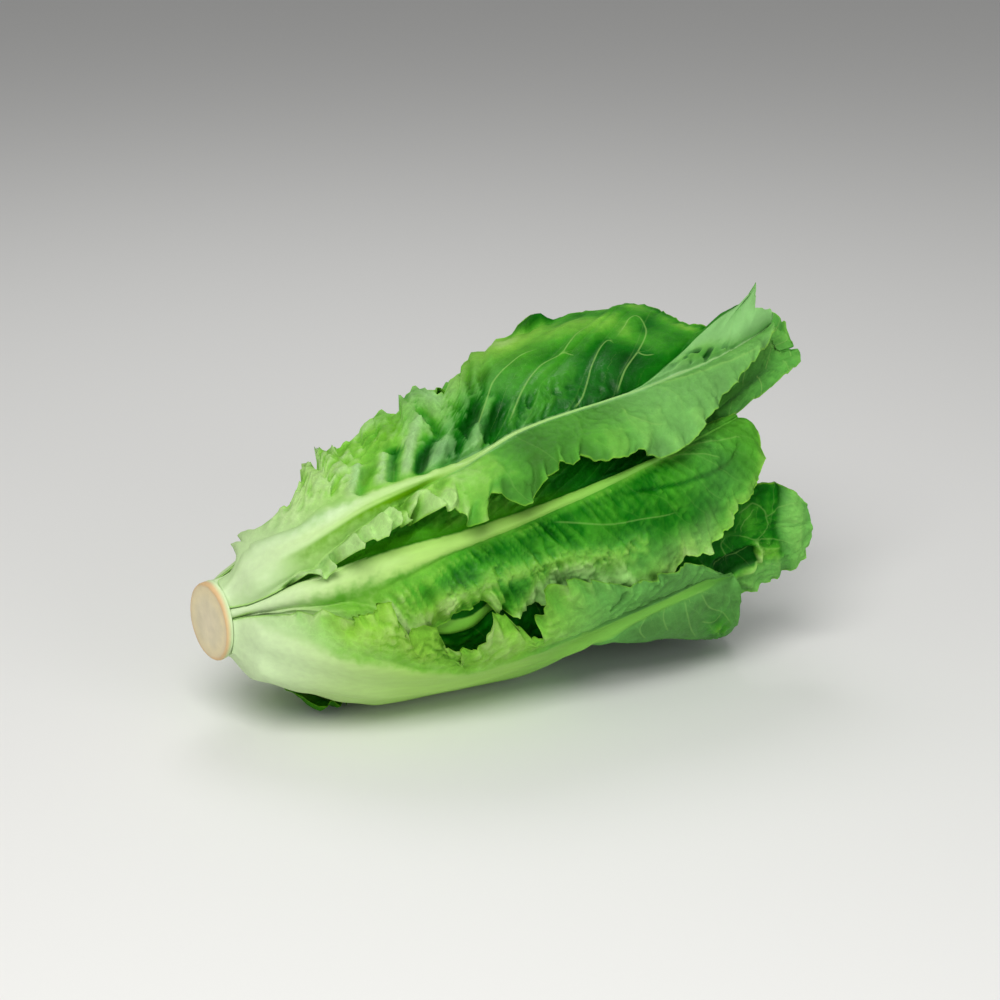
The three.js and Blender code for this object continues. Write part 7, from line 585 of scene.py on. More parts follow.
   [[127.6,227.6,52.2],[129.1,254.5,52.2],[129.4,260.1,52.6],[129.7,265.7,53.9],[129.4,271.3,53.8],[129.1,276.8,51.5],[127.6,303.7,50.8]],
   [[147.5,225.1,57],[149.4,256.2,56.9],[149.7,261.4,57.6],[150,266,58.8],[149.7,270.6,59.2],[149.4,275.8,58.1],[147.5,306.9,57.7]],
   [[167.4,222.9,59.7],[169.6,255.9,59.6],[170,262,60.2],[170.3,266.3,61.3],[170,270.7,62.1],[169.6,276.7,61.9],[167.4,309.7,61.6]],
   [[187.3,222.6,61.3],[189.9,256.1,61.3],[190.3,262.3,61.8],[190.7,266.7,62.8],[190.3,271.1,63.7],[189.9,277.2,64],[187.3,310.7,63.8]],
   [[207.2,224.5,61.8],[210.1,256.8,62.4],[210.6,262.8,63],[211,267,63.7],[210.6,271.2,64.5],[210.1,277.2,65],[207.2,309.5,64.6]],
   [[227.6,227.8,62.1],[230.4,257.9,63.4],[231,263.4,63.7],[231.3,267.3,64.3],[231,271.3,65],[230.4,276.8,65.5],[227.6,306.8,65.2]],
   [[248.8,237.8,61.9],[251,260.5,63.8],[251.4,264.7,64.2],[251.7,267.7,64.3],[251.4,270.7,64.8],[251,274.8,65.3],[248.8,297.6,64.9]],
   [[270,260.8,62.8],[271.3,265.4,64],[271.6,266.7,64],[272,268,63.4],[271.6,269.3,64.1],[271.3,270.6,64.5],[270,275.2,63.7]]]),
 "mid_back_top_leaf": dict(c=3, u=[0,0.0833,0.1667,0.25,0.3333,0.4167,0.5,0.5833,0.6667,0.75,0.8333,0.9167,1],
  rib=[[6,1.7,1.7],[6.8,2.03,2.03],[7,2.1,2.1],[7,2.1,2.1],[6.7,2.02,2.02],[5.8,1.81,1.81],[5,1.6,1.6],[4.2,1.35,1.35],[3.3,1.1,1.1],[2.8,0.88,0.88],[2.3,0.69,0.69],[1.9,0.49,0.49],[1.5,0.3,0.3]],
  net=[[[39,299.7,8.2],[39,308.2,8.3],[39,313.1,7.8],[39,320,5.7],[39,326.9,6.5],[39,331.8,6.8],[39,340.3,6.6]],
   [[58.3,307.7,25.6],[58.5,312.9,25.6],[58.6,315.9,25.5],[58.8,320.2,22.8],[58.6,324.4,23.1],[58.5,327.4,23.6],[58.3,332.6,23.8]],
   [[77.7,300.5,33.5],[78,308.8,36],[78.2,313.6,35.8],[78.5,320.3,35.1],[78.2,327.1,34.6],[78,331.8,35.2],[77.7,340.2,36.1]],
   [[97,295.4,36.8],[97.5,306.1,37.5],[97.9,313.3,39.9],[98.3,320.5,39.9],[97.9,327.7,40],[97.5,334.9,40.8],[97,345.6,41.5]],
   [[116.3,288.9,39.8],[117.3,307.6,39.9],[117.7,314.1,45],[118,320.7,45.9],[117.7,327.2,47.3],[117.3,333.8,48],[116.3,352.4,48.4]],
   [[135.7,284.7,48.4],[137.1,309.8,49],[137.4,315.3,52.2],[137.8,320.8,53.2],[137.4,326.4,54.4],[137.1,331.9,54.8],[135.7,356.9,54.8]],
   [[155,282,54.7],[156.9,311.6,55.6],[157.2,316.4,57.6],[157.5,321,58.4],[157.2,325.6,59.2],[156.9,330.4,59.1],[155,360,58.6]],
   [[174.3,279.8,58.7],[176.6,311.2,59.4],[177,317,60.6],[177.3,321.2,61.4],[177,325.3,62.1],[176.6,331.1,62],[174.3,362.5,61.1]],
   [[193.7,279.2,60.9],[196.2,311.2,61.6],[196.7,317.1,62.2],[197,321.3,63],[196.7,325.5,63.8],[196.2,331.4,63.9],[193.7,363.5,63.1]],
   [[213,280.8,61.5],[215.8,311.7,62.5],[216.4,317.4,63.1],[216.8,321.5,63.8],[216.4,325.6,64.6],[215.8,331.3,64.9],[213,362.2,64.4]],
   [[232.8,283.8,61.5],[235.6,312.6,63.1],[236.1,317.9,64.1],[236.5,321.7,64.5],[236.1,325.5,65.1],[235.6,330.8,65.4],[232.8,359.6,65]],
   [[253.4,293,61.3],[255.6,314.9,62.9],[256,319,63.9],[256.3,321.8,64.1],[256,324.7,64.6],[255.6,328.8,65],[253.4,350.7,64.5]],
   [[274,315.1,62.5],[275.2,319.4,63.6],[275.6,320.7,63.7],[276,322,63.2],[275.6,323.3,63.9],[275.2,324.6,64.3],[274,328.9,63.5]]]),
 "inner_1_leaf": dict(c=3, u=[0,0.0833,0.1667,0.25,0.3333,0.4167,0.5,0.5833,0.6667,0.75,0.8333,0.9167,1],
  rib=[[4,1.2,1.2],[4.6,1.41,1.41],[5.2,1.62,1.62],[5.4,1.65,1.65],[5.2,1.57,1.57],[4.9,1.46,1.46],[4.2,1.25,1.25],[3.6,1.04,1.04],[3.1,0.88,0.88],[2.6,0.72,0.72],[2.2,0.56,0.56],[1.7,0.41,0.41],[1.2,0.25,0.25]],
  net=[[[34,38,9.4],[34,48.9,9.7],[34,55.1,9.2],[34,64,8.1],[34,72.9,10.2],[34,79.1,10.8],[34,90,10.4]],
   [[50.6,48.8,23.8],[50.8,55.1,23.2],[50.9,58.7,22.7],[51,63.8,21.6],[50.9,68.9,25.6],[50.8,72.5,26.8],[50.6,78.8,26.8]],
   [[67.2,43.5,35.6],[67.5,52,35.2],[67.7,56.8,34.5],[68,63.7,33.4],[67.7,70.5,38],[67.5,75.3,39.8],[67.2,83.8,39.5]],
   [[83.8,38.9,40.2],[84.3,50.5,41.1],[84.7,57,40.3],[85,63.5,39.3],[84.7,70,43.4],[84.3,76.5,45.9],[83.8,88.1,46.3]],
   [[100.3,32.3,42.3],[101.4,51.4,44],[101.7,57.4,43.9],[102,63.3,43.1],[101.7,69.3,45.7],[101.4,75.2,48.6],[100.3,94.4,49.5]],
   [[116.9,28,46.7],[118.4,52.4,48],[118.7,57.8,48.2],[119,63.2,47.8],[118.7,68.6,49],[118.4,73.9,51.3],[116.9,98.3,52.2]],
   [[133.5,25.3,51.1],[135.4,53.9,51.5],[135.7,58.5,51.6],[136,63,51.3],[135.7,67.5,52.1],[135.4,72.1,53.5],[133.5,100.7,54.1]],
   [[150.1,23,53.9],[152.3,53.3,54.1],[152.7,58.8,53.9],[153,62.8,53.6],[152.7,66.8,54.2],[152.3,72.4,55.1],[150.1,102.7,55.3]],
   [[166.7,22.1,55.6],[169.2,52.9,55.8],[169.7,58.6,55.4],[170,62.7,55.1],[169.7,66.7,55.5],[169.2,72.4,56.1],[166.7,103.2,56.1]],
   [[183.2,23.7,56.8],[186.1,53.2,57],[186.6,58.6,56.6],[187,62.5,56.2],[186.6,66.4,56.6],[186.1,71.8,57.1],[183.2,101.3,56.9]],
   [[200.3,26.4,57.4],[203.1,53.7,57.7],[203.6,58.7,57.2],[204,62.3,56.8],[203.6,65.9,57.2],[203.1,71,57.7],[200.3,98.3,57.4]],
   [[218.2,35.2,57.6],[220.3,55.7,58.1],[220.7,59.5,57.6],[221,62.2,57.2],[220.7,64.9,57.6],[220.3,68.6,58.1],[218.2,89.1,57.6]],
   [[236,55.7,57.9],[237.3,59.7,58.7],[237.6,60.9,58.3],[238,62,57.7],[237.6,63.1,58.3],[237.3,64.3,58.7],[236,68.3,57.9]]]),
 "inner_2_leaf": dict(c=3, u=[0,0.0833,0.1667,0.25,0.3333,0.4167,0.5,0.5833,0.6667,0.75,0.8333,0.9167,1],
  rib=[[4,1.2,1.2],[4.6,1.41,1.41],[5.2,1.62,1.62],[5.4,1.65,1.65],[5.2,1.57,1.57],[4.9,1.46,1.46],[4.2,1.25,1.25],[3.6,1.04,1.04],[3.1,0.88,0.88],[2.6,0.72,0.72],[2.2,0.56,0.56],[1.7,0.41,0.41],[1.2,0.25,0.25]],
  net=[[[36,98,10.9],[36,108.9,11.4],[36,115.1,10.9],[36,124,8.9],[36,132.9,9.8],[36,139.1,10.2],[36,150,9.8]],
   [[52.4,108.9,27.9],[52.6,115.3,28.2],[52.7,118.9,27],[52.8,124.1,23.7],[52.7,129.3,24.1],[52.6,132.9,24.5],[52.4,139.3,24.3]],
   [[68.8,103.7,40.7],[69.2,112.3,41],[69.4,117.2,39.2],[69.7,124.2,34.7],[69.4,131.1,34.5],[69.2,136,35],[68.8,144.6,34.9]],
   [[85.3,99.2,45],[85.8,111,45.9],[86.2,117.6,44.3],[86.5,124.3,40.3],[86.2,130.9,39.9],[85.8,137.5,40.6],[85.3,149.3,40.6]],
   [[101.7,92.7,46.5],[102.7,112.2,47.6],[103,118.3,46.9],[103.3,124.3,45.3],[103,130.4,45.8],[102.7,136.5,46.3],[101.7,156,46.4]],
   [[118.1,88.5,48.3],[119.5,113.4,49.6],[119.8,118.9,49.8],[120.2,124.4,49.2],[119.8,129.9,49.8],[119.5,135.4,50.4],[118.1,160.4,50.5]],
   [[134.5,85.9,49.9],[136.4,115.2,51.2],[136.7,119.9,51.8],[137,124.5,51.5],[136.7,129.1,52.1],[136.4,133.8,52.6],[134.5,163.1,52.8]],
   [[150.9,83.8,51],[153.1,114.8,52.5],[153.5,120.5,53.1],[153.8,124.6,52.9],[153.5,128.7,53.4],[153.1,134.4,53.9],[150.9,165.4,54]],
   [[167.3,83.2,52.1],[169.9,114.7,53.6],[170.3,120.5,54],[170.7,124.7,53.9],[170.3,128.8,54.4],[169.9,134.6,54.9],[167.3,166.2,54.8]],
   [[183.7,85,52.9],[186.6,115.2,54.5],[187.1,120.8,55],[187.5,124.8,54.8],[187.1,128.7,55.3],[186.6,134.3,55.8],[183.7,164.5,55.6]],
   [[200.6,88,53.7],[203.4,116,55.3],[204,121.1,55.6],[204.3,124.8,55.4],[204,128.5,55.9],[203.4,133.7,56.3],[200.6,161.7,56]],
   [[218.3,97.3,54.7],[220.5,118.3,56.1],[220.9,122.2,56.1],[221.2,124.9,55.8],[220.9,127.7,56.3],[220.5,131.5,56.7],[218.3,152.5,56.3]],
   [[236,118.5,56.1],[237.3,122.7,57.1],[237.6,123.8,56.9],[238,125,56.3],[237.6,126.2,56.9],[237.3,127.3,57.3],[236,131.5,56.5]]]),
 "inner_3_leaf": dict(c=3, u=[0,0.0833,0.1667,0.25,0.3333,0.4167,0.5,0.5833,0.6667,0.75,0.8333,0.9167,1],
  rib=[[4,1.2,1.2],[4.6,1.41,1.41],[5.2,1.62,1.62],[5.4,1.65,1.65],[5.2,1.57,1.57],[4.9,1.46,1.46],[4.2,1.25,1.25],[3.6,1.04,1.04],[3.1,0.88,0.88],[2.6,0.72,0.72],[2.2,0.56,0.56],[1.7,0.41,0.41],[1.2,0.25,0.25]],
  net=[[[38,160,11],[38,170.9,11.5],[38,177.1,11.1],[38,186,9.8],[38,194.9,11.1],[38,201.1,11.5],[38,212,11]],
   [[54.4,171,27.8],[54.6,177.4,28.4],[54.7,181.1,28],[54.8,186.3,26.6],[54.7,191.6,28],[54.6,195.2,28.4],[54.4,201.7,28]],
   [[70.8,165.9,39.8],[71.2,174.6,41],[71.4,179.6,40.9],[71.7,186.7,39.5],[71.4,193.7,40.9],[71.2,198.7,41.4],[70.8,207.4,41.1]],
   [[87.3,161.5,41.3],[87.8,173.5,45],[88.2,180.3,45.7],[88.5,187,44.9],[88.2,193.7,46.1],[87.8,200.5,46.7],[87.3,212.5,46.5]],
   [[103.7,155.1,43.3],[104.7,174.9,45.8],[105,181.1,47.1],[105.3,187.3,46.8],[105,193.5,47.8],[104.7,199.7,48.3],[103.7,219.6,48]],
   [[120.1,151,46.7],[121.5,176.4,47.8],[121.9,182,48.9],[122.2,187.7,48.7],[121.9,193.3,49.5],[121.5,198.9,49.7],[120.1,224.4,48.5]],
   [[136.5,148.6,48.8],[138.4,178.5,49.9],[138.7,183.3,50.7],[139,188,50.5],[138.7,192.7,51],[138.4,197.5,51.1],[136.5,227.4,50]],
   [[152.9,146.6,50],[155.1,178.3,51.4],[155.5,184.2,51.9],[155.8,188.3,51.7],[155.5,192.5,52.2],[155.1,198.4,52.6],[152.9,230.1,52.3]],
   [[169.3,146.2,50.8],[171.9,178.5,52.4],[172.3,184.4,52.8],[172.7,188.7,52.7],[172.3,192.9,53.2],[171.9,198.9,53.6],[169.3,231.1,53.5]],
   [[185.7,148.3,51.6],[188.6,179.2,53.3],[189.1,184.9,53.7],[189.5,189,53.6],[189.1,193.1,54],[188.6,198.8,54.5],[185.7,229.7,54.3]],
   [[202.6,151.6,52.4],[205.4,180.3,54],[206,185.6,54.3],[206.3,189.3,54.1],[206,193.1,54.5],[205.4,198.4,55],[202.6,227.1,54.7]],
   [[220.3,161.4,53.7],[222.5,182.9,54.8],[222.9,186.8,54.8],[223.2,189.7,54.5],[222.9,192.5,54.9],[222.5,196.5,55.4],[220.3,218,54.9]],
   [[238,183.4,54.8],[239.3,187.6,55.8],[239.6,188.8,55.6],[240,190,55],[239.6,191.2,55.6],[239.3,192.4,56],[238,196.6,55.2]]]),
 "inner_4_leaf": dict(c=3, u=[0,0.0833,0.1667,0.25,0.3333,0.4167,0.5,0.5833,0.6667,0.75,0.8333,0.9167,1],
  rib=[[4,1.2,1.2],[4.6,1.41,1.41],[5.2,1.62,1.62],[5.4,1.65,1.65],[5.2,1.57,1.57],[4.9,1.46,1.46],[4.2,1.25,1.25],[3.6,1.04,1.04],[3.1,0.88,0.88],[2.6,0.72,0.72],[2.2,0.56,0.56],[1.7,0.41,0.41],[1.2,0.25,0.25]],
  net=[[[40,216,10.7],[40,226.9,11],[40,233.1,10.2],[40,242,8.8],[40,250.9,9.9],[40,257.1,9.9],[40,268,9.2]],
   [[57.1,227.5,27.9],[57.3,233.7,27.4],[57.4,237.2,26],[57.5,242.3,24.4],[57.4,247.3,25.5],[57.3,250.8,25.2],[57.1,257,24.4]],
   [[74.2,222.3,39.6],[74.5,230.8,37.9],[74.7,235.6,35.9],[75,242.5,34.4],[74.7,249.4,35.9],[74.5,254.2,34],[74.2,262.7,33.7]],
   [[91.3,217.6,43.3],[91.8,229.5,41.1],[92.2,236.1,40.1],[92.5,242.8,39],[92.2,249.4,39.9],[91.8,256,38.8],[91.3,267.9,38.4]],
   [[108.3,211.1,44.6],[109.4,230.7,43],[109.7,236.9,42.1],[110,243,41.2],[109.7,249.1,42.2],[109.4,255.3,41.7],[108.3,274.9,39.9]],
   [[125.4,206.9,46.1],[126.9,232.1,46.1],[127.2,237.7,45.9],[127.5,243.3,45.1],[127.2,248.8,45.7],[126.9,254.4,44.8],[125.4,279.6,42.5]],
   [[142.5,204.4,47.5],[144.4,234.1,48.5],[144.7,238.8,49.2],[145,243.5,49.1],[144.7,248.2,49.6],[144.4,252.9,49.1],[142.5,282.6,47.8]],
   [[159.6,202.2,49.4],[161.8,233.8,50.2],[162.2,239.6,51.3],[162.5,243.8,51.5],[162.2,247.9,52],[161.8,253.7,51.9],[159.6,285.3,50.4]],
   [[176.7,201.8,50.7],[179.2,233.9,51.5],[179.7,239.8,52.7],[180,244,52.9],[179.7,248.2,53.5],[179.2,254.1,53.8],[176.7,286.2,53.2]],
   [[193.7,203.8,51],[196.6,234.5,52.3],[197.1,240.2,53.6],[197.5,244.3,53.8],[197.1,248.3,54.3],[196.6,254,54.7],[193.7,284.7,54.4]],
   [[211.3,206.8,51.3],[214.1,235.5,53],[214.6,240.7,54.1],[215,244.5,54.2],[214.6,248.3,54.7],[214.1,253.5,55.1],[211.3,282.2,54.8]],
   [[229.7,216.5,52.4],[231.8,238,53.8],[232.2,241.9,54.6],[232.5,244.8,54.6],[232.2,247.6,55],[231.8,251.5,55.5],[229.7,273,55]],
   [[248,238.3,53.9],[249.3,242.6,55],[249.6,243.8,55],[250,245,54.5],[249.6,246.2,55.1],[249.3,247.4,55.5],[248,251.7,54.7]]]),
 "inner_5_leaf": dict(c=3, u=[0,0.0833,0.1667,0.25,0.3333,0.4167,0.5,0.5833,0.6667,0.75,0.8333,0.9167,1],
  rib=[[4,1.2,1.2],[4.6,1.41,1.41],[5.2,1.62,1.62],[5.4,1.65,1.65],[5.2,1.57,1.57],[4.9,1.46,1.46],[4.2,1.25,1.25],[3.6,1.04,1.04],[3.1,0.88,0.88],[2.6,0.72,0.72],[2.2,0.56,0.56],[1.7,0.41,0.41],[1.2,0.25,0.25]],
  net=[[[52,276,9.1],[52,286.9,9.4],[52,293.1,8.2],[52,302,6.3],[52,310.9,7.3],[52,317.1,7.2],[52,328,6.4]],
   [[68.5,288.2,24.4],[68.7,294.1,24.1],[68.8,297.5,22.7],[68.9,302.3,21.4],[68.8,307,22.8],[68.7,310.4,23],[68.5,316.3,22.5]],
   [[85,282.9,33.8],[85.4,291.1,31.6],[85.6,295.8,31.1],[85.8,302.5,30.1],[85.6,309.2,31.6],[85.4,313.9,31.6],[85,322.1,31.3]],
   [[101.5,278.3,37],[102.1,289.8,35],[102.4,296.3,34.1],[102.8,302.8,33.2],[102.4,309.2,34.7],[102.1,315.7,36],[101.5,327.2,36.2]],
   [[118,271.7,38.3],[119,291,36.6],[119.3,297,35.8],[119.7,303,34.9],[119.3,309,35.9],[119,315,37.7],[118,334.3,39.7]],
   [[134.5,267.5,41.4],[135.9,292.3,41.5],[136.3,297.8,41],[136.6,303.3,40.9],[136.3,308.7,41.3],[135.9,314.2,41.9],[134.5,339,45.1]],
   [[151,264.8,45.3],[152.9,294.2,46.1],[153.2,298.8,46.7],[153.5,303.5,46.8],[153.2,308.2,47.6],[152.9,312.8,48.6],[151,342.2,50.1]],
   [[167.5,262.5,48.1],[169.7,293.9,49.4],[170.1,299.6,50.4],[170.4,303.8,50.7],[170.1,307.9,51.4],[169.7,313.6,52.3],[167.5,345,52.9]],
   [[184,262.1,50],[186.5,293.9,51.3],[187,299.8,52.6],[187.3,304,52.9],[187,308.2,53.5],[186.5,314.1,54.1],[184,345.9,54.2]],
   [[200.5,263.8,50.7],[203.3,294.5,52.4],[203.9,300.2,53.6],[204.3,304.3,53.8],[203.9,308.3,54.3],[203.3,314,54.8],[200.5,344.7,54.6]],
   [[217.4,266.9,51.3],[220.3,295.5,53.3],[220.8,300.7,54.2],[221.2,304.5,54.3],[220.8,308.3,54.8],[220.3,313.5,55.2],[217.4,342.1,54.9]],
   [[235.3,276.6,52.4],[237.4,298,54.1],[237.8,301.9,54.7],[238.1,304.8,54.7],[237.8,307.6,55.1],[237.4,311.5,55.5],[235.3,332.9,55.1]],
   [[253,298.3,53.7],[254.3,302.6,54.8],[254.6,303.8,54.8],[255,305,54.2],[254.6,306.2,54.9],[254.3,307.4,55.2],[253,311.7,54.5]]]),
 "inner_6_leaf": dict(c=3, u=[0,0.0833,0.1667,0.25,0.3333,0.4167,0.5,0.5833,0.6667,0.75,0.8333,0.9167,1],
  rib=[[4,1.2,1.2],[4.6,1.41,1.41],[5.2,1.62,1.62],[5.4,1.65,1.65],[5.2,1.57,1.57],[4.9,1.46,1.46],[4.2,1.25,1.25],[3.6,1.04,1.04],[3.1,0.88,0.88],[2.6,0.72,0.72],[2.2,0.56,0.56],[1.7,0.41,0.41],[1.2,0.25,0.25]],
  net=[[[52,-24,9.8],[52,-13.1,10.7],[52,-6.9,10.6],[52,2,9.3],[52,10.9,10.6],[52,17.1,11],[52,28,10.5]],
   [[68.5,-11.4,26.3],[68.7,-5.6,27.6],[68.8,-2.4,28.2],[68.9,2.3,27.1],[68.8,6.9,28.5],[68.7,10.1,28.9],[68.5,15.9,28.5]],
   [[85,-16.1,35.4],[85.4,-8.3,36.7],[85.6,-3.8,38.9],[85.8,2.5,38.2],[85.6,8.8,39.4],[85.4,13.3,39.8],[85,21.1,39.3]],
   [[101.5,-20.5,36.5],[102.1,-10.2,38.9],[102.4,-3.7,42.4],[102.8,2.8,42.8],[102.4,9.2,43.7],[102.1,15.7,42],[101.5,26,41.3]],
   [[118,-26.8,36.6],[119,-9,39.6],[119.3,-3,44.1],[119.7,3,45.3],[119.3,9,45.8],[119,15,43.2],[118,32.8,42.7]],
   [[134.5,-30.7,38.3],[135.9,-7.7,41.2],[136.2,-2.2,46.9],[136.6,3.3,48.6],[136.2,8.7,49.2],[135.9,14.2,47.9],[134.5,37.2,47.1]],
   [[151,-33.3,43.7],[152.9,-5.8,44.9],[153.2,-1.2,49.5],[153.5,3.5,50.9],[153.2,8.2,51.3],[152.9,12.8,50.6],[151,40.3,49.8]],
   [[167.5,-35.4,47.7],[169.7,-5.6,49.3],[170.1,-0.2,51.6],[170.4,3.8,52.2],[170.1,7.7,52.6],[169.7,13.1,52.3],[167.5,42.9,51.6]],
   [[184,-35.9,49.8],[186.5,-5.6,51.5],[187,0,53],[187.3,4,53.2],[187,8,53.6],[186.5,13.6,53.6],[184,43.9,52.9]],
   [[200.5,-34.2,50.7],[203.3,-5,52.4],[203.9,0.4,53.7],[204.3,4.3,53.8],[203.9,8.1,54.3],[203.3,13.5,54.5],[200.5,42.7,53.8]],
   [[217.4,-31.2,51.2],[220.3,-4.1,53.1],[220.8,0.9,54.2],[221.2,4.5,54.3],[220.8,8.1,54.8],[220.3,13.1,55],[217.4,40.2,54.3]],
   [[235.3,-22,52.1],[237.4,-1.7,53.9],[237.8,2.1,54.7],[238.1,4.8,54.7],[237.8,7.4,55.1],[237.4,11.2,55.5],[235.3,31.5,55]],
   [[253,-1.4,53.6],[254.2,2.6,54.8],[254.6,3.8,54.8],[255,5,54.2],[254.6,6.2,54.9],[254.2,7.4,55.3],[253,11.4,54.5]]]),
 "heart_1_leaf": dict(c=3, u=[0,0.1,0.2,0.3,0.4,0.5,0.6,0.7,0.8,0.9,1],
  rib=[[3.5,1,1],[3.9,1.12,1.12],[4.3,1.24,1.24],[4.3,1.24,1.24],[3.9,1.12,1.12],[3.5,1,1],[3,0.85,0.85],[2.5,0.7,0.7],[2,0.55,0.55],[1.5,0.4,0.4],[1,0.25,0.25]],
  net=[[[52,61.4,8],[52,73.4,8.6],[52,80.3,8.2],[52,90,7],[52,99.7,8.2],[52,106.6,8.6],[52,118.6,8]],
   [[69.1,71.6,22.5],[69.3,79.1,23],[69.4,83.4,22.7],[69.6,89.5,21.4],[69.4,95.6,22.7],[69.3,99.9,23],[69.1,107.4,22.5]],
   [[86.2,64.2,32],[86.6,74.6,32.5],[86.9,81.2,32],[87.2,89,30.8],[86.9,96.8,32],[86.6,103.4,32.5],[86.2,113.8,32]],
   [[103.3,56.3,35.3],[104.1,74.3,35.6],[104.5,81.4,35],[104.8,88.5,34.1],[104.5,95.6,35],[104.1,102.7,35.6],[103.3,120.7,35.3]],
   [[120.4,48.3,36.4],[121.8,75.6,36.5],[122.1,81.8,36],[122.4,88,35.3],[122.1,94.2,36],[121.8,100.4,36.5],[120.4,127.7,36.4]],
   [[137.5,44.1,37.6],[139.4,76.7,37.6],[139.7,82.1,37.2],[140,87.5,36.6],[139.7,92.9,37.2],[139.4,98.3,37.6],[137.5,130.9,37.6]],
   [[154.6,40.7,38.3],[156.9,75.9,38.4],[157.3,82.4,37.9],[157.6,87,37.5],[157.3,91.6,37.9],[156.9,98.1,38.4],[154.6,133.3,38.3]],
   [[171.6,39.8,38.9],[174.3,75.3,39.1],[174.8,81.8,38.7],[175.2,86.5,38.2],[174.8,91.2,38.7],[174.3,97.7,39.1],[171.6,133.2,38.9]],
   [[189,42.2,39.5],[191.9,75.5,39.8],[192.4,81.6,39.4],[192.8,86,38.9],[192.4,90.4,39.4],[191.9,96.5,39.8],[189,129.8,39.5]],
   [[207.4,51.8,39.7],[209.7,77.4,40.1],[210.1,82.1,39.7],[210.4,85.5,39.3],[210.1,88.9,39.7],[209.7,93.6,40.1],[207.4,119.2,39.7]],
   [[226,77.6,39.9],[227.3,82.3,40.6],[227.6,83.7,40.3],[228,85,39.6],[227.6,86.3,40.3],[227.3,87.7,40.6],[226,92.4,39.9]]]),
 "heart_2_leaf": dict(c=3, u=[0,0.1,0.2,0.3,0.4,0.5,0.6,0.7,0.8,0.9,1],
  rib=[[3.5,1,1],[3.9,1.12,1.12],[4.3,1.24,1.24],[4.3,1.24,1.24],[3.9,1.12,1.12],[3.5,1,1],[3,0.85,0.85],[2.5,0.7,0.7],[2,0.55,0.55],[1.5,0.4,0.4],[1,0.25,0.25]],
  net=[[[54,161.4,8],[54,173.4,8.6],[54,180.3,8.2],[54,190,7],[54,199.7,8.2],[54,206.6,8.6],[54,218.6,8]],
   [[70.7,171.1,21.4],[70.9,179.1,21.9],[71,183.6,21.6],[71.2,190,20.3],[71,196.4,21.6],[70.9,200.9,21.9],[70.7,208.9,21.4]],
   [[87.4,163.8,30.3],[87.8,174.8,30.8],[88.1,181.7,30.4],[88.4,190,29.1],[88.1,198.3,30.4],[87.8,205.2,30.8],[87.4,216.2,30.3]],
   [[104.1,156.2,33.6],[104.9,175.1,33.9],[105.3,182.5,33.3],[105.6,190,32.3],[105.3,197.5,33.3],[104.9,204.9,33.9],[104.1,223.8,33.6]],
   [[120.8,148.1,34.5],[122.2,176.9,34.6],[122.5,183.4,34.1],[122.8,190,33.4],[122.5,196.6,34.1],[122.2,203.1,34.6],[120.8,231.9,34.5]],
   [[137.5,144.3,35.7],[139.4,178.6,35.7],[139.7,184.3,35.2],[140,190,34.7],[139.7,195.7,35.2],[139.4,201.4,35.7],[137.5,235.7,35.7]],
   [[154.2,141.2,36.3],[156.5,178.3,36.4],[156.9,185.1,35.9],[157.2,190,35.5],[156.9,194.9,35.9],[156.5,201.7,36.4],[154.2,238.8,36.3]],
   [[170.8,140.7,36.9],[173.5,178.2,37.1],[174,185.1,36.6],[174.4,190,36.2],[174,194.9,36.6],[173.5,201.8,37.1],[170.8,239.3,36.9]],
   [[187.8,143.8,37.4],[190.7,178.9,37.7],[191.2,185.4,37.3],[191.6,190,36.9],[191.2,194.6,37.3],[190.7,201.1,37.7],[187.8,236.2,37.4]],
   [[205.8,154.5,37.6],[208.1,181.5,38],[208.5,186.4,37.6],[208.8,190,37.2],[208.5,193.6,37.6],[208.1,198.5,38],[205.8,225.5,37.6]],
   [[224,182.2,37.8],[225.3,187.2,38.6],[225.6,188.6,38.2],[226,190,37.5],[225.6,191.4,38.2],[225.3,192.8,38.6],[224,197.8,37.8]]]),
 "heart_3_leaf": dict(c=3, u=[0,0.1,0.2,0.3,0.4,0.5,0.6,0.7,0.8,0.9,1],
  rib=[[3.5,1,1],[3.9,1.12,1.12],[4.3,1.24,1.24],[4.3,1.24,1.24],[3.9,1.12,1.12],[3.5,1,1],[3,0.85,0.85],[2.5,0.7,0.7],[2,0.55,0.55],[1.5,0.4,0.4],[1,0.25,0.25]],
  net=[[[60,271.4,8],[60,283.4,8.6],[60,290.3,8.2],[60,300,7],[60,309.7,8.2],[60,316.6,8.6],[60,328.6,8]],
   [[76.1,279.5,19.9],[76.3,288.1,20.4],[76.4,293,19.9],[76.6,300,18.6],[76.4,307,19.8],[76.3,311.9,20.3],[76.1,320.5,19.9]],
   [[92.2,271.5,27.8],[92.6,283.5,28.2],[92.9,291,27.5],[93.2,300,25.8],[92.9,309,27.1],[92.6,316.5,28],[92.2,328.5,27.8]],
   [[108.3,263.1,30.8],[109.1,283.7,31],[109.5,291.9,30],[109.8,300,28.7],[109.5,308.1,29.6],[109.1,316.3,30.8],[108.3,336.9,30.8]],
   [[124.4,254.3,31.6],[125.8,285.7,31.6],[126.1,292.8,30.6],[126.4,300,29.7],[126.1,307.2,30.4],[125.8,314.3,31.5],[124.4,345.7,31.6]],
   [[140.5,250,32.6],[142.4,287.5,32.5],[142.7,293.8,32],[143,300,31.4],[142.7,306.2,31.9],[142.4,312.5,32.5],[140.5,350,32.6]],
   [[156.6,246.4,33.1],[158.9,287.1,33.2],[159.3,294.6,32.7],[159.6,300,32.2],[159.3,305.4,32.6],[158.9,312.9,33.2],[156.6,353.6,33.1]],
   [[172.6,245.9,33.6],[175.3,287,33.8],[175.8,294.6,33.3],[176.2,300,32.9],[175.8,305.4,33.3],[175.3,313,33.8],[172.6,354.1,33.6]],
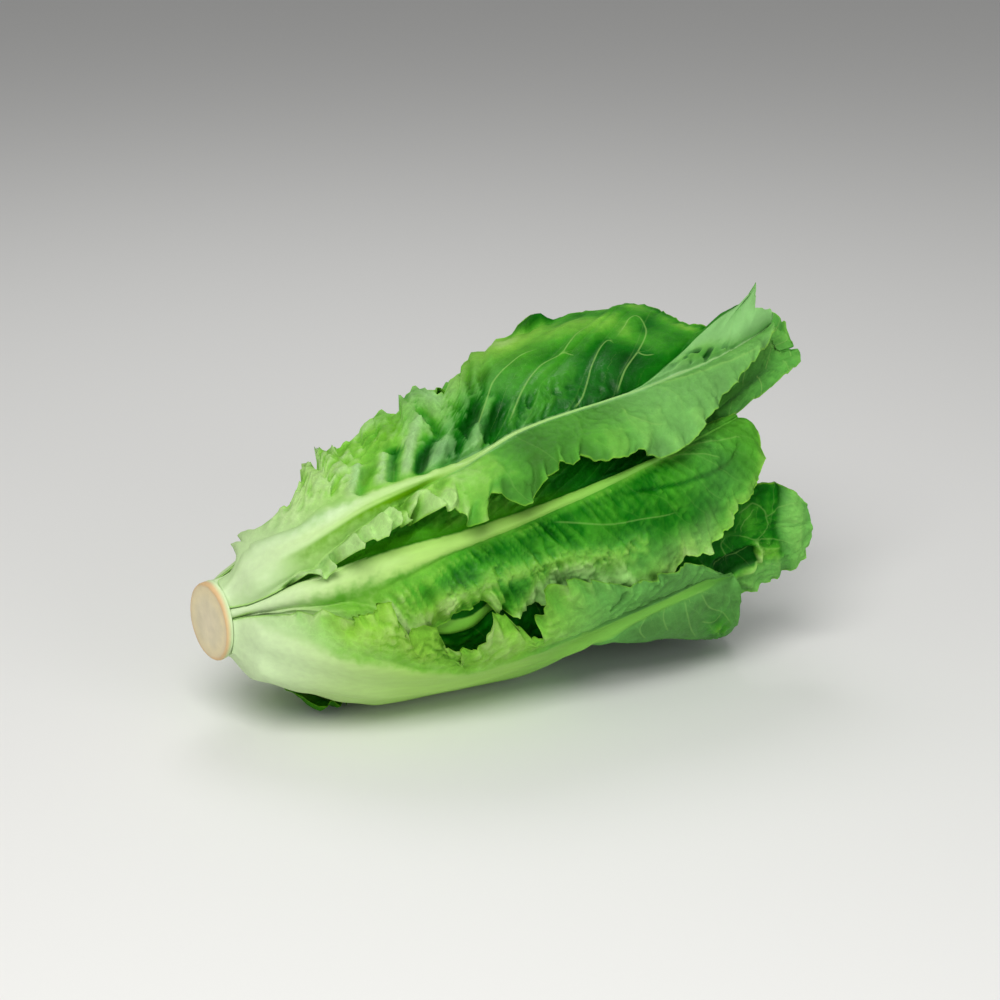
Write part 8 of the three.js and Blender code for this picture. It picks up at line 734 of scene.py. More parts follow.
   [[189,249.2,34],[191.9,287.8,34.4],[192.4,294.9,33.9],[192.8,300,33.5],[192.4,305.1,33.9],[191.9,312.2,34.4],[189,350.8,34]],
   [[206.4,260.9,34.2],[208.7,290.6,34.6],[209.1,296.1,34.2],[209.4,300,33.8],[209.1,303.9,34.2],[208.7,309.4,34.6],[206.4,339.1,34.2]],
   [[224,291.5,34.4],[225.3,296.9,35.1],[225.6,298.4,34.8],[226,300,34.1],[225.6,301.6,34.8],[225.3,303.1,35.1],[224,308.5,34.4]]]),
 "heart_4_leaf": dict(c=3, u=[0,0.1,0.2,0.3,0.4,0.5,0.6,0.7,0.8,0.9,1],
  rib=[[3.5,1,1],[3.9,1.12,1.12],[4.3,1.24,1.24],[4.3,1.24,1.24],[3.9,1.12,1.12],[3.5,1,1],[3,0.85,0.85],[2.5,0.7,0.7],[2,0.55,0.55],[1.5,0.4,0.4],[1,0.25,0.25]],
  net=[[[66,1.4,7],[66,13.4,7.6],[66,20.3,7.2],[66,30,6],[66,39.7,7.2],[66,46.6,7.6],[66,58.6,7]],
   [[79.9,4.7,13.5],[80.1,15.5,14],[80.2,21.7,13.7],[80.4,30.5,12.4],[80.2,39.3,13.7],[80.1,45.5,14],[79.9,56.3,13.5]],
   [[93.8,-3.8,18.3],[94.2,10.8,18.8],[94.5,19.2,18.4],[94.8,31,17.1],[94.5,42.8,18.4],[94.2,51.2,18.8],[93.8,65.8,18.3]],
   [[107.7,-12.8,20.8],[108.4,7.2,21.2],[108.8,19.3,20.7],[109.2,31.5,19.6],[108.8,43.7,20.7],[108.4,55.8,21.2],[107.7,75.8,20.8]],
   [[121.6,-22.2,21.4],[122.8,10.7,21.7],[123.2,21.3,21.1],[123.6,32,20.3],[123.2,42.7,21.1],[122.8,53.3,21.7],[121.6,86.2,21.4]],
   [[135.5,-28,22],[137.2,14,22.2],[137.6,23.2,21.7],[138,32.5,21],[137.6,41.8,21.7],[137.2,51,22.2],[135.5,93,22]],
   [[149.4,-32,22.4],[151.7,17.4,22.5],[152,25.2,22.1],[152.4,33,21.5],[152,40.8,22.1],[151.7,48.6,22.5],[149.4,98,22.4]],
   [[163.2,-31.4,22.6],[165.9,17.9,22.8],[166.4,27,22.4],[166.8,33.5,21.9],[166.4,40,22.4],[165.9,49.1,22.8],[163.2,98.4,22.6]],
   [[177.5,-27,22.9],[180.3,19.4,23.3],[180.8,27.9,22.8],[181.2,34,22.4],[180.8,40.1,22.8],[180.3,48.6,23.3],[177.5,95,22.9]],
   [[192.6,-11,23.2],[194.9,23.6,23.6],[195.3,29.9,23.2],[195.6,34.5,22.8],[195.3,39.1,23.2],[194.9,45.4,23.6],[192.6,80,23.2]],
   [[208,24.8,23.3],[209.1,30.5,24.1],[209.6,32.8,23.7],[210,35,23],[209.6,37.2,23.7],[209.1,39.5,24.1],[208,45.2,23.3]]]),
}


# ---- colours (sRGB, as a person would name them) ----
def rgb(r, g, b):
    c = np.array([r, g, b]) / 255.0
    return np.where(c <= 0.04045, c / 12.92, ((c + 0.055) / 1.055) ** 2.4)


BLADE = np.array([rgb(188, 226, 138), rgb(136, 205, 70), rgb(72, 164, 36), rgb(16, 114, 8), rgb(2, 78, 3)])  # pale, lime, mid, dark, deep
RIB_S = [0, 30, 70, 115, 160, 215, 270]
RIB = np.array([rgb(208, 230, 184), rgb(196, 226, 152), rgb(176, 219, 114), rgb(160, 212, 94), rgb(138, 202, 80), rgb(108, 184, 64), rgb(88, 168, 52)])
MATTE = rgb(122, 192, 98)      # the paler, duller green of a leaf's back
GLOW = rgb(150, 216, 60)       # a thin margin with light behind it
VEIN = rgb(164, 216, 112)
LIME = rgb(166, 216, 74)
# a pale green, mixed in for pale patches and for painted highlights
PALE = rgb(156, 206, 140)
WHITE = rgb(206, 230, 180)


def ramp(t, table, at=None):
    at = np.linspace(0, 1, len(table)) if at is None else at
    return np.stack([np.interp(t, at, table[:, k]) for k in range(3)], -1)


def mix(a, b, f):
    f = np.asarray(f)[..., None]
    return a * (1 - f) + b * f


def band(x, a, b, c, d):
    return step(a, b, x) * (1 - step(c, d, x))


# ---- relief ----
def fray(L, amount, length, seed, upper=1.0, lower=1.0, power=4, sharp=0.0):
    """margins that run in and out; sharp makes teeth of the waves"""
    e = np.zeros(L.u.shape + (3,))
    for col, nb, side, k in ((0, 3, L.v < 0, upper), (-1, -4, L.v > 0, lower)):
        a, b = L.p[:, col], L.p[:, nb]
        n = np.maximum(metric(a, b), 1e-3)[:, None]
        arc = np.concatenate([[0], np.cumsum(metric(a[1:], a[:-1]))])
        wave = noise(arc / length, 0.5 + 0 * arc, seed + col)
        if sharp:
            wave = wave * (1 - sharp) + sharp * (1 - 3.2 * abs(noise(arc / length * 0.8, 4.5 + 0 * arc, seed + col + 3)))
        e += ((a - b) / n * wave[:, None])[:, None] * (k * amount * side * L.w ** power)[..., None]
    L.p += e


def ruffle(L, amount, length, seed, start=0.55, upper=1.0, lower=1.0, outward=0.0, power=1.6):
    """waves that grow and shorten towards the margins, no two alike"""
    for col, side, k in ((0, L.v < 0, upper), (-1, L.v > 0, lower)):
        a = L.p[:, col]
        arc = np.concatenate([[0], np.cumsum(metric(a[1:], a[:-1]))])[:, None] + 0 * L.u
        w = np.clip((L.w - start) / (1 - start), 0, 1) ** power
        q = arc + 3.5 * noise(arc / 14, L.d / 16, seed + 8)
        wave = 1.5 * noise(q / (0.62 * length), L.d / (1.6 * length), seed) + 0.9 * w * noise(q / (0.3 * length), L.d / (0.8 * length), seed + 1)
        L.relief(side * k * amount * w * (wave + outward))


def pillows(L, size, amount, seed, stretch=1.0, lean=0.0):
    """blisters between the small veins"""
    px = (L.X - lean * abs(L.Y)) / size
    py = L.Y / (size * stretch)
    wx, wy = 0.5 * noise(px * 0.8, py * 0.8, seed + 3), 0.5 * noise(px * 0.8, py * 0.8, seed + 4)
    f1, f2, own = cells(px + wx, py + wy, seed)
    dome = step(0.0, 0.65, f2 - f1)
    L.relief(amount * (dome - 0.5) * (0.35 + 1.2 * own) * (0.8 + 0.5 * noise(px / 3, py / 3, seed + 6)))


def wrinkle(L, la, lb, amount, lean, seed, warp=0.7, fine=0.45):
    """creases: short across them, long along them"""
    a = (L.X - lean * abs(L.Y)) / la
    b = L.Y / lb
    wx = warp * noise(a * 0.45 + 3, b * 0.8, seed + 1)
    wy = 0.5 * warp * noise(a * 0.5, b * 0.7 + 9, seed + 2)
    n1 = abs(noise(a + wx, b + wy, seed))
    n2 = abs(noise(2.1 * (a + wx) + 5, 1.8 * (b + wy), seed + 3))
    L.relief(amount * (0.42 - n1 * 1.3 + fine * (0.35 - 1.2 * n2)) * (0.8 + 0.6 * noise(a / 4, b / 3, seed + 5)))


def veins(L, upper=None, lower=None, spacing=20, lean=0.5, wander=0.3, seed=0, ridge=0.35, width=0.5):
    """Lateral veins. phase is a whole number on each; gap is how far apart they stand; where a side has a table it gives,
    for each vein, where it is along the rib at five places from the rib to the margin."""
    L.phase = (L.x - lean * L.d + 2.2 * lean * np.sqrt(L.d + 1)) / spacing + wander * noise(L.X / 28, L.Y / 22, seed) + 0.37 * (L.v > 0)
    for tab, side in ((upper, L.v < 0), (lower, L.v > 0)):
        if tab is None:
            continue
        tab = np.array(tab, float)
        at = np.clip(L.w, 0, 1) * (tab.shape[1] - 1)
        i = np.minimum(at.astype(int), tab.shape[1] - 2)
        f = at - i
        ph = np.full(L.u.shape, -0.5)
        prev = None
        for k in range(len(tab)):
            xk = tab[k][i] * (1 - f) + tab[k][i + 1] * f
            if prev is not None:
                ph = np.where(L.x >= prev, k - 1 + (L.x - prev) / np.maximum(xk - prev, 0.5), ph)
            prev = xk
        L.phase = np.where(side, ph, L.phase)
    gx = np.gradient(L.phase, axis=0) / np.maximum(np.gradient(L.x, axis=0), 1e-3)
    L.gap = np.clip(1 / np.maximum(abs(gx), 0.005), 2, 60)
    t = (L.phase - np.round(L.phase)) * L.gap
    L.relief(ridge * np.exp(-(t / 1.3) ** 2) * step(1.0, 1.6, L.near) * (1 - 0.7 * L.w))
    L.vwidth = width * (1.25 - 0.85 * L.w) + 0 * L.u


def curve(pts, n=6):
    """a smooth line through the points"""
    p = np.array(pts, float)
    p = np.vstack([2 * p[0] - p[1], p, 2 * p[-1] - p[-2]])
    t = (np.arange(n) / n)[:, None]
    out = [0.5 * (2 * b + (c - a) * t + (2 * a - 5 * b + 4 * c - d) * t ** 2 + (3 * b - a - 3 * c + d) * t ** 3) for a, b, c, d in zip(p, p[1:], p[2:], p[3:])]
    return np.concatenate(out + [p[-2:-1]])


def line(L, pts, width, height, vein=0.0, thick=0.45):
    """a vein or a crease through given places, as (share of the length, share of the way to a margin)"""
    uv = curve(pts)
    flat = np.stack([L.X, L.Y], -1)
    iu, iv = np.interp(uv[:, 0], L.u[:, 0], np.arange(len(L.u))), np.interp(uv[:, 1], L.v[0], np.arange(L.v.shape[1]))
    i, j = np.minimum(iu.astype(int), len(L.u) - 2), np.minimum(iv.astype(int), L.v.shape[1] - 2)
    fu, fv = (iu - i)[:, None], (iv - j)[:, None]
    q = (flat[i, j] * (1 - fv) + flat[i, j + 1] * fv) * (1 - fu) + (flat[i + 1, j] * (1 - fv) + flat[i + 1, j + 1] * fv) * fu
    best, where, hand = np.full(L.u.shape, 1e9), np.zeros(L.u.shape), np.ones(L.u.shape)
    for k in range(len(q) - 1):
        e, g = q[k + 1] - q[k], flat - q[k]
        t = np.clip((g @ e) / max(e @ e, 1e-9), 0, 1)
        dd = np.linalg.norm(g - t[..., None] * e, axis=-1)
        closer = dd < best
        where = np.where(closer, (k + t) / (len(q) - 1), where)
        hand = np.where(closer, np.sign(e[0] * g[..., 1] - e[1] * g[..., 0] + 1e-12), hand)
        best = np.minimum(best, dd)
    m = np.exp(-(best / width) ** 2) * step(0, 0.12, where) * (1 - step(0.88, 1, where))
    L.relief(height * m)
    if vein:
        closer = best < abs(L.trace)
        L.trace = np.where(closer, hand * best, L.trace)
        L.tracew = np.where(closer, thick * (1.15 - 0.6 * where), L.tracew)
        L.tracek = np.where(closer, vein * step(0, 0.06, where) * (1 - step(0.85, 1, where)), L.tracek)
    return m


# ---- leaves ----
GRID = {  # rows along, columns across
    "outer_back_low_leaf": (150, 84), "lower_front_leaf": (270, 140), "upper_front_leaf": (300, 150), "outer_back_leaf": (150, 84),
    "outer_top_leaf": (170, 90), "centre_front_leaf": (260, 128), "mid_front_low_leaf": (200, 100), "mid_top_leaf": (180, 80),
    "mid_bottom_leaf": (84, 44), "mid_back_low_leaf": (90, 46), "mid_back_leaf": (90, 46), "mid_back_top_leaf": (90, 46)}
SAIL = [[34, 34, 35, 36, 37], [50, 50, 51, 53, 55], [66, 66, 67, 70, 72], [80, 80, 84, 92, 98], [92, 96, 107, 128, 136], [127, 127, 136.5, 146, 151],
        [145, 138, 146, 154, 157], [168, 162, 160, 161, 163], [191, 180, 176, 171, 167.5], [222, 214, 205, 198, 190], [250, 246, 240, 232, 226], [290, 290, 290, 290, 290]]


BASE_R = [16.7, 17.9, 19.8, 24.2, 29, 34.5, 40.5, 45, 50]      # how far out the front petiole's base stands


def grow(name):
    """the leaf with its relief, and its colours"""
    rows, cols = GRID.get(name, (84, 36) if "inner" in name else (64, 30))
    L = Leaf(name, rows, cols)
    seed = 31 * (1 + ORDER.index(name))
    s, w, d = L.p[..., 0], L.w, L.d
    up, lo = L.side(True), L.side(False)
    near = L.near
    off = step(1.05, 1.9, near)     # clear of the rib
    grown = step(0.04, 0.2, L.u)
    lime = 0 * s
    mellow = 0 * s
    pale_and_highlight = 0 * s
    calm = 0 * s
    deep_green_and_shade = 0 * s
    bright = 0 * s
    show = 0.4 + lime
    soft = 1 + lime
    veins(L, seed=seed)
    L.p[..., 2] -= L.h; L.h[:] = 0
    if name == "upper_front_leaf":
        base = 1 - step(95, 150, s)
        sail = up * step(110, 150, s)
        x = L.x
        bound = np.interp(x, *[RIB_EDGE[name][k] for k in (0, 2)])       # the rib's smooth flank below
        strip = lo * step(bound, bound + 0.10, w) * (1 - step(97, 106, x)) * step(12, 24, x)
        flap = lo * step(100, 110, x)
        across = w / bound
        valley = np.where(across < 1, across ** 1.2, np.clip((1 - w) / np.maximum(1 - bound, 0.02), 0, 1)) * lo * band(x, 12, 30, 84, 104)
        calmer = 1 - 0.65 * band(x, 58, 70, 108, 120)
        fray(L, 1.2, 4.2, seed, band(s, 14, 30, 400, 500) * calmer, band(s, 20, 45, 400, 500), 5, 0.3)
        veins(L, upper=SAIL, spacing=22, lean=0.5, seed=seed, ridge=0.5, width=0.50)
        L.relief(-5.0 * valley)
        crest = bump(L.v, np.interp(x, [9, 22, 40, 50, 60, 80, 110], [-0.20, -0.23, -0.21, -0.11, -0.07, -0.03, -0.02]), np.interp(x, [9, 50, 85, 110], [0.10, 0.07, 0.04, 0.03])) * band(x, 8, 22, 90, 112)
        L.relief(1.5 * crest)
        crest = crest * (1 - 0.78 * step(44, 72, x))
        fr = L.phase - np.floor(L.phase)
        L.relief(1.1 * sail * (1 - (2 * fr - 1) ** 2) * step(0.12, 0.3, w) * (1 - step(0.85, 1, w)))
        wrinkle(L, 9.5, 24, 4.6 * up * band(s, 70, 95, 118, 150) * off * (1 - 0.5 * step(0.6, 1, w)), 0.25, seed + 11, 0.5)
        wrinkle(L, 5.0, 15, (2.6 * up * band(s, 14, 35, 90, 140) * (1 - 0.5 * step(56, 70, s) * (1 - step(0.45, 0.7, w))) * off), 0.6, seed + 12, 0.7)
        wrinkle(L, 4.5, 8, (2.2 * up * band(s, 95, 112, 165, 200) * (1 - step(0.14, 0.34, w)) + 0.9 * flap) * off, 0.2, seed + 17, 0.8)
        ridge_m, groove_m = 0 * s, 0 * s
        for pts in ([(0.181, -0.10), (0.187, -0.245), (0.194, -0.36), (0.20, -0.48)], [(0.224, -0.10), (0.231, -0.226), (0.233, -0.32), (0.236, -0.42)],
                    [(0.263, -0.06), (0.264, -0.236), (0.268, -0.36), (0.276, -0.48), (0.29, -0.55)], [(0.300, -0.05), (0.304, -0.16), (0.309, -0.226), (0.316, -0.34)],
                    [(0.374, -0.03), (0.367, -0.151), (0.367, -0.245), (0.372, -0.36)]):
            ridge_m = np.maximum(ridge_m, line(L, pts, 2.6, 2.0))
        for pts in ([(0.191, -0.10), (0.198, -0.226), (0.204, -0.32), (0.209, -0.42)], [(0.240, -0.10), (0.244, -0.226), (0.247, -0.37), (0.252, -0.46)],
                    [(0.281, -0.08), (0.289, -0.217), (0.294, -0.31), (0.300, -0.42)], [(0.335, -0.05), (0.343, -0.18), (0.345, -0.33), (0.350, -0.45)], [(0.398, -0.05), (0.391, -0.16), (0.39, -0.28)]):
            groove_m = np.maximum(groove_m, line(L, pts, 2.8, -2.2))
        pillows(L, 6.0, (1.8 * up * base * (1 - step(90, 130, s)) * (1 - 0.6 * step(50, 66, s)) + 0.3 * flap) * off * grown, seed + 1)
        pillows(L, 4.2, (0.6 * up * base + 0.3 * flap) * off * grown, seed + 2)
        ruffle(L, 3.2, 13, seed + 3, 0.55, (base + 0.25) * band(s, 20, 50, 400, 500) * calmer, 0, 0.2)
        ruffle(L, 13.0, 12, seed + 4, 0.0, 0, strip * step(18, 34, x) * step(0, 0.16, across - 1), 0.22, 0.4)
        wrinkle(L, 5.0, 6, 2.4 * strip * step(26, 40, x) * step(0, 0.2, across - 1), 0.0, seed + 14)
        ruffle(L, 3.0, 16, seed + 5, 0.3, 0, flap, 0.15)
        L.relief(2.2 * noise(L.X / 38, L.Y / 30, seed + 6) * off * step(0.05, 0.2, L.u) * (1 - strip))
        fold = np.interp(w, [0, 0.05, 0.18, 0.5, 0.75, 1], [182, 203, 206, 211, 219, 224])    # a pleat folds the tip over
        patch = up * step(fold - 0.6, fold + 1.6, x)
        L.pull += patch * 9.5 * np.clip(w, 0, 1) ** 0.75 * (1 - 0.25 * step(230, 279, x))
        dimples = patch * bump(x, 232, 24) * bump(w, np.interp(x, [210, 225, 240, 256], [0.25, 0.21, 0.12, 0.05]), 0.11)
        pits = dimples * step(0.0, 0.24, noise(L.X / 5.0, L.Y / 2.4, seed + 40))
        L.relief(-1.2 * pits)
        for pts in ([(0.362, -0.20), (0.365, -0.33), (0.367, -0.425), (0.381, -0.491), (0.396, -0.547), (0.42, -0.57)],
                    [(0.431, -0.10), (0.426, -0.236), (0.431, -0.349), (0.441, -0.425), (0.465, -0.453), (0.468, -0.528), (0.475, -0.613), (0.50, -0.65)],
                    [(0.582, -0.03), (0.579, -0.094), (0.565, -0.217), (0.555, -0.302), (0.548, -0.434), (0.552, -0.509), (0.569, -0.491)],
                    [(0.650, -0.09), (0.621, -0.302), (0.612, -0.50), (0.602, -0.66), (0.589, -0.745), (0.569, -0.792), (0.56, -0.74), (0.562, -0.66), (0.562, -0.519)],
                    [(0.612, -0.50), (0.629, -0.485), (0.645, -0.50)], [(0.462, -0.450), (0.475, -0.453), (0.498, -0.406)]):
            line(L, pts, 1.0, 0.4, 0.46, 0.42)
        line(L, [(0.742, 0.02), (0.806, 0.14), (0.863, 0.279), (0.906, 0.50), (0.95, 0.75)], 1.6, 0.9, 0.25, 1.2)
        line(L, [(0.666, 0.20), (0.666, 0.395), (0.689, 0.581), (0.732, 0.674)], 1.4, 0.7, 0.22, 0.5)
        for k, (a, b) in enumerate(((0.25, 0.52), (0.70, 0.20), (0.80, 0.55), (0.88, 0.30))):    # soft folds over the tip
            L.relief(patch * 1.3 * bump(L.u + 0.10 * w, 0.72 + 0.07 * k, 0.018) * bump(w, b, 0.3) * (1 if k % 2 else -1))
        wrinkle(L, 6.0, 8, 2.4 * dimples, 0.3, seed + 16)
        mellow = lo * np.clip(1.5 * across, 0, 1) * band(x, 16, 36, 110, 150) * 0.85
        tone = np.interp(s, [20, 50, 85, 115, 140, 165, 200, 270], [0.05, 0.14, 0.38, 0.64, 0.74, 0.82, 0.88, 0.80]) * up
        # lighter over the sail's upper half towards its margin: a painted glow of the thin blade with light behind it
        tone -= up * (0.22 * step(0.45, 0.95, w) * band(s, 100, 130, 160, 190) + 0.36 * step(0.45, 0.80, w) * band(s, 135, 155, 190, 215))
        tone -= up * (0.20 * bump(x, 140, 12) * bump(w, 0.45, 0.2) + 0.34 * step(0.78, 0.94, w) * band(s, 198, 212, 228, 236) + 0.28 * bump(w, 0.62, 0.17) * bump(x, 156, 13))
        tone += up * (0.26 * bump(w, 0.42, 0.22) * bump(s, 190, 16) + 0.20 * bump(w, 0.28, 0.25) * bump(s, 106, 18))
        scrap = up * bump(s, 177, 8.5) * step(0.92, 0.96, w)        # a lobe raised behind the margin, painted dark as if in shade
        L.p[..., 2] += 6.5 * scrap
        tone += lo * np.interp(s, [20, 60, 100, 125, 150, 270], [0.10, 0.14, 0.32, 0.68, 0.60, 0.46])
        # on the tip patch the pits are painted darker, painted shade in the hollows
        tone = tone * (1 - patch) + (0.22 + 0.16 * (1 - step(212, 232, x)) + 0.34 * dimples + 0.55 * pits) * patch
        tone = tone * (1 - np.minimum(1.6 * scrap, 1)) + 0.80 * np.minimum(1.6 * scrap, 1)
        matte = flap * (0.25 + 0.35 * step(170, 200, x)) + patch * 0.9 * (1 - 0.5 * dimples) * (1 - pits)
        L.p[..., 2] -= 2.6 * lo * step(0.72, 1, w) * band(s, 5, 9, 22, 36)
        # paler on the tip patch and the flap, and a painted highlight along the rib's crest
        pale_and_highlight = patch * 0.55 * (1 - dimples) + 0.20 * flap * step(185, 215, x) + 0.5 * crest
        # lime on the frill and the flap, and on the sail's upper margin as the same painted glow
        lime = 0.55 * strip + 0.08 * flap + 0.25 * up * band(s, 95, 120, 150, 180) * step(0.4, 0.8, w)
        calm = 0.7 * patch + 0.3 * flap
        # near the base the blade's raised blisters are painted paler: a painted highlight
        ridges = up * base * step(0.3, 1.6, L.h) * grown * off
        pale_and_highlight = pale_and_highlight + 0.10 * strip + 0.35 * ridges
        # the frill's raised lobes painted lighter: a painted highlight
        bright = strip * (0.15 + 0.85 * step(-0.5, 3.0, L.h))
        # and its hollows there painted lime: painted shade
        lime = lime + 0.40 * up * (1 - step(55, 80, s)) * (1 - step(-1.4, -0.2, L.h)) * grown * off
        # the drawn ridges painted lighter and paler and the grooves darker: painted highlight and painted shade
        tone = tone - 0.22 * ridge_m * (1 - 0.5 * step(92, 98, x)) + 0.26 * groove_m * (1 - 0.5 * step(98, 106, x)) + 0.10 * up * bump(x, 132, 14) * bump(w, 0.22, 0.2)
        pale_and_highlight = pale_and_highlight + 0.35 * ridge_m * (1 - step(105, 125, s)) + 0.45 * bump(x, 91, 7) * bump(L.v, -0.90, 0.16)
        tone = tone - 0.15 * bump(x, 91, 7) * bump(L.v, -0.90, 0.16)
        # a painted shadow band under the lobe of the upper margin, and the frill's hollows painted deep lime as shade
        deep_green_and_shade = 0.9 * bump(x - 10 * (w - 0.7), 80, 4.5) * band(L.v, -0.96, -0.90, -0.62, -0.5) + strip * (1 - step(-3.5, 0.0, L.h)) * step(26, 40, x)
        shaded = lo * band(across, 0.16, 0.40, 1.0, 1.10) * band(x, 18, 40, 90, 105)
        pale_and_highlight = pale_and_highlight * (1 - shaded)
        tone = tone + 0.36 * bump(s, 107, 9) * step(0.55, 0.78, w) * lo + 0.45 * bump(s, 90, 8) * bump(L.v, -0.18, 0.11)
        tone = tone - 0.34 * bump(x, 171, 10) * bump(L.v, -0.61, 0.14) - 0.16 * bump(x, 127, 8) * bump(L.v, -0.07, 0.09)
        L.gloss = np.maximum(sail * (1 - step(0.25, 0.45, w)) * band(x, 95, 120, 165, 195), step(95, 110, x) * (1 - step(1.3, 3.0, near)))
        L.gloss = L.gloss - 0.34 * shaded
        # the thin rib towards the tip painted paler: a painted highlight
        pale_and_highlight = pale_and_highlight + 0.5 * step(95, 125, x) * (1 - step(1.2, 1.8, near))
        show = 0.10 + 0 * s
        soft = 0.22 + 0.78 * step(60, 120, x)
        rib_end = 215
    elif name == "centre_front_leaf":
        x = L.x
        under = lo * (1 - step(70, 95, s)) * L.w ** 2        # tucked under the leaf below
        L.p[..., 1] += 9 * under
        L.p[..., 2] += np.interp(s, [2.5, 8, 15, 25, 40, 60, 85], [4.4, 4.8, 6.0, 6.2, 6.0, 2.4, 0]) * bump(w, 0, 0.9)
        at = [3, 5, 8, 12, 17, 24, 34, 46, 60]
        th = L.p[..., 1]
        th_a, th_f = np.interp(s, at, [55, 57, 59, 61, 61, 59, 62, 60, 58]), np.interp(s, at, [73, 73, 74, 75, 77, 78, 82, 84, 90])
        fill = step(th_a, th_a + 1.6, th) * (1 - step(th_f - 1.6, th_f, th)) * (1 - step(38, 62, s))     # the petiole fills the gap between its neighbours
        arch = 1 - 0.10 * ((th - 0.5 * (th_a + th_f) + 1.5) / (0.5 * (th_f - th_a))) ** 2
        out, _ = L.faces()
        L.p[..., 2] += fill * (np.interp(s, at, BASE_R) * arch - out)
        fray(L, 1.0, 3.2, seed, 1, band(s, 20, 45, 400, 500), 5, 0.5)
        veins(L, spacing=11, lean=0.75, seed=seed, ridge=0.35, width=0.4, wander=0.5)
        L.relief(-1.2 * lo * bump(near, 1.15, 0.5) * band(x, 15, 30, 130, 170))
        wrinkle(L, 3.2, 32, 2.6 * lo * off * grown * (1 - 0.5 * step(150, 190, x)), 0.55, seed + 11, 0.22, 0.3)
        wrinkle(L, 8.0, 12, 0.8 * off * step(0.12, 0.35, L.u), 0.4, seed + 12)
        pillows(L, 5.0, 0.6 * off * grown, seed + 1)
        streak = line(L, [(0.30, 0.60), (0.35, 0.57), (0.39, 0.58), (0.463, 0.50), (0.541, 0.56), (0.618, 0.58), (0.672, 0.564), (0.74, 0.62)], 5.5, 0.8)
        wrinkle(L, 2.6, 7, 2.3 * streak * (1 - 0.6 * step(0.62, 0.78, L.v)), 0.6, seed + 18)
        L.gloss = streak
        crease = line(L, [(0.69, 0.15), (0.73, 0.19), (0.761, 0.25), (0.807, 0.309), (0.857, 0.382), (0.892, 0.455), (0.915, 0.473), (0.938, 0.445), (0.948, 0.37), (0.95, 0.30)], 0.9, -1.0)
        for pts in ([(0.80, 0.02), (0.838, 0.075), (0.876, 0.20), (0.90, 0.36)], [(0.85, 0.03), (0.869, 0.04), (0.896, 0.09), (0.922, 0.182), (0.948, 0.309), (0.955, 0.40)],
                    [(0.55, 0.14), (0.629, 0.291), (0.707, 0.40), (0.78, 0.56)]):
            line(L, pts, 1.1, 0.5, 0.22, 0.4)
        ruffle(L, 3.0, 12, seed + 3, 0.5, 0, 1.1 - 0.6 * step(0.6, 0.9, L.u), 0.1)
        L.relief(1.6 * noise(L.X / 32, L.Y / 24, seed + 6) * off * step(0.05, 0.2, L.u))
        # lighter along the streak of crinkles, a painted highlight, and darker in the crease, painted shade
        tone = np.interp(s, [20, 50, 80, 110, 160, 200, 240], [0.20, 0.50, 0.70, 0.75, 0.78, 0.73, 0.56]) - 0.26 * streak + 0.12 * crease
        tone -= 0.30 * lo * (1 - step(1.1, 3.4, near)) * band(s, 50, 80, 190, 230) + 0.06 * band(s, 150, 165, 185, 200) * lo
        tone -= 0.30 * bump(L.v, 0.72, 0.24) * bump(s, 76, 12) + 0.16 * step(0.60, 0.85, w) * lo * band(s, 112, 124, 158, 170) + 0.24 * step(0.60, 0.85, w) * lo * band(s, 182, 194, 212, 222)
        tone -= 0.40 * step(np.interp(s, [80, 110, 170, 200], [0.36, 0.58, 0.58, 0.42]), 0.92, w) * lo * (1 - step(0.6, 0.8, L.u)) + 0.30 * step(0.75, 1, w) * step(0.6, 0.8, L.u)
        tone -= (0.16 - 0.26 * step(120, 150, s)) * up * step(60, 100, s) * (1 - step(185, 215, s)) + 0.25 * bump(L.v, -0.55, 0.16) * bump(L.u, 0.90, 0.05)
        tone += 0.34 * bump(s, 84, 11) * bump(L.v, 0.52, 0.17) + 0.30 * bump(x, 168, 8) * bump(L.v, -0.07, 0.08) - 0.26 * bump(s, 133, 12) * step(0.66, 0.84, L.v)
        tone -= 0.30 * step(0.52, 0.72, w) * lo * band(s, 112, 124, 160, 174) + 0.26 * lo * bump(s, 58, 12) * bump(w, 0.5, 0.3)
        matte = 0.55 * lo * step(0.55, 0.8, w) * band(s, 108, 128, 168, 192) + 0.30 * step(185, 215, s)
        # a lighter green along the lower margin near the tip
        bright = 0.36 * lo * step(0.60, 0.90, w) * band(s, 172, 186, 200, 212)
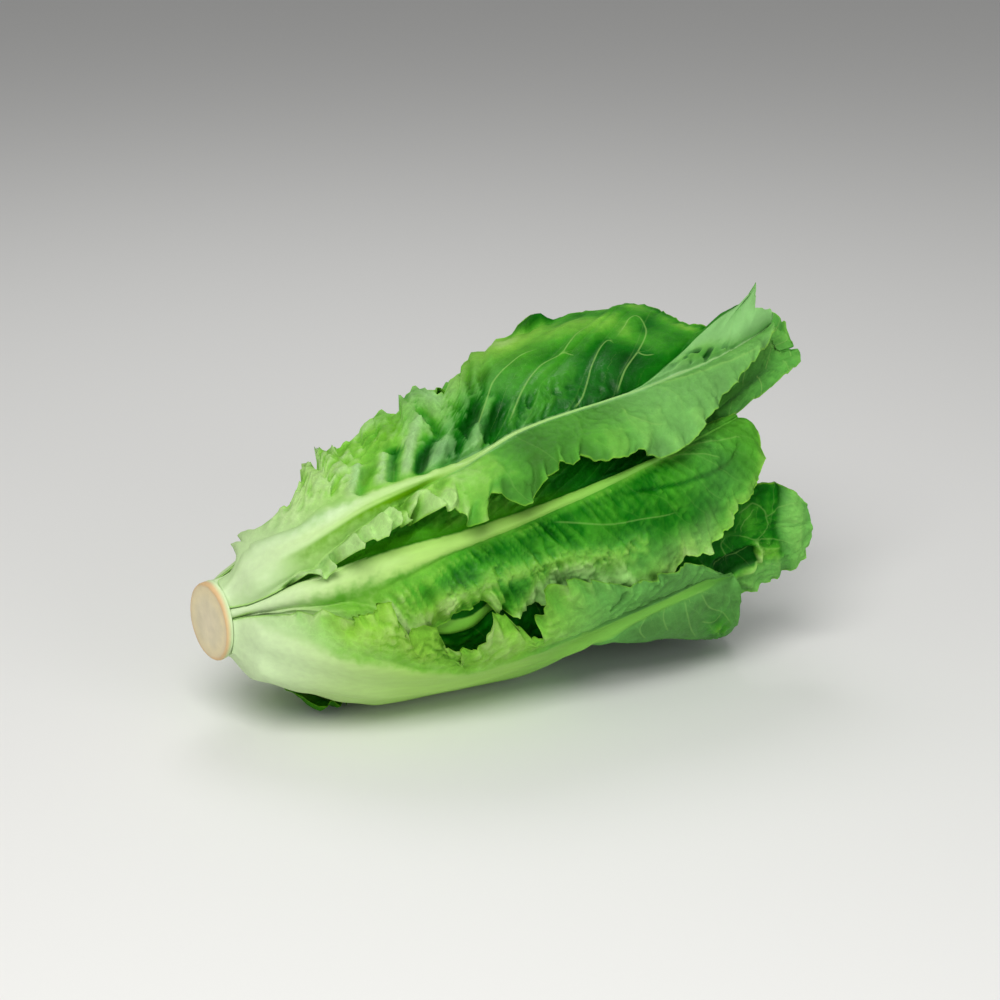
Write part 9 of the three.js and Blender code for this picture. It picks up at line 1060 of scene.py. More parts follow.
        # painted shade in the groove beside the rib on the upper side, and a deeper green at the tip
        deep_green_and_shade = up * band(L.near, 1.0, 1.2, 1.7, 2.8) * band(s, 30, 46, 110, 150) + 0.6 * step(0.88, 0.96, L.u)
        show = 0.04 + 0.04 * step(175, 200, s)
        lime = 0.35 * bump(L.v, 0.75, 0.22) * bump(s, 76, 11) + 0.05 * lo * step(0.55, 1.0, w) * step(150, 190, x) + 0.08 * step(0.93, 1, L.u)
        soft = np.where(lo > 0, 0.25 + 0.75 * step(60, 140, x), 0.8)
        rib_end = 260
    elif name == "lower_front_leaf":
        x = L.x
        fray(L, 0.9, 3.4, seed, band(s, 25, 50, 400, 500), 0, 5, 0.4)
        blade = up * off
        right = step(140, 175, s)
        L.p[..., 2] -= 3.0 * up * step(0.72, 1, w) * band(s, 4, 8, 20, 36)
        L.p[..., 2] += 2.8 * bump(s, 4.5, 3.2) * bump(L.p[..., 1], 150, 28)
        L.p[..., 2] -= 3.0 * band(s, 9, 17, 32, 50) * bump(L.p[..., 1], 160, 26)
        L.p[..., 1] -= 2.8 * up * step(0.70, 1, w) * band(x, 156, 167, 194, 206)
        L.p[..., 2] -= 10.5 * bump(x, 157, 13) * lo * step(0.12, 0.5, w)
        veins(L, spacing=13, lean=0.45, seed=seed, ridge=0.35, width=0.45)
        wrinkle(L, 5.0, 12, (1.5 * blade * right + 1.0 * lo * off * step(175, 200, s)), 0.35, seed + 11)
        pillows(L, 6.5, 0.7 * blade * step(25, 50, s), seed + 1)
        pillows(L, 3.4, 0.3 * blade * step(25, 50, s), seed + 2)
        ruffle(L, 3.2, 13, seed + 3, 0.45, step(20, 60, s), 0, 0.0)
        ruffle(L, 4.5, 9, seed + 23, 0.70, band(s, 9, 18, 44, 64), 0, 0.15)
        pocks = blade * band(x, 58, 74, 104, 118) * band(w, 0.40, 0.50, 0.80, 0.92) * step(0.10, 0.30, noise(L.X / 3.4, L.Y / 2.6, seed + 41))
        L.relief(-0.5 * pocks)
        L.relief(1.6 * noise(L.x / 30, L.y / 24, seed + 6) * off * step(0.1, 0.25, L.u))
        # darker in the pocks: painted shade in the hollows
        tone = np.interp(s, [20, 60, 100, 140, 180, 240], [0.14, 0.24, 0.20, 0.36, 0.50, 0.55]) + 0.22 * pocks
        # darker towards the tip and on the lower half past the middle: painted shade under the rib
        tone += 0.14 * bump(L.u, 0.86, 0.10) + lo * off * step(150, 185, s) * 0.24 * (1 - step(214, 228, s))
        line(L, [(0.55, 0.11), (0.611, 0.106), (0.699, 0.09), (0.777, 0.05), (0.857, 0.055), (0.918, 0.05), (0.965, 0.04)], 1.5, 1.0, 0.65, 0.9)
        crease = line(L, [(0.66, -0.14), (0.71, -0.15), (0.784, -0.14), (0.84, -0.16), (0.888, -0.13), (0.933, -0.09), (0.965, -0.085)], 1.3, -1.6)
        for pts in ([(0.881, 0.085), (0.877, 0.213), (0.877, 0.457), (0.885, 0.62)], [(0.918, 0.064), (0.922, 0.202), (0.944, 0.298), (0.955, 0.5)], [(0.84, 0.08), (0.83, 0.25), (0.835, 0.5)], [(0.90, 0.35), (0.92, 0.36), (0.94, 0.30)],
                    [(0.80, 0.08), (0.78, 0.3), (0.79, 0.55)]):
            line(L, pts, 1.0, 0.4, 0.26, 0.4)
        line(L, [(0.745, -0.46), (0.755, -0.53), (0.773, -0.689), (0.79, -0.92)], 1.5, -2.6)
        # darker in the crease: painted shade
        tone += 0.35 * crease + 0.26 * bump(s, 174, 11) * bump(L.v, 0.31, 0.16)
        leafy = bump(L.u, 0.93, 0.028) * bump(L.v, 0.50, 0.20)
        tone = tone * (1 - leafy) + 0.36 * leafy
        matte = 0.75 * step(110, 150, s) * (1 - leafy)
        lime = blade * band(s, 20, 40, 110, 160) * (0.6 - 0.32 * step(60, 90, s))
        show = 0.06 + 0 * s
        soft = np.where(up > 0, 0.60 + 0.2 * step(100, 180, x), 0.4)
        rib_end = 245
    elif name == "mid_front_low_leaf":
        show = 0.10 + 0 * s
        fray(L, 0.7, 3.4, seed, 1, 1, 6)
        veins(L, spacing=16, lean=0.6, seed=seed, ridge=0.3, width=0.4)
        wrinkle(L, 6.0, 9, 1.1 * off * grown, 0.2, seed + 11)
        pillows(L, 7, 0.9 * off * grown, seed + 1)
        pillows(L, 4.2, 0.4 * off * grown, seed + 2)
        ruffle(L, 1.8, 16, seed + 3, 0.5, 1, 1)
        L.p[..., 2] -= 9 * bump(s, 186, 26) * lo * step(0.6, 0.95, w)
        turn = np.interp(L.v, [-1, -0.4, 0.3, 1], [0.955, 0.935, 0.93, 0.93])     # the tip is folded over along this line
        tip = step(turn - 0.012, turn + 0.012, L.u)
        strip = step(0.46, 0.68, L.v) * step(0.78, 0.85, L.u)
        light = np.maximum(tip, strip)
        pocket = band(L.u, 0.765, 0.79, 0.868, 0.874) * band(L.v, 0.20, 0.28, 0.50, 0.58)
        L.relief(-1.6 * np.exp(-((L.u - turn) / 0.008) ** 2) + 1.2 * tip * bump(L.u, 0.965, 0.02) - 2.5 * pocket)
        # a rolled ridge, drawn lighter as well: a painted highlight
        line(L, [(0.872, 0.18), (0.876, 0.25), (0.879, 0.382), (0.872, 0.50), (0.854, 0.57), (0.829, 0.58)], 1.4, 2.4, 0.6, 0.9)
        for pts in ([(0.845, -0.35), (0.859, -0.455), (0.879, -0.58), (0.899, -0.432), (0.905, -0.205), (0.905, 0.0), (0.879, 0.164), (0.854, 0.073), (0.824, 0.018)],
                    [(0.88, -0.45), (0.874, -0.364), (0.856, -0.16), (0.849, 0.036)], [(0.874, 0.16), (0.884, 0.182), (0.905, 0.182), (0.935, 0.30), (0.955, 0.40)], [(0.878, 0.25), (0.894, 0.345), (0.93, 0.382)],
                    [(0.779, 0.30), (0.804, 0.273), (0.839, 0.300), (0.868, 0.24)], [(0.81, 0.28), (0.804, 0.109), (0.819, 0.03)],
                    [(0.95, 0.55), (0.965, 0.35), (0.975, 0.0), (0.98, -0.3)], [(0.905, -0.25), (0.925, -0.38), (0.945, -0.5), (0.97, -0.7)], [(0.885, 0.60), (0.905, 0.68), (0.935, 0.85)]):
            line(L, pts, 1.0, 0.30, 0.20, 0.40)
        tone = np.interp(s, [20, 80, 120, 200, 262], [0.30, 0.70, 0.90, 0.80, 0.72]) - 0.24 * bump(L.u, 0.872, 0.02) * bump(L.v, -0.2, 0.3)
        tone = tone - 0.22 * step(0.2, 0.5, L.v) * band(L.u, 0.70, 0.76, 0.86, 0.90) - 0.34 * bump(s, 242, 18) * step(0.15, 0.45, L.v)
        # painted light on the folded tip and on the strip that catches the light, and painted shade in the pocket
        tone = tone * (1 - light) + 0.42 * light
        tone = np.maximum(tone, 0.97 * pocket)
        matte = 0.7 * light
        mellow = 1 + 0 * s
        rib_end = 190
    elif name == "mid_top_leaf":
        show = 0.5 + 0 * s
        fray(L, 0.9, 3.6, seed, 1, 1, 6)
        veins(L, spacing=15, lean=0.5, seed=seed, ridge=0.3, width=0.4)
        wrinkle(L, 4.5, 9, 1.6 * off * grown, 0.4, seed + 11)
        pillows(L, 6.5, 0.6 * off * grown, seed + 1)
        ruffle(L, 2.4, 13, seed + 3, 0.5, 1, 1)
        L.p[..., 0] -= 9 * bump(L.v, -0.52, 0.10) * step(0.90, 1.0, L.u)      # a notch in the tip
        L.p[..., 2] += 4 * up * step(0.8, 1, w) * bump(L.u, 0.93, 0.05)
        tone = np.interp(s, [20, 80, 120, 200, 250, 282], [0.3, 0.7, 0.95, 0.76, 0.50, 0.44])
        tone = tone + 0.25 * bump(L.u, 0.90, 0.04) * bump(L.v, 0.1, 0.3)
        matte = 0.5 * step(205, 245, s)
        rib_end = 220
    elif "outer" in name:
        early = step(0.06, 0.22, L.u)
        meet = 16 * step(0.25, 1, w) * band(s, 3, 7, 22, 42)
        L.p[..., 1] += meet * (lo if name == "outer_back_low_leaf" else -up if name == "outer_back_leaf" else 0)
        if name == "outer_back_low_leaf":      # down to the margin that it meets under the head
            L.p[..., 1] += up * step(0.25, 1, w) * np.interp(s, [2, 4, 10, 14, 18, 22, 28, 33], [-24, -29, -33, -34, -32, -25, -7, 0])
        if name == "outer_back_leaf":
            L.p[..., 2] -= 4.5 * band(s, 30, 40, 62, 76) * band((L.p[..., 1] + 180) % 360 - 180, -78, -66, -36, -28)
        fray(L, 4.5 * early, 15, seed, 1, 1, 4)
        fray(L, 1.2, 3.8, seed + 8, early, early, 5, 0.5)
        veins(L, spacing=17, lean=0.5, seed=seed, ridge=0.5, width=0.55)
        wrinkle(L, 6.0, 14, 3.2 * off * early, 0.45, seed + 11)
        wrinkle(L, 3.8, 8, 1.4 * off * early, 0.45, seed + 12)
        pillows(L, 6.0, 1.4 * off * early, seed + 1)
        ruffle(L, 4.2, 14, seed + 3, 0.5, early, early, 0.15)
        L.relief(1.6 * fbm(L.x / 40, L.y / 32, seed + 6, 2) * off * early)
        tone = np.interp(s, [20, 60, 100, 150, 200, 280], [0.05, 0.18, 0.40, 0.70, 0.84, 0.70]) - 0.2 * step(0.6, 1, w)
        matte = 0.25 * step(90, 150, s)
        rib_end = 210
        if name == "outer_back_low_leaf":
            # a deeper, darker green along the underside near the ground
            deep_green_and_shade = bump(L.p[..., 1], 170, 14) * band(s, 22, 30, 64, 72)
            tone = np.maximum(tone, 0.70 * deep_green_and_shade)
    else:
        early = step(0.06, 0.22, L.u)
        k = 1.0 if "mid" in name else 0.7
        fray(L, 3.0 * k * early, 15, seed, 1, 1, 4)
        veins(L, spacing=14, lean=0.5, seed=seed, ridge=0.3, width=0.4)
        pillows(L, 5.5 * k + 0.8, (0.6 if "mid" in name else 0.75) * off * early, seed + 1)
        if "mid" not in name:
            wrinkle(L, 5.5, 11, 1.1 * off * early, 0.45, seed + 11)
        ruffle(L, 1.5 if "mid" in name else 2.2, 12, seed + 3, 0.55, early, early, 0)
        tone = np.interp(s, [20, 60, 90, 140, 280], [0.20, 0.45, 0.75, 0.88, 0.66] if "mid" in name else [0, 0.06, 0.14, 0.26, 0.20] if "inner" in name else [0, 0, 0, 0.04, 0.06])
        lime = 0 * s if "mid" in name else (0.30 if "inner" in name else 0.55) * off
        matte = 0 * s
        rib_end = 190
    if L.p[0, :, 0].min() < 3:
        L.join(9.0 if name == "lower_front_leaf" else 12.0)
    if name == "mid_bottom_leaf":
        L.p[..., 2] -= 8 * bump(s, 187, 24)
    filled = fill if name == "centre_front_leaf" else 0 * s
    worst = settle(L, ROOM)
    if name == "centre_front_leaf":      # and right up to the two margins over it
        out, _ = L.faces()
        seam = step(th_a - 1.4, th_a, L.p[..., 1]) * (1 - step(th_f, th_f + 1.4, L.p[..., 1])) * (1 - step(38, 62, s))
        top = np.minimum(ROOM.limit(L.p[..., 0], L.p[..., 1]) - CLEAR, np.interp(L.p[..., 0], at, BASE_R) * arch)
        L.p[..., 2] += seam * np.maximum(top - out, 0)
    L.measure()
    # ---- colour ----
    s = L.p[..., 0]
    # random variation, and the mesh relief painted in: darker in its hollows and lighter on its crests, painted shade
    # and painted highlight
    tone = tone + 0.09 * fbm(L.X / 20, L.Y / 16, seed + 20, 3) + 0.04 * noise(L.X / 3, L.Y / 3, seed + 21) - 0.12 * np.clip(L.h, -1.6, 1.6) * off
    tone = np.clip(tone, 0, 1)
    c = ramp(tone, BLADE)
    c = mix(c, MATTE * (1 - 0.5 * (tone[..., None] - 0.4)), np.clip(matte + 0 * s, 0, 1))
    c = mix(c, LIME + 0 * c, np.clip(lime, 0, 1) * 0.85)
    c = mix(c, PALE + 0 * c, np.clip(pale_and_highlight, 0, 1))
    near = L.near = np.minimum(L.near, np.where(filled > 0.3, 0.95, 99.0))
    ribc = ramp(s + 12 * np.clip(near, 0, 1.5) ** 2, RIB, RIB_S)
    ribc = mix(ribc, rgb(*((142, 222, 74) if name == "mid_front_low_leaf" else (150, 208, 78))) * (1 - 0.5 * step(60, 120, s))[..., None] ** 0.5, np.clip(mellow, 0, 1))
    if name == "lower_front_leaf":
        ribc = mix(ribc, rgb(92, 162, 62) + 0 * c, 0.35 * band(s, 115, 140, 176, 190))
    if name == "upper_front_leaf":
        ribc = mix(ribc, rgb(98, 158, 0) + 0 * c, 0.97 * np.clip(shaded, 0, 1))
        # the rib's crest painted near white: a painted highlight
        ribc = mix(ribc, rgb(230, 246, 216) + 0 * c, 0.85 * np.clip(crest, 0, 1))
    # deep green mixed in: painted shade on the upper and centre front leaves, deeper green on the underside of the
    # lowest outer leaf
    c = mix(c, rgb(*((98, 172, 16) if name == "upper_front_leaf" else (70, 152, 6))) + 0 * c, 0.75 * np.clip(deep_green_and_shade, 0, 1))
    # lighter green: a painted highlight on the frill's lobes, and a lighter margin on the centre front leaf
    c = mix(c, rgb(192, 234, 150) + 0 * c, 0.75 * np.clip(bright, 0, 1))
    ribc = mix(ribc, rgb(190, 226, 156) + 0 * c, np.clip(pale_and_highlight, 0, 1) * 0.8)
    white = 1 - step(8, 44, s + (0.15 if name == "lower_front_leaf" else 0.35) * d)
    if name == "upper_front_leaf":
        white = (1 - step(10, 60, s + 0.35 * d)) * (1 - 0.8 * np.clip(shaded, 0, 1))
    if name == "centre_front_leaf":
        ribc = mix(ribc, LIME + 0 * c, 0.7 * bump(L.p[..., 1], 70.5, 2.2) * band(s, 2.4, 3, 8, 13))
        white = white * (1 - 0.8 * bump(L.p[..., 1], 70.5, 2.2) * band(s, 2.4, 3, 8, 13))
    c = mix(c, WHITE + 0 * c, 0.85 * white)
    L.fade = (1 - 0.45 * step(rib_end - 60, rib_end, s)) * (1 - step(rib_end, rib_end + 40, s))
    L.colour = np.clip(c, 0, 1)
    L.ribcolour = np.clip(mix(ribc, WHITE + 0 * c, 0.7 * white), 0, 1)
    L.show = (show + 0 * s) * (0.55 + 0.9 * np.clip(noise(L.x / 16, L.y / 12, seed + 30) + 0.5, 0, 1))
    L.near = 1.13 + (np.minimum(near, 40) - 1.13) * soft
    L.ribmask = np.clip(np.maximum((1 - step(0.8, 1.3, near)) * L.fade + 0.6 * white, calm), 0, 1)
    ROOM.add(L)
    return L, worst


def mesh_of(L):
    out, inn = L.faces()
    a, b = place(L.p[..., 0], L.p[..., 1], out), place(L.p[..., 0], L.p[..., 1], inn)
    shift_ = BACK * (SCALE * L.pull[..., None] / 1000)
    a, b = a + shift_, b + shift_
    a[..., 2], b[..., 2] = np.maximum(a[..., 2], 0.00035), np.maximum(b[..., 2], 0.0006)
    n, m = L.u.shape
    co = np.concatenate([a.reshape(-1, 3), b.reshape(-1, 3)])
    ids = np.arange(n * m).reshape(n, m)
    q = np.stack([ids[:-1, :-1], ids[1:, :-1], ids[1:, 1:], ids[:-1, 1:]], -1).reshape(-1, 4)
    ring = np.concatenate([ids[0, :-1], ids[:-1, -1], ids[-1, :0:-1], ids[:0:-1, 0]])
    nxt = np.roll(ring, -1)
    rim = np.stack([ring, nxt, nxt + n * m, ring + n * m], -1)
    # outward: compare one face's normal with the way out
    i = (n // 2) * (m - 1) + m // 4
    f = q[i]
    nrm = np.cross(co[f[1]] - co[f[0]], co[f[2]] - co[f[0]])
    outwards = nrm @ (co[f[0]] - co[f[0] + n * m]) > 0
    if not outwards:
        q, rim = q[:, ::-1], rim[:, ::-1]
    faces = np.concatenate([q, (q + n * m)[:, ::-1], rim[:, ::-1]])
    me = bpy.data.meshes.new(L.name)
    me.vertices.add(len(co))
    me.vertices.foreach_set("co", co.astype(np.float32).ravel())
    me.loops.add(len(faces) * 4)
    me.loops.foreach_set("vertex_index", faces.astype(np.int32).ravel())
    me.polygons.add(len(faces))
    me.polygons.foreach_set("loop_start", np.arange(0, len(faces) * 4, 4, dtype=np.int32))
    me.polygons.foreach_set("use_smooth", np.ones(len(faces), bool))
    me.update(calc_edges=True)
    # a map of the two faces side by side
    uu, vv = L.u, (L.v - L.v.min()) / (L.v.max() - L.v.min())
    uv = np.concatenate([np.stack([0.01 + 0.48 * vv, 0.01 + 0.98 * uu], -1).reshape(-1, 2), np.stack([0.51 + 0.48 * vv, 0.01 + 0.98 * uu], -1).reshape(-1, 2)])
    luv = uv[faces.ravel()].reshape(-1, 4, 2)
    k = len(q)
    luv[2 * k:, 2:] = luv[2 * k:, 1::-1] + [0.004, 0.004]
    me.uv_layers.new(name="OFBake").data.foreach_set("uv", luv.astype(np.float32).ravel())
    col = np.concatenate([L.colour.reshape(-1, 3)] * 2)
    att = me.color_attributes.new(name="tint", type="FLOAT_COLOR", domain="POINT")
    att.data.foreach_set("color", np.concatenate([col, np.ones((len(col), 1))], 1).astype(np.float32).ravel())
    att = me.color_attributes.new(name="rib", type="FLOAT_COLOR", domain="POINT")
    col = np.concatenate([L.ribcolour.reshape(-1, 3)] * 2)
    att.data.foreach_set("color", np.concatenate([col, np.ones((len(col), 1))], 1).astype(np.float32).ravel())
    for nm, val in (("fleshy", L.ribmask), ("near", L.near), ("fade", L.fade), ("show", L.show), ("phase", L.phase + 400), ("gap", L.gap), ("vwidth", L.vwidth), ("edge", L.to_edge), ("trace", L.trace), ("tracew", L.tracew), ("tracek", L.tracek), ("gloss", L.gloss)):
        at = me.attributes.new(nm, "FLOAT", "POINT")
        at.data.foreach_set("value", np.concatenate([(val + 0 * L.u).ravel()] * 2).astype(np.float32))
    return me


# ---- materials ----
class Graph:
    """a short way to write a node tree"""

    def __init__(self, name):
        self.m = bpy.data.materials.new(name)
        self.m.use_nodes = True
        self.nt = self.m.node_tree
        self.nt.nodes.clear()

    def node(self, kind, **sockets):
        n = self.nt.nodes.new(kind)
        for key, val in sockets.items():
            self.put(n.inputs[key.replace("_", " ")], val)
        return n

    def put(self, socket, val):
        if isinstance(val, bpy.types.NodeSocket):
            self.nt.links.new(val, socket)
        else:
            socket.default_value = val

    def math(self, op, a, b=None, c=None, clamp=False):
        n = self.nt.nodes.new("ShaderNodeMath")
        n.operation, n.use_clamp = op, clamp
        for i, val in enumerate((a, b, c)):
            if val is not None:
                self.put(n.inputs[i], val)
        return n.outputs[0]

    def attr(self, name, colour=False):
        n = self.nt.nodes.new("ShaderNodeAttribute")
        n.attribute_name = name
        return n.outputs["Color" if colour else "Fac"]

    def ramp(self, val, a, b, lo=0.0, hi=1.0, smooth=False):
        n = self.nt.nodes.new("ShaderNodeMapRange")
        if smooth:
            n.interpolation_type = "SMOOTHSTEP"
        for i, q in enumerate((val, a, b, lo, hi)):
            self.put(n.inputs[i], q)
        return n.outputs[0]

    def blend(self, fac, a, b, kind="MIX"):
        n = self.nt.nodes.new("ShaderNodeMixRGB")
        n.blend_type = kind
        for i, q in enumerate((fac, a, b)):
            self.put(n.inputs[i], q)
        return n.outputs[0]


def leaf_material(name, through, rough):
    g = Graph(name)
    co = g.node("ShaderNodeTexCoord").outputs["Object"]
    tint, rib, fleshy = g.attr("tint", True), g.attr("rib", True), g.attr("fleshy")
    near, fade, phase, gap, vwidth, edge, show = [g.attr(k) for k in ("near", "fade", "phase", "gap", "vwidth", "edge", "show")]
    trace, tracew, tracek, gloss = [g.attr(k) for k in ("trace", "tracew", "tracek", "gloss")]
    big = g.node("ShaderNodeTexNoise", Vector=co, Scale=150.0, Detail=5.0, Roughness=0.6).outputs["Fac"]
    fine = g.node("ShaderNodeTexNoise", Vector=co, Scale=800.0, Detail=3.0).outputs["Fac"]
    warp = g.node("ShaderNodeTexNoise", Vector=co, Scale=260.0, Detail=2.0)
    bent = g.blend(0.0035, co, warp.outputs["Color"], "ADD")
    cell = g.nt.nodes.new("ShaderNodeTexVoronoi")
    cell.feature = "DISTANCE_TO_EDGE"
    cell.inputs["Scale"].default_value = 260
    g.put(cell.inputs["Vector"], bent)
    lines = g.ramp(cell.outputs["Distance"], 0.0, 0.10, 1.0, 0.0)
    # the rib's crisp side, and the lateral veins
    wob = g.math("MULTIPLY_ADD", warp.outputs["Fac"], 0.22, near)
    onrib = g.math("MULTIPLY", g.ramp(wob, 1.02, 1.24, 1.0, 0.0, True), fade)
    blade = g.math("SUBTRACT", 1.0, onrib)
    away = g.math("MULTIPLY", g.math("PINGPONG", phase, 0.5), gap)
    wide = g.math("MULTIPLY_ADD", warp.outputs["Fac"], 0.35, vwidth)
    vein = g.math("MULTIPLY", g.math("MULTIPLY", g.ramp(away, 0.0, wide, 1.0, 0.0, True), blade), show)
    net = g.math("MULTIPLY", g.math("MULTIPLY", lines, blade), g.math("SUBTRACT", 1.0, fleshy, clamp=True))
    calm = g.math("SUBTRACT", 1.0, fleshy, clamp=True)
    shade = g.math("MULTIPLY_ADD", g.ramp(big, 0.3, 0.7, -0.15, 0.13), calm, 1.0)
    n = g.nt.nodes.new("ShaderNodeVectorMath")
    n.operation = "SCALE"
    g.put(n.inputs[0], tint)
    g.put(n.inputs["Scale"], shade)
    lit = g.nt.nodes.new("ShaderNodeVectorMath")
    lit.operation = "SCALE"
    g.put(lit.inputs[0], n.outputs[0])
    g.put(lit.inputs["Scale"], g.math("MULTIPLY_ADD", net, 0.09, 1.0))
    drawn = g.math("MULTIPLY", g.ramp(g.math("ABSOLUTE", trace), 0.15, g.math("MULTIPLY_ADD", warp.outputs["Fac"], 0.30, tracew), 1.0, 0.0, True), tracek)
    col = g.blend(g.math("MAXIMUM", g.math("MULTIPLY", vein, 0.8), drawn), lit.outputs[0], (*VEIN, 1))
    # painted glow: the thin margins lightened as if lit from behind
    rim = g.math("MULTIPLY", g.ramp(g.math("MULTIPLY_ADD", warp.outputs["Fac"], 0.9, edge), 0.55, 1.5, 1.0, 0.0, True), 0.5)
    col = g.blend(rim, col, (*GLOW, 1))
    streak = g.node("ShaderNodeMapping", Vector=co, Scale=(40.0, 420.0, 420.0)).outputs[0]
    fibre = g.node("ShaderNodeTexNoise", Vector=streak, Scale=1.0, Detail=3.0).outputs["Fac"]
    n = g.nt.nodes.new("ShaderNodeVectorMath")
    n.operation = "SCALE"
    g.put(n.inputs[0], rib)
    g.put(n.inputs["Scale"], g.ramp(fibre, 0.3, 0.7, 0.95, 1.04))
    col = g.blend(onrib, col, n.outputs[0])
    # small relief under that of the mesh
    h = g.math("MULTIPLY_ADD", lines, 0.10, big)
    h = g.math("MULTIPLY_ADD", fine, 0.30, h)
    h = g.math("MULTIPLY_ADD", vein, 0.5, h)
    bp = g.node("ShaderNodeBump", Height=h, Strength=g.ramp(fleshy, 0.0, 0.8, 0.70, 0.10))
    bp.inputs["Distance"].default_value = 0.0008
    pr = g.node("ShaderNodeBsdfPrincipled", Base_Color=col, Roughness=g.math("MULTIPLY_ADD", gloss, -0.10, g.ramp(fine, 0.3, 0.7, rough - 0.04, rough + 0.14)), Normal=bp.outputs[0])
    g.put(pr.inputs["Specular IOR Level"], g.math("MULTIPLY_ADD", gloss, 0.36, g.ramp(onrib, 0.0, 1.0, 0.07, 0.16)))
    warm = g.blend(1.0, col, (0.90, 1.0, 0.35, 1), "MULTIPLY")
    tr = g.node("ShaderNodeBsdfTranslucent", Color=warm, Normal=bp.outputs[0])
    mx = g.nt.nodes.new("ShaderNodeMixShader")
    g.put(mx.inputs[0], g.ramp(onrib, 0.0, 1.0, through, 0.10))
    g.put(mx.inputs[1], pr.outputs[0])
    g.put(mx.inputs[2], tr.outputs[0])
    g.node("ShaderNodeOutputMaterial", Surface=mx.outputs[0])
    return g.m


MAT = {"outer_leaf": leaf_material("outer leaf", 0.24, 0.42), "second_ring_leaf": leaf_material("second ring leaf", 0.24, 0.42),
       "inner_leaf": leaf_material("inner leaf", 0.26, 0.42), "heart_leaf": leaf_material("heart leaf", 0.28, 0.42)}


def slot_of(name):
    if name.startswith("heart"):
        return "heart_leaf"
    if name.startswith("inner"):
        return "inner_leaf"
    return "second_ring_leaf" if name.startswith("mid") else "outer_leaf"


ORDER = list(TABLE)
ROOM = Room()
for name in ORDER:
    L, worst = grow(name)
    me = mesh_of(L)
    me.materials.append(MAT[slot_of(name)])
    ob = bpy.data.objects.new("look_" + name, me)
    bpy.context.scene.collection.objects.link(ob)
    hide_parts(name)
    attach(ob, "root")
    print("%-22s %d triangles, still over by %.2f" % (name, 2 * len(me.polygons), worst))


# ---- the cut stem ----
def stem():
    n = 160
    a = np.arange(n) * 2 * np.pi / n
    wob = 1 + 0.012 * noise(a / 0.6, 0 * a + 2, 5) + 0.010 * np.sin(2 * a + 1) + 0.004 * noise(a / 0.13, 0 * a, 9)
    rows = []
    for k in range(26):            # the face, from its middle out
        r = 15.6 * k / 25
        z = -0.8 + 0.25 * (r / 15.6) ** 2
        rows.append((z + 0.10 * fbm(np.cos(a) * r / 3.1 + 7, np.sin(a) * r / 3.1, 3, 3) * (r > 0), r * (1 + (wob - 1) * r / 15.6)))
    for s, r in ((-0.62, 16.1), (-0.35, 16.55), (0.0, 16.85), (0.5, 17.0), (1.0, 17.0), (1.5, 16.85), (1.9, 16.95), (2.12, 16.9), (2.19, 16.7), (2.20, 12.5), (2.21, 11), (3.0, 9.6), (4.2, 8.0), (6, 6.2), (8, 5.2),
                 (18, 4.3), (26, 3.1), (36, 2.8), (48, 2.1), (57, 1.2), (58.6, 0.9), (58.9, 0.05)):
        rows.append((s + 0 * a, (r if r < 15 else r * wob) + 0 * a))
    s = np.array([q[0] + 0 * a for q in rows]); r = np.array([q[1] + 0 * a for q in rows])
    s -= 1.1 * (1 - np.sin(a) * r / 17) * (1 - step(-0.5, 1.6, s))     # the cut is a little askew
    th = np.degrees(a)[None] + 0 * s
    co = place(s, th, r)
    co[0] = co[0].mean(0)
    m = len(rows)
    ids = np.arange(m * n).reshape(m, n)
    j = (np.arange(n) + 1) % n
    q = np.stack([ids[:-1], ids[:-1][:, j], ids[1:][:, j], ids[1:]], -1).reshape(-1, 4)
    co = co.reshape(-1, 3)
    me = bpy.data.meshes.new("stem")
    me.from_pydata(co.tolist(), [], q.tolist())
    import bmesh
    bm = bmesh.new(); bm.from_mesh(me)
    bmesh.ops.remove_doubles(bm, verts=bm.verts, dist=1e-6)
    bmesh.ops.holes_fill(bm, edges=bm.edges, sides=400)
    bmesh.ops.recalc_face_normals(bm, faces=bm.faces)
    bm.to_mesh(me); bm.free()
    for p in me.polygons:
        p.use_smooth = True
    ob = bpy.data.objects.new("look_stem", me)
    bpy.context.scene.collection.objects.link(ob)
    return ob


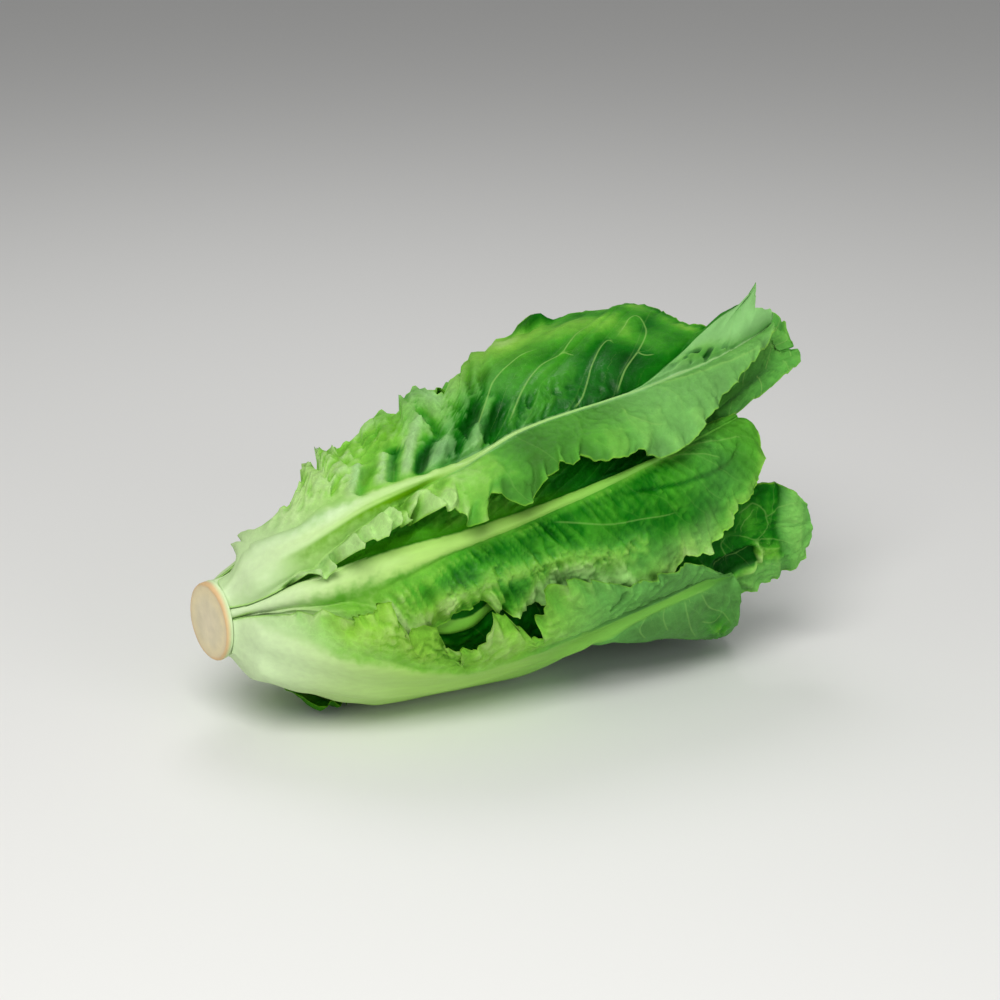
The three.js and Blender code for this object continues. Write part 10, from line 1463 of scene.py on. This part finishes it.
def stem_material():
    m = bpy.data.materials.new("cut stem")
    m.use_nodes = True
    nt = m.node_tree
    nt.nodes.clear()
    N, K = nt.nodes.new, nt.links.new
    out, pr = N("ShaderNodeOutputMaterial"), N("ShaderNodeBsdfPrincipled")
    co = N("ShaderNodeTexCoord")
    mp = N("ShaderNodeVectorMath"); mp.operation = "SUBTRACT"
    mp.inputs[1].default_value = tuple(place(np.array(0.0), np.array(0.0), np.array(0.0)))
    K(co.outputs["Object"], mp.inputs[0])
    sep = N("ShaderNodeSeparateXYZ"); K(mp.outputs[0], sep.inputs[0])
    flat = N("ShaderNodeCombineXYZ"); K(sep.outputs["Y"], flat.inputs["Y"]); K(sep.outputs["Z"], flat.inputs["Z"])
    ln = N("ShaderNodeVectorMath"); ln.operation = "LENGTH"; K(flat.outputs[0], ln.inputs[0])
    nz = N("ShaderNodeTexNoise"); nz.inputs["Scale"].default_value = 160; nz.inputs["Detail"].default_value = 4
    K(co.outputs["Object"], nz.inputs["Vector"])
    r = N("ShaderNodeMath"); r.operation = "MULTIPLY_ADD"; r.inputs[1].default_value = 0.0022
    K(nz.outputs["Fac"], r.inputs[0]); K(ln.outputs["Value"], r.inputs[2])
    rp = N("ShaderNodeValToRGB")
    K(r.outputs[0], rp.inputs["Fac"])
    sc = N("ShaderNodeMapRange"); sc.inputs["From Min"].default_value = 0.0; sc.inputs["From Max"].default_value = 0.0195
    nt.links.remove(rp.inputs["Fac"].links[0])
    K(r.outputs[0], sc.inputs["Value"]); K(sc.outputs[0], rp.inputs["Fac"])
    el = rp.color_ramp.elements
    stops = [(0.0, rgb(226, 214, 182)), (0.55, rgb(222, 211, 176)), (0.78, rgb(228, 214, 172)), (0.88, rgb(222, 206, 166)), (0.945, rgb(216, 182, 132)), (1.0, rgb(212, 176, 128))]
    el[0].position, el[0].color = stops[0][0], (*stops[0][1], 1)
    el[1].position, el[1].color = stops[-1][0], (*stops[-1][1], 1)
    for pos, c in stops[1:-1]:
        e = el.new(pos); e.color = (*c, 1)
    # the flesh inside the head is green-white
    inside = N("ShaderNodeMapRange"); inside.inputs["From Min"].default_value = -0.0004; inside.inputs["From Max"].default_value = 0.0016
    K(sep.outputs["X"], inside.inputs["Value"])
    mxc = N("ShaderNodeMixRGB"); mxc.inputs[2].default_value = (*rgb(204, 226, 174), 1)
    K(inside.outputs[0], mxc.inputs[0]); K(rp.outputs[0], mxc.inputs[1])
    fine = N("ShaderNodeTexNoise"); fine.inputs["Scale"].default_value = 700; fine.inputs["Detail"].default_value = 4
    K(co.outputs["Object"], fine.inputs["Vector"])
    vr = N("ShaderNodeMapRange"); vr.inputs["From Min"].default_value = 0.3; vr.inputs["From Max"].default_value = 0.7; vr.inputs["To Min"].default_value = 0.9; vr.inputs["To Max"].default_value = 1.05
    K(nz.outputs["Fac"], vr.inputs["Value"])
    sca = N("ShaderNodeVectorMath"); sca.operation = "SCALE"; K(mxc.outputs[0], sca.inputs[0]); K(vr.outputs[0], sca.inputs["Scale"])
    K(sca.outputs[0], pr.inputs["Base Color"])
    bp = N("ShaderNodeBump"); bp.inputs["Distance"].default_value = 0.0004; bp.inputs["Strength"].default_value = 0.35
    K(fine.outputs["Fac"], bp.inputs["Height"]); K(bp.outputs[0], pr.inputs["Normal"])
    rg = N("ShaderNodeMapRange"); rg.inputs["To Min"].default_value = 0.45; rg.inputs["To Max"].default_value = 0.7
    K(fine.outputs["Fac"], rg.inputs["Value"]); K(rg.outputs[0], pr.inputs["Roughness"])
    K(pr.outputs[0], out.inputs["Surface"])
    return m


ob = stem()
ob.data.materials.append(stem_material())
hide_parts("stem"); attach(ob, "root")


# ---- camera, floor, light ----
cam = bpy.data.cameras.new("camera")
cam.sensor_width, cam.lens, cam.clip_start, cam.clip_end = 36, FOCAL, 0.05, 20
cam_ob = bpy.data.objects.new("camera", cam)
m = Matrix.Identity(4)
for i, ax in enumerate((RIGHT, UP, BACK)):
    for k in range(3):
        m[k][i] = ax[k]
for k in range(3):
    m[k][3] = EYE[k]
cam_ob.matrix_world = m
scene = bpy.context.scene
scene.collection.objects.link(cam_ob)
scene.camera = cam_ob

me = bpy.data.meshes.new("floor")
me.from_pydata([(-6, -6, 0), (6, -6, 0), (6, 6, 0), (-6, 6, 0)], [], [(0, 1, 2, 3)])
floor = bpy.data.objects.new("floor", me)
scene.collection.objects.link(floor)
fm = bpy.data.materials.new("pale floor")
fm.use_nodes = True
fb = fm.node_tree.nodes["Principled BSDF"]
fb.inputs["Base Color"].default_value = (0.78, 0.78, 0.77, 1)
fb.inputs["Roughness"].default_value = 0.9
fb.inputs["Specular IOR Level"].default_value = 0.15
me.materials.append(fm)


def area(name, where, to, size, power, colour=(1, 1, 1)):
    l = bpy.data.lights.new(name, "AREA")
    l.shape, l.size, l.energy, l.color = "DISK", size, power, colour
    o = bpy.data.objects.new(name, l)
    p, t = np.array(where, float), np.array(to, float)
    z = (p - t) / np.linalg.norm(p - t)
    x = np.cross([0.0, 0.2, 1.0], z); x /= np.linalg.norm(x)
    y = np.cross(z, x)
    mm = Matrix.Identity(4)
    for i, ax in enumerate((x, y, z)):
        for k in range(3):
            mm[k][i] = ax[k]
    for k in range(3):
        mm[k][3] = p[k]
    o.matrix_world = mm
    scene.collection.objects.link(o)


area("key", (-0.66, -0.72, 1.15), (0, 0, 0.06), 0.85, 16, (1.0, 0.99, 0.96))
area("front", (0.3, -1.5, 0.5), (0, 0, 0.06), 1.0, 5, (0.97, 0.99, 1.0))
area("rim", (0.2, 0.6, 1.1), (0, 0, 0.08), 0.6, 3)
world = bpy.data.worlds.new("studio")
world.use_nodes = True
world.node_tree.nodes["Background"].inputs["Color"].default_value = (1, 1, 1, 1)
world.node_tree.nodes["Background"].inputs["Strength"].default_value = 0.27
scene.world = world
scene.view_settings.view_transform = "Standard"
scene.view_settings.look = "None"
scene.cycles.use_denoising = True
